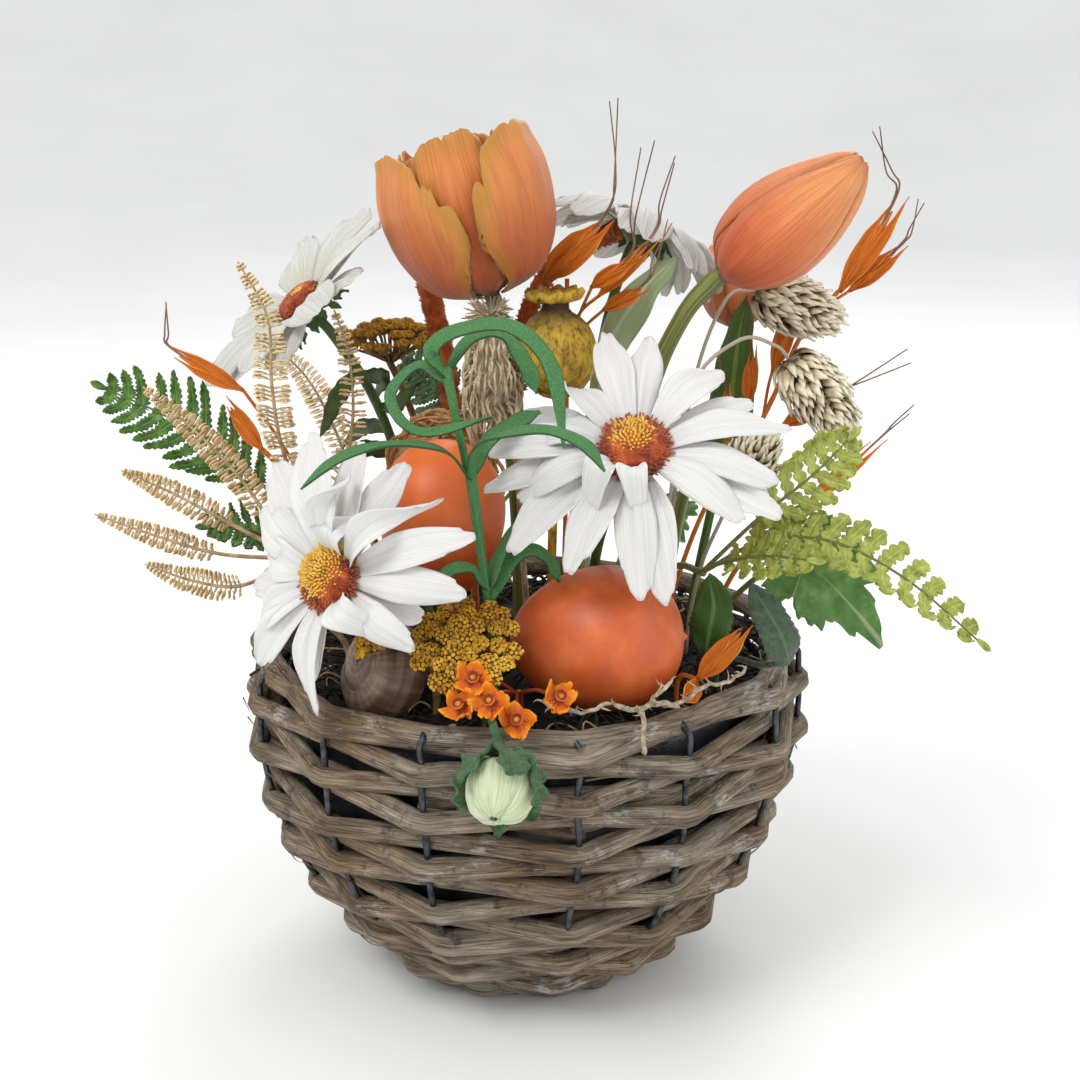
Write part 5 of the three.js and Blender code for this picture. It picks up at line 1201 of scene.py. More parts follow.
# Each row: entry, route, midrib, facing, widths, cloth and slot.
LONG_LEAVES = {
    "leaf_tulip_dark": (
        (60, 22),
        [(63, 22, 140), (68, 21, 168)],
        [(66, 21.5, 160), (71, 21, 188), (73, 20, 212), (76, 21, 233)],
        (-0.2, -1, 0.1),
        [(0, 1.6), (0.35, 7.6), (0.6, 6.8), (0.82, 4), (1, 0.1)],
        dark_leaf,
        "leaf_green",
    ),
    "leaf_tulip_light": (
        (21, 2),
        [(21, 3, 150), (23, 8, 185)],
        [(22.6, 7, 180), (28, 8, 215), (38, 3, 235), (50, -3, 249)],
        (-0.4, -1, 0.5),
        [(0, 1.6), (0.3, 5), (0.6, 6.6), (0.85, 4), (1, 0.1)],
        pale_leaf,
        "leaf_pale",
    ),
}
for node, (entry, route, points, face, table, cloth, slot) in LONG_LEAVES.items():
    plant = Piece(f"{node}_blade")
    plant.add(stem(entry, route, 0.0016, 30))
    plant.add(leaf(on_rib(through(points, 24), widths(table), face, 0.28, 0.0009, 2), 10, 34, 0.0007))
    plant.finish([cloth], slot, node)

# %% [markdown]
# ## Eggs, nest and shell
# The eggs are hens' eggs dyed orange, smooth with a soft gloss and faint cloudy marks. One lies
# on the moss and has a small nub at its right end. The upper one stands in front of a bundle of
# tan fibre, and its top is painted a brighter orange, as painted light. A brown snail shell lies at
# the left with its whorl to the viewer.

# %% Egg dye
egg_dye = Finish(
    "egg_dye", 0.46, subsurface_weight=0.1, subsurface_scale=0.006, coat_weight=0.12, coat_roughness=0.3
)
marks = egg_dye.cloud(egg_dye.place, 55, 6, 0.62)
pores = egg_dye.cloud(egg_dye.place, 900, 2)
dyed = egg_dye.ramp(marks, (0.3, 172, 72, 28), (0.5, 202, 92, 38), (0.7, 220, 118, 58))
# Painted light: the top of the upper egg, found by its height, is painted a brighter orange.
painted_top_light = egg_dye.between(egg_dye.split(egg_dye.place, 2), 0.158, 0.192) * 0.65
gloss = egg_dye.between(marks, 0.2, 0.8) * 0.2 + 0.4
egg_dye.paint(egg_dye.blend(painted_top_light, dyed, tint(240, 116, 38)), pores, 0.0002, 0.25, gloss)

# %% Eggs
EGG_STEPS = 32
EGG_HIGH = (-27, -30, 166.5)


def egg(name, node, centre, axis, half, radius, nub):
    """nub gives the last points of the profile, at the end that the axis points to."""
    angles = [math.pi * k / EGG_STEPS for k in range(EGG_STEPS + 1)]
    profile = [(radius * math.sin(t) / (1 + 0.13 * math.cos(t)), -half * math.cos(t)) for t in angles]
    if nub:
        profile[-1:] = [(r, half + z) for r, z in nub]
    piece = Piece(name)
    piece.add(turned(profile, 64), at=stood(mm(*centre), axis))
    piece.finish([egg_dye.material], "egg_orange", node)


seam_nub = [(1.9, -0.1), (1.0, 0.6), (0.5, 1.2), (0, 1.4)]
egg("egg_low", "egg_front", (23, -52, 133.5), (0.97, -0.2, 0.1), 28, 23.4, seam_nub)
egg("egg_high", "egg_upper", EGG_HIGH, (0.05, -0.05, 1), 27, 20.5, [])

# %% [markdown]
# The nest fibre is a bundle of coarse strands behind the upper egg. They run over each other in
# loops, and some stray over its top and side. A point that falls inside the egg is moved out to
# its surface, so no strand cuts through it.

# %% Nest fibre
STRANDS = 150
EGG_ROOM = (21.6, 21.6, 28.4)


def clear_of_egg(point):
    """Moves a point, in millimetres, to the outside of the upper egg."""
    offset = point - Vector(EGG_HIGH)
    share = math.sqrt(sum((part / room) ** 2 for part, room in zip(offset, EGG_ROOM)))
    return Vector(EGG_HIGH) + offset / share if share < 1 else point


def nest_wall(angle, share):
    """A point on the ball-shaped bundle, by its angle round it and its share of the radius."""
    depth = -7 + 4.8 * math.sin(3 * angle) + 9 * (1 - share)
    return Vector((-28 + 19.5 * share * math.cos(angle), depth, 170 + 30 * share * math.sin(angle)))


nest = Piece("nest_fibre")
dice = random.Random(12)
for k in range(STRANDS):
    start, spread = dice.uniform(0, math.tau), dice.uniform(0.8, 2.4)
    share = dice.uniform(0.35, 1.0)
    points = []
    for j in range(6):
        stray = Vector([dice.uniform(-2.4, 2.4) for axis in range(3)])
        point = nest_wall(start + spread * j / 5, share) + stray
        point.y = max(point.y, -19)
        points.append(clear_of_egg(point) / 1000)
    nest.add(stalk(smooth(points, 18), dice.uniform(0.35, 0.75) / 1000, 5, seed=k))
core = turned([(0, -1), (0.5, -0.86), (0.88, -0.45), (1, 0), (0.88, 0.45), (0.5, 0.86), (0, 1)], 24)
for vert in core.verts:
    point = Vector((vert.co.x * 17500 - 28, vert.co.y * 9000 - 3, vert.co.z * 28000 + 170))
    vert.co = clear_of_egg(point) / 1000
nest.add(core)
nest.add(stem((-24, -4), [(-26, -7, 150)], 0.0022, 16, foot=FOAM_FOOT))
TAN_TONES = (0.3, 134, 90, 44), (0.5, 194, 144, 86), (0.72, 226, 188, 132)
nest_tan = cloudy("nest_tan", 0.9, (380, 5, 0.7), *TAN_TONES, depth=0.0016, sheen_weight=0.3)
nest.finish([nest_tan], "nest_tan", "fibre_nest")

# %% Snail shell
SHELL_TURNS = 3.4
SHELL_STEPS = 149
snail = Piece("snail")
axis = stood(mm(-46, -53, 124.6), (-0.72, -0.5, 0.42), 2.6)
path = []
for k in range(SHELL_STEPS + 1):
    t = k / SHELL_STEPS
    angle = math.tau * SHELL_TURNS * t
    reach = 9.2 * (1 - t) ** 1.15
    path.append(axis @ mm(reach * math.cos(angle), reach * math.sin(angle), -4.6 + 13 * t**0.8))
snail.add(stalk(path, lambda t: 0.0102 * (1 - t) ** 0.9 + 0.0007, 20, 0.92))
shell_skin = Finish("shell_brown", 0.36, coat_weight=0.2, coat_roughness=0.25)
growth = shell_skin.cloud(shell_skin.stretched(shell_skin.flow, 0.5, 0.5, 6), 1.3, 4, 0.6)
bands = shell_skin.cloud(shell_skin.stretched(shell_skin.flow, 2.2, 2.2, 0.2), 1.5, 3)
banded = bands * 0.6 + growth * 0.4
brown = shell_skin.ramp(banded, (0.32, 84, 60, 46), (0.5, 122, 96, 78), (0.7, 172, 150, 130))
shell_skin.paint(brown, growth, 0.0009)
snail.finish([shell_skin.material], "shell_brown", "snail_shell")

# %% [markdown]
# ## A poppy pod
# The dried pod is a ribbed urn with a thick, ragged crown. Its skin is mottled ochre, olive and
# brown, and the neck under the crown is plain dark brown.

# %% The pod
POD = [(0, 0), (2.4, 0.2), (5, 1.2), (8.5, 3.5), (11, 6.6), (12.6, 10), (13.2, 13.6), (13, 17)]
POD += [(12.2, 20.4), (10.6, 23.8), (8.2, 26.6), (5.6, 28.6), (4.3, 30), (4.1, 31.4), (4.4, 32.6), (0, 33)]
CROWN = [(0, 31.2), (3.6, 31.4), (6, 32), (8.8, 32.6), (9.5, 34), (8.6, 35.6), (6, 35), (3, 34.4), (0, 34.6)]
CROWN_RAYS = 9


def ribbed(co):
    """Pushes the pod out into ribs, one to each ray of the crown."""
    rib = abs(math.cos(CROWN_RAYS / 2 * math.atan2(co.y, co.x)))
    bulge = 1 + 0.045 * rib - 0.02
    dent = 0.0005 * noise.noise(co * 240)
    return Vector((co.x * bulge, co.y * bulge, co.z)) + co.normalized() * dent


def scalloped(co):
    ray = 0.5 + 0.5 * math.cos(CROWN_RAYS * math.atan2(co.y, co.x))
    torn = 1 + (0.16 * ray - 0.1 + 0.1 * noise.noise(co * 500)) * min(1, co.xy.length / 0.006)
    return Vector((co.x * torn, co.y * torn, co.z + 0.0011 * ray * co.xy.length / 0.009))


pod = Piece("poppy_pod_dry")
pod_frame = Matrix.Translation(mm(11, -12, 203.4)) @ Matrix.Rotation(-0.04, 4, "Y")
pod.add(turned(POD, 90, ribbed), at=pod_frame)
pod.add(turned(CROWN, 90, scalloped), at=pod_frame)
pod.add(stem((9, -14), [(9, -14, 150), (11, -12, 205)], 0.0016, 30, 10, FOAM_FOOT))
poppy = Finish("poppy_skin", 0.6)
height = poppy.split(poppy.place, 2)
spots = poppy.cloud(poppy.stretched(poppy.place, 1, 1, 0.5), 420, 6, 0.75)
mottle = poppy.ramp(
    spots,
    (0.34, 46, 32, 10),
    (0.42, 128, 98, 20),
    (0.52, 182, 146, 28),
    (0.7, 220, 168, 40),
)
neck = poppy.between(height, 0.226, 0.234) * poppy.between(height, 0.2362, 0.2352)
poppy.paint(poppy.blend(neck, mottle, tint(54, 34, 18)), spots, 0.0012)
pod.finish([poppy.material], "poppy_brown", "poppy_pod")

# %% [markdown]
# ## Yarrow
# A dried yarrow head is a flat umbel. Brown stalks fan out of the stem, and each ends in a
# small dome of florets. A floret is a tiny cup, and some eight hundred make one head.

# %% Yarrow heads
FLORETS = 24
SPIRAL = 2.4
FLORET = [(0, -0.9), (0.4, -0.5), (0.62, 0.5), (0.86, 1), (0.5, 1.15), (0.2, 0.75), (0, 1)]
# Each ring of domes: its radius as a share, and their count.
UMBEL = [(0.36, 6), (0.7, 11), (0.98, 15)]
# Each row: centre, facing, radius, entry and route of the stem.
YARROW = {
    "yarrow_front_right": ((-18, -77, 141), (-0.1, -0.62, 0.78), 15, (-14, -62), [(-16, -71, 135)]),
    "yarrow_front_left": (
        (-45, -67.5, 144.5), (-0.75, -0.15, 0.65), 11, (-28, -60), [(-30, -62, 130), (-38.5, -65.5, 139)],
    ),
    "yarrow_back": (
        (-48, 28, 219), (-0.05, -0.05, 1), 15, (-24, 26), [(-26, 27, 150), (-42, 28, 195), (-48, 28, 209)],
    ),
}
gold = Finish("yarrow_gold", 0.88)
speck = gold.cloud(gold.place, 420, 3)
patch = gold.cloud(gold.place, 70, 3)
golds = gold.ramp(
    speck * 0.6 + patch * 0.4,
    (0.3, 118, 78, 22),
    (0.43, 176, 124, 30),
    (0.55, 214, 164, 40),
    (0.7, 240, 204, 92),
)
gold.paint(golds, speck, 0.0008)
brown_stalk = cloudy("yarrow_stalk", 0.85, (200,), (0.3, 88, 66, 34), (0.7, 150, 118, 66))
for node, (centre, facing, radius, entry, route) in YARROW.items():
    spot = flower_frame(mm(*centre), facing)
    head = Piece(f"{node}_umbel")
    dice = random.Random(len(node))
    florets = []
    domes = [(0, 0)]
    for ring, count in UMBEL:
        for k in range(count):
            domes.append((ring * radius, math.tau * (k + dice.uniform(-0.25, 0.25)) / count))
    for reach, turn in domes:
        level = 2.4 - 4.6 * (reach / radius) ** 2 + dice.uniform(-0.9, 0.9)
        middle = Vector((reach * math.cos(turn), reach * math.sin(turn), level))
        wide = radius * dice.uniform(0.13, 0.19)
        bend = Vector((middle.x * 0.55, middle.y * 0.55, -6.4))
        ray = smooth([Vector((0, 0, -11)), bend, middle - UP * 1.2], 7)
        head.add(stalk([spot @ (p / 1000) for p in ray], 0.00042, 5), 1)
        cup = turned([(0, -2.4), (wide * 0.5, -1.6), (wide * 0.95, -0.1), (wide * 0.8, 0.6), (0, 1)], 8)
        head.add(cup, 1, spot @ Matrix.Translation(middle / 1000))
        for k in range(FLORETS):
            share = math.sqrt((k + 0.4) / FLORETS)
            angle = k * SPIRAL + turn
            out = Vector((math.cos(angle) * share, math.sin(angle) * share, 1.05 - 0.75 * share))
            out.normalize()
            base = middle + Vector((out.x * wide, out.y * wide, 0.3 + 1.3 * (1 - share)))
            size = Matrix.Scale(dice.uniform(0.6, 0.95), 4)
            florets.append(spot @ stood(base / 1000, out, angle) @ size)
    head.copies(turned(FLORET, 6), florets)
    top = Vector(centre) - 10.4 * Vector(facing).normalized()
    head.add(stem(entry, route + [top], 0.0013), 1)
    head.finish([gold.material, brown_stalk], "yarrow_gold", node)

# %% [markdown]
# ## Small orange blossoms
# Five dyed flowers stand on thin stalks over the rim. Each has five rounded petals round a
# darker, pinched centre.

# %% Blossoms
blossom = Finish("blossom_orange", 0.6, subsurface_weight=0.2, subsurface_scale=0.003)
along = blossom.split(blossom.flow, 1)
shade = blossom.cloud(blossom.place, 500, 4)
bright = blossom.ramp(
    along + (shade - 0.5) * 0.5, (0.1, 120, 40, 4), (0.45, 218, 100, 6), (0.85, 242, 146, 18)
)
blossom.paint(bright, shade, 0.0006)
BLOSSOMS = [(-19, -95, 128), (-10, -97, 130), (-15, -91, 135), (-2, -97, 124), (11, -91, 129)]
FORK = (-2, -78, 125)


def side_stalk(start, end, count):
    """A thin stalk between two points in metres, which bows up a little."""
    return stalk(smooth([start, (start + end) / 2 + UP * 0.002, end], count), 0.0006, 6)


spray = Piece("blossom_spray")
dice = random.Random(8)
for k, place in enumerate(BLOSSOMS):
    facing = Vector((0.12 * (k - 2) + dice.uniform(-0.2, 0.2), -0.8, 0.6 + dice.uniform(-0.25, 0.25)))
    spot = flower_frame(mm(*place), facing) @ Matrix.Rotation(dice.random(), 4, "Z")
    for j in range(5):
        lift = dice.uniform(1.2, 2.4)
        reach = 5.5 * dice.uniform(0.86, 1.1)
        shape = petal_shape(math.tau * j / 5, reach, 2.9, -lift, -lift, dice, 0.7, -0.2, 0.5, 0.16)
        spray.add(leaf(shape, 8, 8, 0.0004), at=spot)
    angles = [math.tau * i / 10 for i in range(11)]
    ring = [Vector((1.5 * math.cos(a), 1.5 * math.sin(a), 1.2)) / 1000 for a in angles]
    spray.add(stalk(ring, 0.0005, 6), at=spot)
    spray.add(turned([(0, -2.6), (0.9, -2), (1.3, 0), (0.8, 0.9), (0, 0.6)], 10), at=spot)
    tail = mm(*place) - facing.normalized() * 0.0022
    spray.add(side_stalk(mm(*FORK), tail, 12))
spray.add(stem((-1, -72), [FORK], 0.0009, 14, 6))
spray.finish([blossom.material], "blossom_orange", "blossoms_orange")

# %% [markdown]
# ## A rosebud over the rim
# The cream bud hangs over the front of the basket. Its petals are wrapped round each other, with
# pale green veins, and felt-green sepals with ragged edges fold back round it.

# %% Bud petals
BUD_AT = mm(-7, -113, 109)
BUD_FACES = Vector((-0.12, -0.84, -0.5)).normalized()
bud_frame = stood(BUD_AT - BUD_FACES * 0.0085, BUD_FACES)
cream = cloudy(
    "rosebud_cream",
    0.5,
    (3, 4),
    (0.25, 166, 186, 128),
    (0.5, 198, 208, 168),
    (0.75, 222, 226, 200),
    stretch=(6, 0.6, 1),
    depth=0.0005,
    subsurface_weight=0.25,
    subsurface_scale=0.004,
    subsurface_radius=EVEN_SPREAD,
)
BUD_OUTLINE = [(0.3, 0), (0.84, 0.2), (1, 0.46), (0.86, 0.76), (0.5, 0.94), (0.03, 1)]
# Each wrapped petal: turn in radians, layer, low and top share and half spread.
WRAPS = [
    (0.5, -4.6, 0.1, 0.98, 1.7),
    (2.9, -3.4, 0.06, 1.0, 1.6),
    (5.2, -2.2, 0.04, 1.02, 1.5),
    (1.6, -1.1, 0.02, 1.02, 1.4),
    (3.7, -0.4, 0.0, 1.0, 1.3),
    (5.9, 0.2, 0.0, 0.96, 1.2),
]
bud_curve = outline_curve(BUD_OUTLINE, 10, 18.5)
rosebud = Piece("rosebud_wrapped")
for k, row in enumerate(WRAPS):
    shape = cup_petal(bud_curve, *row, 0.5, 0.9, k)
    rosebud.add(leaf(shape, 20, 20, 0.0006, 3.0 * k), at=bud_frame)
rosebud.finish([cream], "rosebud_cream", "rosebud_petals")

# %% Ragged sepals
SEPAL_REACHES = (19, 14, 17, 15, 18, 14)
BUD_CUP_PROFILE = [(0, -3), (2.2, -2.6), (4.6, -0.6), (5.4, 1.6), (3, 2), (0, 1.6)]
felt = cloudy(
    "felt_green", 0.92, (700, 5, 0.7), (0.3, 34, 66, 34), (0.7, 86, 122, 76), depth=0.0012, sheen_weight=0.12
)


def torn_sepal_width(k):
    swell = lambda t: math.sin(math.pi * min(1, 0.14 + 0.84 * t)) ** 0.8
    return lambda t: 0.0052 * swell(t) * (1 + 0.2 * math.sin(19 * t + k))


sepals = Piece("rosebud_sepal_leaves")
for k, reach in enumerate(SEPAL_REACHES):
    turn = math.tau * (k + 0.15) / 6 + 0.2 * math.sin(5 * k)
    ray = Vector((math.cos(turn), math.sin(turn), 0))
    points = [(3, -1.4), (8.8, 2), (11.3, 7 + reach * 0.1), (12.4 + 0.8 * (k % 3), reach * 0.86)]
    rib = smooth([bud_frame @ ((ray * r + UP * z) / 1000) for r, z in points], 16)
    outward = (bud_frame.to_3x3() @ ray).normalized()
    blade = on_rib(rib, torn_sepal_width(k), outward, -0.25, 0.0012, 3, seed=k)
    sepals.add(leaf(blade, 10, 20, 0.0009, k))
sepals.add(turned(BUD_CUP_PROFILE, 20), at=bud_frame)
bud_neck = BUD_AT * 1000 - BUD_FACES * 10.6
sepals.add(stem((-12, -70), [(-10, -86, 122), (-9, -98, 123.5), bud_neck], 0.0013, 30))
sepals.finish([felt], "calyx_green", "rosebud_sepals")

# %% [markdown]
# ## A pick of green ribbon leaves
# The pick is made of glittered foam ribbon about 5 mm wide, with darker edges. The strips arch
# out of three nodes on a flat stem, and each end is cut to a point. Two of them meet at the top
# in a heart.

# %% Ribbon strips
# Each strip: midrib, facing and half width.
RIBBONS = [
    (
        [(-23, -66, 221), (-27, -68, 229), (-20, -70, 235), (-4, -72, 237), (8, -76, 226), (12, -82, 203)],
        (0.2, -0.75, 1),
        2.9,
    ),
    ([(-23, -65, 221), (-16, -60, 231), (-6, -56, 231), (1, -56, 222), (4, -57, 214)], (-0.3, -0.3, 1), 3),
    (
        [(-23, -66, 219), (-31, -64, 224), (-40, -62, 214), (-31, -70, 205), (-8, -77, 211)],
        (0, -0.62, 0.8),
        1.9,
    ),
    (
        [(-16, -68, 190), (-24, -73, 200), (-38, -82, 204), (-52, -90, 202), (-63, -98, 194.5)],
        (0, -0.22, 1),
        2.4,
    ),
    (
        [(-16, -68, 190), (-13, -78, 202), (-4, -90, 209), (8, -96, 211), (18, -98, 207), (23, -99.5, 200)],
        (0, -0.42, 1),
        2.5,
    ),
    ([(-16, -67, 190), (-11, -62, 200), (-3, -58, 205), (5, -56, 208)], (-0.4, -0.6, 0.6), 3),
    ([(-11, -62, 153), (-16, -66, 161), (-22, -70, 162), (-27, -72, 157)], (0.1, -0.6, 1), 2.4),
    ([(-11, -62, 152), (-8, -60, 162), (-3, -57, 170), (4, -55, 176)], (-0.7, -0.6, 0.3), 3),
    ([(-10, -62, 150), (-5, -58, 160), (2, -55, 164), (8, -54, 160), (11, -54, 153)], (0.2, -0.5, 0.8), 2.6),
]
# Each sheath of the flat stem: foot, top, and its thin and broad end.
SHEATHS = [
    ((-9, -54, 128), (-11, -62, 154), 0.0015, 0.0022),
    ((-11, -62, 147), (-16, -68, 193), 0.001, 0.0019),
    ((-16, -68, 187), (-23, -66, 224), 0.0007, 0.0017),
]
PICK_ROUTE = [(-10, -56, 135), (-11, -62, 150), (-16, -68, 190), (-23, -66, 223)]


def ribbon_width(half):
    """A strip starts narrow and is cut to a point."""
    return lambda t: 0.9 * half / 1000 * min(1, 0.4 + 4 * t) * min(1, 6 * (1.0 - t) + 0.06)


pick = Piece("ribbon_pick")
for k, (points, face, half) in enumerate(RIBBONS):
    blade = on_rib(through(points, 44), ribbon_width(half), face, 0.06, 0.0002, 3, seed=k)
    pick.add(leaf(blade, 8, 60, 0.0007, 3.0 * k))
for low, high, thin, broad in SHEATHS:
    path = smooth([mm(*low), (mm(*low) + mm(*high)) / 2, mm(*high)], 20)
    pick.add(stalk(path, lambda t: thin + (broad - thin) * t**0.8, 14, 0.6))
pick.add(stem((-9, -52), PICK_ROUTE, 0.0008, 60))
glitter = Finish("ribbon_green", 0.6)
across = glitter.split(glitter.flow, 0)
sparkle = glitter.grains(glitter.place, 3200)
grain = glitter.cloud(glitter.place, 2600, 3)
body = glitter.ramp(grain, (0.3, 50, 96, 50), (0.55, 72, 124, 70), (0.75, 104, 154, 96))
dark_edge = glitter.between(across * across, 0.86, 1.0)
toned = glitter.blend(dark_edge * 0.7, body, tint(24, 60, 36))
glint = glitter.between(sparkle, 0.15, 0.35) * 0.35 + 0.45
glitter.paint(toned, sparkle, 0.0003, 0.5, glint)
pick.finish([glitter.material], "ribbon_green", "ribbon_leaf_pick")

# %% [markdown]
# ## Fuzzy spikes and seed heads
# Two dyed rust spikes stand behind the open tulip. Each is a stem covered in short bristles.
# Under the open tulip hangs a shaggy straw-coloured head: a crown of hairs over curled strands.
# Three heads of canary grass at the right are ovals of papery, pointed scales.

# %% Rust spikes
BRISTLES = 2400
BRISTLE_WIDTH = 0.0003
BRISTLE_LENGTH = 0.0016


def bristle():
    """A bent hair, one unit long, which is scaled to its size at each place."""
    return stalk([Vector((0, 0, 0)), Vector((0.6, 0, 0.6)), Vector((0, 0, 1))], lambda t: 1 - 0.6 * t, 3)


def bristles(path, radius, dice):
    """Places for short hairs that stand out all round a curve."""
    frames = stations(path)
    places = []
    for k in range(BRISTLES):
        spot = station_at(frames, (k + 0.5) / BRISTLES)
        lean = math.pi / 2 - dice.uniform(0.35, 0.8)
        turn = Matrix.Rotation(k * SPIRAL, 4, "Z") @ Matrix.Rotation(lean, 4, "Y")
        long = BRISTLE_LENGTH * dice.uniform(0.7, 1.3)
        size = Matrix.Diagonal((BRISTLE_WIDTH, BRISTLE_WIDTH, long, 1))
        places.append(spot @ turn @ Matrix.Translation((0, 0, radius * 0.7)) @ size)
    return places


def spike_girth(radius):
    """A core that swells towards its middle and has fine rings."""
    return lambda t: radius * 0.95 * (0.75 + 0.3 * math.sin(2.6 * t)) * (1 + 0.08 * math.sin(60 * t))


RUST_TONES = (0.3, 116, 46, 10), (0.52, 182, 86, 26), (0.74, 224, 134, 60)
rust_dye = cloudy("rust_dye", 0.9, (150, 5, 0.65), *RUST_TONES, sheen_weight=0.2)
# Each row: the spike's curve, its radius, and the entry and route of its stem.
SPIKES = {
    "spike_rust_left": (
        [(-25, 17, 182), (-27, 18, 205), (-32, 21, 230), (-37, 23, 248)],
        3.9,
        (-18, 16),
        [(-20, 16, 150)],
    ),
    "spike_rust_right": (
        [(-3, 15, 200), (-1, 15, 222), (7, 16, 240), (18, 13, 250), (29, 5, 256)],
        3.2,
        (0, 17),
        [(-2, 16, 150)],
    ),
}
for node, (points, radius, entry, route) in SPIKES.items():
    spike = Piece(f"{node}_fuzz")
    path = through(points, 40)
    spike.add(stalk(path, spike_girth(radius / 1000), 10))
    spike.copies(bristle(), bristles(path, radius / 1000, random.Random(5)))
    spike.add(stem(entry, route + [points[0]], 0.0014))
    spike.finish([rust_dye], "rust_red", node)

# %% The shaggy head
CROWN_HAIRS = 130
SIDE_STRANDS = 210
SHAGGY_CORE = [(0, -19), (3.4, -15), (5, -8), (5.4, 0), (5, 10), (3.6, 16), (0, 19.5)]
STRAW_TONES = (0.28, 122, 102, 74), (0.5, 184, 164, 132), (0.74, 224, 211, 180)
straw = cloudy("straw", 0.88, (240, 4, 0.6), *STRAW_TONES, depth=0.0006, sheen_weight=0.2)


def crown_hair(turn, dice):
    """The points, in millimetres, of a hair that springs out of the top."""
    top = Vector((-11, -15.5, 230.5))
    out = Vector((math.cos(turn), math.sin(turn), dice.uniform(-0.2, 1.5))).normalized()
    long = dice.uniform(6, 10)
    return [top, top + out * long * 0.6, top + out * long - UP * dice.uniform(0, 1.6)]


def side_strand(turn, dice):
    """The points, in millimetres, of a strand that hangs down the side and curls."""
    level = dice.uniform(198, 229)
    wide = 6.4 * math.sqrt(max(0.16, 1 - ((level - 213) / 20) ** 2))
    foot = Vector((-10.5 + wide * math.cos(turn), -16 + wide * math.sin(turn), level))
    out = Vector((math.cos(turn), math.sin(turn), 0))
    side = Vector((-out.y, out.x, 0))
    drop = dice.uniform(5, 12)
    curl = dice.uniform(-2.5, 2.5)
    knee = foot + out * 3.4 - UP * drop * 0.4 + side * curl
    low = foot + out * 2.8 - UP * drop + side * curl * 0.3
    return [foot, knee, low, low - out * 0.8 - UP * 1.2 - side * curl * 0.5]


# A vector of noise follows the clock unless it is given a seed.
NOISE_SEED = 6
noise.seed_set(NOISE_SEED)
shaggy = Piece("shaggy_head")
dice = random.Random(6)
core = turned(SHAGGY_CORE, 16, lambda co: co + 0.0008 * noise.noise_vector(co * 300))
shaggy.add(core, at=Matrix.Translation(mm(-10.5, -16, 213)))
for k in range(CROWN_HAIRS + SIDE_STRANDS):
    kind = crown_hair if k < CROWN_HAIRS else side_strand
    path = smooth([point / 1000 for point in kind(k * SPIRAL, dice)], 8)
    shaggy.add(stalk(path, lambda t: 0.00046 * (1.15 - t * 0.7), 4, 0.7, seed=k))
shaggy.add(stem((1, -8), [(-1, -9, 150), (-3, -12, 184), (-9.5, -16, 198)], 0.0011, 30))
shaggy.finish([straw], "straw", "seed_head_shaggy")

# %% [markdown]
# A scale is painted dark at its foot, as shade where the scales overlap, and pale at its tip. The
# stem has the same finish, but its flow starts at a number that no scale has, so the finish can
# give the stem one plain colour.

# %% Canary grass
SCALES = 210
STEM_MARK = 90
papery = Finish("papery_scales", 0.8)
scale_rise = papery.split(papery.flow, 1)
fibres = papery.cloud(papery.place, 340, 4, 0.6)
on_stem = papery.between(papery.split(papery.flow, 2), 50, 60)
# Painted shade: the foot of each scale, where the scales overlap, is painted dark brown.
scale_tone_and_shade = papery.ramp(
    scale_rise + (fibres - 0.5) * 0.9, (0.1, 84, 64, 42), (0.42, 184, 164, 130), (0.75, 236, 228, 204)
)
papery.paint(papery.blend(on_stem, scale_tone_and_shade, tint(176, 166, 146)), fibres, 0.0006)
# Each row: foot, tip and radius of the head, and the entry and route of its stem.
CANARY = {
    "canary_grass_upper": (
        (78, 11, 236),
        (110, 13.4, 223.5),
        8.2,
        (46, 12),
        [(50, 12, 150), (58, 12, 205), (68, 11, 233), (78, 11, 236)],
    ),
    "canary_grass_middle": (
        (87.5, -5, 216),
        (111, -7, 189),
        8.8,
        (46, -8),
        [(48, -9, 160), (55, -6, 205), (71, -6, 222), (83, -5.5, 220), (88, -5, 215)],
    ),
    "canary_grass_lower": (
        (68, -12, 167),
        (82, -15, 195),
        8.2,
        (56, -8),
        [(60, -9, 145), (68, -12, 167)],
    ),
}


def paper_scale():
    """A pointed, keeled scale, one unit long up the Z axis, with its back to +X."""

    def place(u, v):
        wide = 0.22 * math.sin(math.pi * (0.2 + 0.8 * v) ** 0.8) ** 1.4
        return Vector((0.16 * math.sin(math.pi * v) + 0.14 * (1 - abs(u)) * (1 - 0.5 * v), u * wide, v))

    return leaf(place, 4, 6, 0.05)


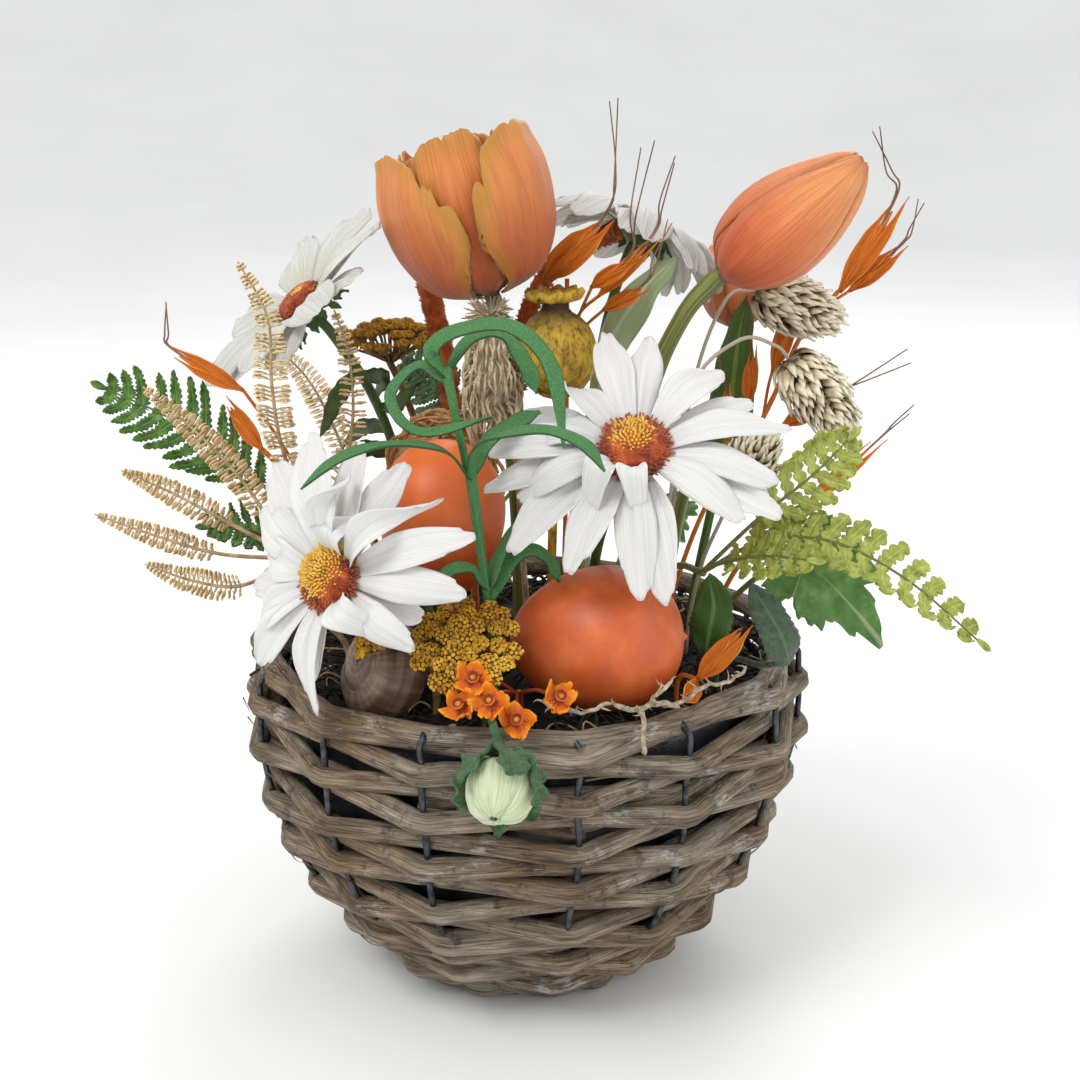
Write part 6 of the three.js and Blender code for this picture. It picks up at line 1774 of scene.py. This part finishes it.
for node, (foot, tip, radius, entry, route) in CANARY.items():
    head = Piece(f"{node}_head")
    dice = random.Random(len(node))
    foot, tip = Vector(foot), Vector(tip)
    axis = stood(foot / 1000, tip - foot)
    long = (tip - foot).length
    places = []
    for k in range(SCALES):
        share = (k / (SCALES - 1)) ** 0.92
        level = long * (0.02 + 0.8 * share)
        wide = radius * math.sin(math.pi * min(0.97, 0.12 + 0.85 * share)) ** 0.75 * 0.72
        lean = 0.86 - 0.56 * share + dice.uniform(-0.12, 0.12)
        size = Matrix.Scale(dice.uniform(6.2, 8.4) * (1 - 0.25 * share) / 1000, 4)
        turn = Matrix.Rotation(k * SPIRAL + dice.uniform(-0.1, 0.1), 4, "Z")
        out = Matrix.Translation(mm(wide, 0, level)) @ Matrix.Rotation(lean, 4, "Y")
        twist = Matrix.Rotation(dice.uniform(-0.4, 0.4), 4, "X")
        twist = twist @ Matrix.Rotation(dice.uniform(-0.6, 0.6), 4, "Z")
        places.append(axis @ turn @ out @ twist @ size)
    head.copies(paper_scale(), places)
    inside = [(0, 0), (0.4 * radius, 1), (0.72 * radius, 0.3 * long), (0.6 * radius, 0.65 * long)]
    head.add(turned(inside + [(0, 0.95 * long)], 14), at=axis)
    head.add(stem(entry, route, 0.0007, 44, 6, seed=STEM_MARK))
    head.finish([papery.material], "straw", node)

# %% [markdown]
# ## Dyed oats
# An oat spikelet is a pair of smooth boat-shaped glumes that part at the tip, with the tip of a
# grain between them. Most have a pair of awns: long, thin bristles with a kink. The sprays are
# dyed orange.

# %% Oat spikelets
GLUME_WIDTHS = [(0, 0.25), (0.3, 0.66), (0.6, 0.5), (0.85, 0.16)]


def glume(foot, tip, half, side, face):
    """A boat-shaped husk that bows away from its partner. half is in millimetres."""
    sideways = (tip - foot).cross(face).normalized() * side
    reach = tip + sideways * (tip - foot).length * 0.05
    middle = (foot + reach) / 2 + sideways * half / 1000 * 0.4
    table = [(where, share * half) for where, share in GLUME_WIDTHS] + [(1, 0.05)]
    blade = on_rib(smooth([foot, middle, reach], 18), widths(table), face, -0.7, 0.0001, 2)
    return leaf(blade, 8, 20, 0.0004)


def awn(foot, tip, end, loose, dice):
    """A kinked bristle from inside the husk to its end, which a loose one swings aside."""
    long = (end - tip).length
    swing = Vector((dice.uniform(-0.16, 0.16), dice.uniform(-0.1, 0.1), dice.uniform(-0.2, 0)))
    swing = swing * long * loose
    shift = Vector((dice.uniform(-0.08, 0.08), 0, dice.uniform(-0.08, 0.08))) * long
    kink = tip.lerp(end, 0.4) + shift
    path = smooth([foot.lerp(tip, 0.6), tip.lerp(kink, 0.3), kink + swing * 0.3, end + swing], 24)
    return stalk(path, lambda t: 0.0004 * (1 - 0.5 * t), 4)


def spikelet(spray, dice, foot, tip, half, end):
    """Adds two glumes, a grain and, where an end is given, two awns to a spray."""
    foot, tip = mm(*foot), mm(*tip)
    face = Vector((dice.uniform(-0.3, 0.3), -1, 0.2))
    for side in (1, -1):
        spray.add(glume(foot, foot.lerp(tip, 0.98 + 0.07 * side), half, side, face))
    grain = smooth([foot, foot.lerp(tip, 0.4), foot.lerp(tip, 0.86)], 12)
    girth = lambda t: half / 2000 * math.sin(math.pi * min(1, 0.1 + 0.86 * t)) + 0.0001
    spray.add(stalk(grain, girth, 8, 0.7, seed=2))
    for loose in (0, 1) if end else ():
        spray.add(awn(foot, tip, mm(*end), loose, dice), 1)


OAT_TONES = (0.3, 176, 80, 8), (0.52, 212, 112, 12), (0.74, 236, 158, 48)
oat_orange = cloudy("oat_orange", 0.5, (3, 4), *OAT_TONES, stretch=(8, 0.8, 1), depth=0.0006)
oat_awn = cloudy("oat_awn", 0.7, (60,), (0.35, 84, 58, 44), (0.7, 150, 112, 86))
# Each row: entry and route of the stem, and its spikelets. Each spikelet: where its own stalk
# starts, foot, tip, size, and the end of its awns.
OATS = {
    "oats_left": ((-44, 8), [(-52, 4, 150), (-70, -20, 172), (-84, -32, 190.8)], [
        (None, (-84, -32, 190.8), (-95.3, -32, 207), 2.6, None),
        ((-70, -20, 172), (-88.7, -36, 211), (-111, -38, 224), 2.5, (-111.5, -36, 239)),
    ]),
    "oats_middle": ((13, 6), [(14, 6, 170), (14, 4, 215), (14, 3, 241)], [
        ((14, 4, 215), (22, -3, 239), (35, -13, 249), 2.6, (41, -17, 287)),
        ((14, 4, 228), (7, 2, 241), (27, -10, 262), 4.8, (29.4, -16, 300)),
        ((14, 4, 222), (24, -4, 236), (42, -12, 256), 2.2, (48, -12, 282)),
        ((14, 4, 215), (26, 0, 231), (40, -9, 240), 2.4, (46, -12, 262)),
    ]),
    "oats_right": ((50, 8), [(62, 8, 160), (82, 12, 192), (96, 26, 218), (108, 24, 234)], [
        (None, (108, 22, 234), (127, 20, 266), 3.6, (117, 12, 290)),
        ((96, 26, 218), (112, 25, 234), (129, 22, 250), 3, (132, 16, 266)),
        ((82, 12, 192), (86, 23, 206), (94, 28, 232), 3.2, None),
        ((72, 10, 176), (77, 14, 196), (78, 14, 216), 2.4, (74, 14, 226)),
        ((68, 9, 170), (70, 12, 184), (69, 12, 203), 2.4, (66, 12, 214)),
        ((82, 12, 192), (88, 14, 202), (98, 10, 214), 2.2, None),
        ((62, 8, 160), (88, 8, 190), (106, 4, 202), 3, (128, 0, 218)),
    ]),
    "oats_low_right": ((62, -16), [(70, -18, 145), (84, -17, 160), (94, -15, 168)], [
        (None, (94, -15, 168), (118, -12, 190), 2.2, (129, -10, 201)),
    ]),
    "oats_front": ((49, -56), [(55, -60, 123)], [
        (None, (55, -60, 123), (70, -60, 141), 3.6, None),
        (None, (54, -61, 122), (49, -78, 122), 3.4, None),
    ]),
}
for node, (entry, route, spikelets) in OATS.items():
    spray = Piece(f"{node}_spray")
    dice = random.Random(len(node) + 2)
    spray.add(stem(entry, route, 0.0009, 40, 6))
    for start, foot, *rest in spikelets:
        if start:
            spray.add(side_stalk(mm(*start), mm(*foot), 14))
        spikelet(spray, dice, foot, *rest)
    spray.finish([oat_orange, oat_awn], "oat_orange", node)

# %% [markdown]
# ## Ferns
# A frond is a thin rib with pairs of leaflets, which narrow towards its tip. The bleached ones
# are dry, and their leaflets are rolled into small curls. The green and the lime ones are cut
# from plastic with rounded lobes and a pressed midrib.

# %% A frond of leaflets
RIB_POINTS = 64
RIB_RADIUS = 0.0007
DRY_PITCH = 0.0024
CURL = [(0, 0, 0), (0.55, 0.12, 0.25), (1, 0.3, 0.22), (1.08, 0.42, -0.2)]
CURL += [(0.7, 0.4, -0.42), (0.45, 0.36, -0.2)]


def dry_leaflet(spot, side, long, lean, pitch, seed):
    """A leaflet that is rolled into a small curl."""
    points = [spot @ Vector((side * x * long, z * long * 0.8, lean * y * long * 3)) for x, y, z in CURL]
    frill = lambda t: (0.6 + 0.4 * math.sin(math.pi * t)) * (1 + 0.3 * math.sin(20 * t + seed))
    facing = spot.to_3x3() @ Vector((0, 0.6, 1))
    blade = on_rib(smooth(points, 12), lambda t: pitch * 0.3 * frill(t), facing, 0.5, 0.0002, 3, seed=seed)
    return leaf(blade, 3, 12, 0.0004, seed)


def cut_leaflet(spot, side, long, lean, pitch, seed, cut, dice):
    """A plastic leaflet. cut gives its lobes, its half width, and that width's start and change."""
    lobes, slim, start, change = cut
    tip = Vector((side * long, -0.0006 - long * dice.uniform(0.02, 0.2), lean * long))
    middle = Vector((side * long * 0.55, 0.0008, lean * long * 0.42))
    rib = smooth([spot @ point for point in (Vector((0, 0, 0)), middle, tip)], 12)

    def half(t):
        round_end = math.sqrt(max(0, 1 - max(0, (t - 0.72) / 0.28) ** 2)) + 0.02
        scallop = 0.62 + 0.6 * abs(math.sin(lobes * math.pi * t + seed)) ** 0.8
        return pitch * slim * (start + change * t) * round_end * scallop

    blade = on_rib(rib, half, spot.to_3x3() @ Vector((0, 1, 0)), 0.12, 0.0004, 2, seed=seed)
    return leaf(blade, 6, 30, 0.0005, seed)


def frond(fern, dice, cut, sweep, points, face, reach, start, pairs=None):
    """Adds a rib and its leaflets to a fern. A dry frond has as many pairs as its rib has room for."""
    path = through(points, RIB_POINTS)
    frames = stations(path, face, carried=False)
    length = sum((b - a).length for a, b in zip(path, path[1:]))
    fern.add(stalk(path, lambda t: RIB_RADIUS * (1.1 - 0.7 * t), 8), 1)
    count = pairs or round(length / DRY_PITCH)
    pitch = length * (1 - start) / (count + 0.4)
    for k in range(count):
        share = start + (1 - start) * (k + 0.35) / (count + 0.4)
        spot = frames[min(RIB_POINTS - 1, round(share * (RIB_POINTS - 1)))]
        wide = reach * math.sin(math.pi * (0.22 + 0.72 * k / count)) / 1000
        if not cut:
            wide = wide * 0.62 * (1 - 0.45 * k / count)
        for side in (1, -1):
            lean = sweep * dice.uniform(0.85, 1.2)
            long = wide * dice.uniform(0.92, 1.08)
            seed = dice.random() * 40
            if cut:
                fern.add(cut_leaflet(spot, side, long, lean, pitch, seed, cut, dice))
            else:
                fern.add(dry_leaflet(spot, side, long, lean, pitch, seed))
    if cut:
        rib = [frames[-1] @ Vector((0, 0, z)) for z in (-0.004, 0, 0.002)]
        tip_half = lambda t: 0.0014 * math.sin(math.pi * (0.1 + 0.85 * t))
        fern.add(leaf(on_rib(rib, tip_half, face), 4, 6, 0.0005))


def fern_cloth(name, roughness, dark, middle, light):
    made = Finish(name, roughness, subsurface_weight=0.1, subsurface_scale=0.003)
    across = made.split(made.flow, 0)
    grain = made.cloud(made.place, 260, 4, 0.6)
    tone = made.ramp(grain, (0.28, *dark), (0.5, *middle), (0.72, *light))
    pressed = made.between(across * across, 0.0, 0.06)
    return made.paint(made.blend(pressed * 0.4 + 0.6, tint(*light), tone), grain * 0.5 + pressed, 0.0006)


bleached = fern_cloth("fern_bleached", 0.85, (172, 144, 100), (220, 194, 148), (240, 222, 184))
green = fern_cloth("fern_green", 0.5, (26, 62, 20), (54, 104, 32), (104, 152, 54))
shaded = fern_cloth("fern_shaded", 0.5, (16, 42, 18), (34, 72, 30), (62, 104, 44))
lime = fern_cloth("fern_lime", 0.5, (104, 116, 42), (150, 162, 66), (188, 196, 100))
rib_tan = cloudy("rib_tan", 0.8, (300,), (0.3, 134, 106, 70), (0.7, 196, 168, 124))
NARROW_CUT = (9, 0.36, 1.1, -0.62)
BROAD_CUT = (4, 0.42, 0.7, 0.3)
# Each kind: the leaflets' cut, their cloth, the ribs' cloth and the slot.
DRY = (None, bleached, rib_tan, "fern_bleached")
GREEN = (NARROW_CUT, green, olive, "fern_green")
SHADED = (NARROW_CUT, shaded, olive, "fern_green")
LIME = (BROAD_CUT, lime, olive, "fern_lime")
LEFT = (-0.1, -1, 0.25)
# Each row: kind, entry, route, sweep and fronds. Each frond: the rib, its facing, the reach of
# its longest leaflets, the share of the rib that is bare, and its pairs if it is cut.
FERNS = {
    "fern_bleached_upright": (DRY, (-54, -12), [(-62, -16, 140), (-70, -20, 165)], 0.2, [
        ([(-70, -20, 163), (-77, -34, 190), (-78, -46, 214), (-78, -49, 236), (-86, -50, 253)], LEFT, 9, 0.2),
        ([(-69, -19, 162), (-60, -19, 180), (-56, -20, 200), (-57, -20, 220), (-61, -20, 234)], LEFT, 7, 0.2),
    ]),
    "fern_bleached_side": (DRY, (-60, -24), [(-70, -28, 135), (-78, -34, 158)], 0.3, [
        ([(-77, -33, 156), (-90, -30, 178), (-106, -26, 195), (-124, -20, 209)], LEFT, 8, 0.2),
        ([(-78, -34, 157), (-96, -36, 168), (-114, -36, 178), (-130, -32, 184)], LEFT, 7, 0.3),
        ([(-78, -34, 155), (-98, -42, 159), (-118, -42, 165), (-138, -38, 171)], LEFT, 6, 0.36),
        ([(-77, -34, 153), (-91, -48, 150), (-106, -51, 153), (-120, -50, 158)], LEFT, 7, 0.3),
    ]),
    "fern_green_left": (GREEN, (-62, 6), [(-70, 8, 135), (-80, 10, 160)], 0.62, [
        ([(-79, 9.5, 157), (-100, 10, 176), (-122, 10, 192), (-147, 10, 204)], (0.3, -1, 0.5), 15, 0.2, 11),
        ([(-71, 8, 137), (-84, 0, 150), (-96, -8, 158), (-109, -14, 160)], (0.2, -0.7, 1), 10, 0.2, 7),
    ]),
    "fern_lime": (LIME, (44, -14), [(46, -20, 140), (50, -32, 152), (58, -41, 152)], 0.5, [
        (
            [(57, -40.4, 152), (76, -45, 164), (98, -46, 164), (122, -48, 152), (148, -50, 130)],
            (0.2, -0.7, 1), 12, 0.2, 12,
        ),
        ([(57, -40, 152), (74, -42, 170), (92, -38, 184), (106, -33, 197)], (0.4, -1, 0.2), 11, 0.34, 8),
        ([(56, -39.4, 152), (64, -54, 160), (76, -62, 164), (91, -64, 163)], (0, -0.8, 0.7), 8, 0.3, 6),
    ]),
    "fern_back": (SHADED, (-10, 44), [(-12, 52, 135), (-14, 58, 150)], 0.45, [
        ([(-14, 57, 147), (-24, 70, 172), (-36, 78, 190), (-48, 82, 201)], (0, 1, 0.5), 14, 0.2, 10),
        ([(-13, 56, 145), (2, 72, 160), (14, 84, 166), (29, 94, 162)], (0.2, 0.6, 1), 13, 0.2, 9),
    ]),
    "fern_bleached_back": (DRY, (-50, 40), [(-58, 48, 138), (-64, 54, 158)], 0.25, [
        ([(-63, 53, 155), (-72, 60, 178), (-82, 64, 196), (-95, 66, 209)], (-0.3, 1, 0.3), 9, 0.2),
    ]),
}
for node, (kind, entry, route, sweep, fronds) in FERNS.items():
    cut, cloth, rib_cloth, slot = kind
    fern = Piece(f"{node}_fronds")
    dice = random.Random(len(node))
    for row in fronds:
        frond(fern, dice, cut, sweep, *row)
    fern.add(stem(entry, route, 0.0011), 1)
    fern.finish([cloth, rib_cloth], slot, node)

# %% [markdown]
# ## Broad leaves
# The ivy leaves have five lobes and pale veins. They are bent onto their own midrib, and the
# outline is given by its distance from the point where the veins meet. Two smaller leaves have
# a toothed edge: one is dark felt, and the other is plain green.

# %% Ivy leaves
# Each row: the angle from the leaf's tip in degrees, and the distance in millimetres.
IVY_OUTLINE = [(0, 38.5), (10, 29.4), (24, 21.6), (36, 23.6), (55, 20.8), (73, 13.6), (96, 18.4), (118, 17)]
IVY_OUTLINE += [(139, 10.6), (174, 8)]
IVY_ANGLE = math.radians(174)
IVY_LENGTH = 46
VEINS_MEET = 8


def ivy(points, face, size):
    """A leaf on its midrib, with u as the turn about the veins' meeting point."""
    frames = stations(through(points, 30), face, carried=False)

    def place(u, v):
        angle = IVY_ANGLE * u
        toothed = 1 + 0.05 * v**5 * math.sin(34 * angle)
        far = read_off(IVY_OUTLINE, abs(math.degrees(angle))) * v * toothed
        y = far * math.sin(angle)
        share = min(1, max(0, VEINS_MEET + far * math.cos(angle)) / IVY_LENGTH)
        vein = 0.35 * abs(math.cos(2.5 * angle)) ** 6 * v
        out = 0.012 * y * y + 0.03 * math.sin(9 * math.pi * share) * abs(y) + vein
        return station_at(frames, share) @ (Vector((y, -out, 0)) * size / 1000)

    return leaf(place, 120, 14, 0.0008)


ivy_cloth = Finish("ivy_green", 0.5, subsurface_weight=0.08, subsurface_scale=0.003)
half_turns = ivy_cloth.split(ivy_cloth.flow, 0) * 7.59
away = ivy_cloth.split(ivy_cloth.flow, 1)
ray = ivy_cloth.node("ShaderNodeMath", {"operation": "COSINE"}, {0: half_turns})
veins = ivy_cloth.between(ray * ray + away * 0.006, 0.996, 1.005)
mottled = ivy_cloth.cloud(ivy_cloth.place, 150, 5, 0.6)
ivy_tone = ivy_cloth.ramp(mottled, (0.3, 50, 92, 32), (0.55, 84, 130, 56), (0.75, 124, 160, 88))
veined = ivy_cloth.blend(veins * 0.6, ivy_tone, tint(176, 192, 142))
ivy_cloth.paint(veined, mottled + veins * 0.6, 0.0007)
# Each row: entry and route of the stem, and its leaves with midrib, facing and size.
IVIES = {
    "leaf_ivy": ((66, -2), [(74, -4, 134), (90, -10, 150)], [
        ([(88.5, -9.5, 150), (100, -14, 143), (111, -18, 132), (121, -20, 120)], (0.25, -1, 0.35), 1.0),
    ]),
    "leaf_ivy_back": ((34, 56), [(38, 64, 132), (44, 74, 146)], [
        ([(43.4, 73, 145), (50, 82, 140), (57, 91, 132), (62, 98, 122)], (0.3, 0.8, 0.6), 0.9),
        ([(43, 72.6, 144.6), (30, 84, 146), (20, 92, 142), (12, 98, 134)], (0, 0.7, 0.8), 0.8),
    ]),
}
for node, (entry, route, blades) in IVIES.items():
    plant = Piece(f"{node}_blade")
    for row in blades:
        plant.add(ivy(*row))
    plant.add(stem(entry, route, 0.0011), 1)
    plant.finish([ivy_cloth.material, olive], "ivy_green", node)

# %% Serrate leaves
TEETH = 12
felt_leaf = Finish("leaf_felt", 0.9, sheen_weight=0.3)
nap = felt_leaf.cloud(felt_leaf.place, 500, 5, 0.7)
midrib = felt_leaf.between(felt_leaf.split(felt_leaf.flow, 0) ** 2, 0.0, 0.01)
grey_green = felt_leaf.ramp(nap, (0.3, 40, 58, 42), (0.7, 78, 98, 76))
felt_leaf.paint(felt_leaf.blend(midrib * 0.6 + 0.4, tint(96, 114, 88), grey_green), nap, 0.001)
green_leaf = leaf_cloth("leaf_green", (40, 78, 22), (82, 128, 48), (120, 158, 84))
# Each row: entry, route, midrib, facing, cloth and slot.
SERRATE = {
    "leaf_serrate": (
        (64, -37),
        [(77, -46, 122.5), (84, -55, 127)],
        [(84, -54.6, 126.6), (82, -56, 134), (77, -54, 143), (71, -52, 152)],
        (0.4, -0.8, 0.4),
        felt_leaf.material,
        "leaf_felt",
    ),
    "leaf_behind_egg": (
        (60, -30),
        [(60, -32, 125)],
        [(60, -31.8, 123), (61, -34, 131), (62, -34, 140), (60, -33, 149)],
        (0, -1, 0.2),
        green_leaf,
        "leaf_green",
    ),
}


def toothed_half(t):
    tooth = 0.94 + 0.1 * (1 - (t * TEETH) % 1)
    return 0.0068 * math.sin(math.pi * min(1, 0.1 + 0.9 * t)) ** 0.75 * tooth + 0.0001


for node, (entry, route, points, face, cloth, slot) in SERRATE.items():
    plant = Piece(f"{node}_blade")
    plant.add(leaf(on_rib(through(points, 30), toothed_half, face, 0.12, 0.0008, 2), 10, 72, 0.0008))
    plant.add(stem(entry, route, 0.0011, 20))
    plant.finish([cloth], slot, node)

# %% [markdown]
# ## Lichen twigs
# Pale, crooked twigs lie over the front of the rim, with short side spurs.

# %% Twigs
# Each row: the twig's curve, and its radius in millimetres.
TWIGS = [
    ([(48, -75, 119.4), (44, -79, 122), (40, -81, 122.6), (33, -86, 122.8), (27, -85, 125)], 0.85),
    ([(38.5, -82, 122.6), (40, -86, 128), (45, -84, 131)], 0.62),
    ([(34, -85.4, 122.8), (36, -93, 122.8), (36, -99.6, 114)], 0.75),
    ([(46, -76.6, 120.6), (52, -74.5, 123.4), (58, -72, 126)], 0.65),
    ([(27, -85, 125), (19, -86, 122), (11, -85, 122.5), (5, -84, 125)], 0.6),
    ([(17, -86, 122.2), (13, -88, 124.5), (10, -87, 129)], 0.5),
    ([(57, -72.4, 125.6), (64, -66, 124), (70, -60, 127)], 0.6),
]
twigs = Piece("lichen_sprigs")
dice = random.Random(31)
for points, thick in TWIGS:
    path = [point + noise.noise_vector(point * 260) * 0.0009 for point in through(points, 26)]
    twigs.add(stalk(path, knotty(thick, thick * 9, 0.5), 8, seed=thick))
    for k in range(4, 25, 4):
        side = Vector((dice.uniform(-1, 1), dice.uniform(-1, 0.2), dice.uniform(-0.2, 1))).normalized()
        tip = path[k] + side * dice.uniform(2, 5) / 1000
        bow = Vector((dice.uniform(-1, 1), 0, dice.uniform(-1, 1))) * 0.0008
        spur = smooth([path[k], (path[k] + tip) / 2 + bow, tip], 7)
        twigs.add(stalk(spur, lambda t: 0.00042 * (1.1 - t), 5, seed=k))
BARK_TONES = (0.3, 112, 96, 78), (0.5, 170, 154, 130), (0.72, 212, 202, 180)
bark = cloudy("lichen_bark", 0.9, (420, 5, 0.7), *BARK_TONES, depth=0.0009)
twigs.finish([bark], "lichen", "lichen_twigs")

# %% [markdown]
# ## The size of both models
# The box of the dressed object should stay close to the box of the solid one.

# %% Print both boxes and finish
dressed_box = [list(corner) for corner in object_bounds()]
for name, box in (("solid", cad_box), ("dressed", dressed_box)):
    print(name, [round((high - low) * 1000, 1) for low, high in zip(*box)], "mm")
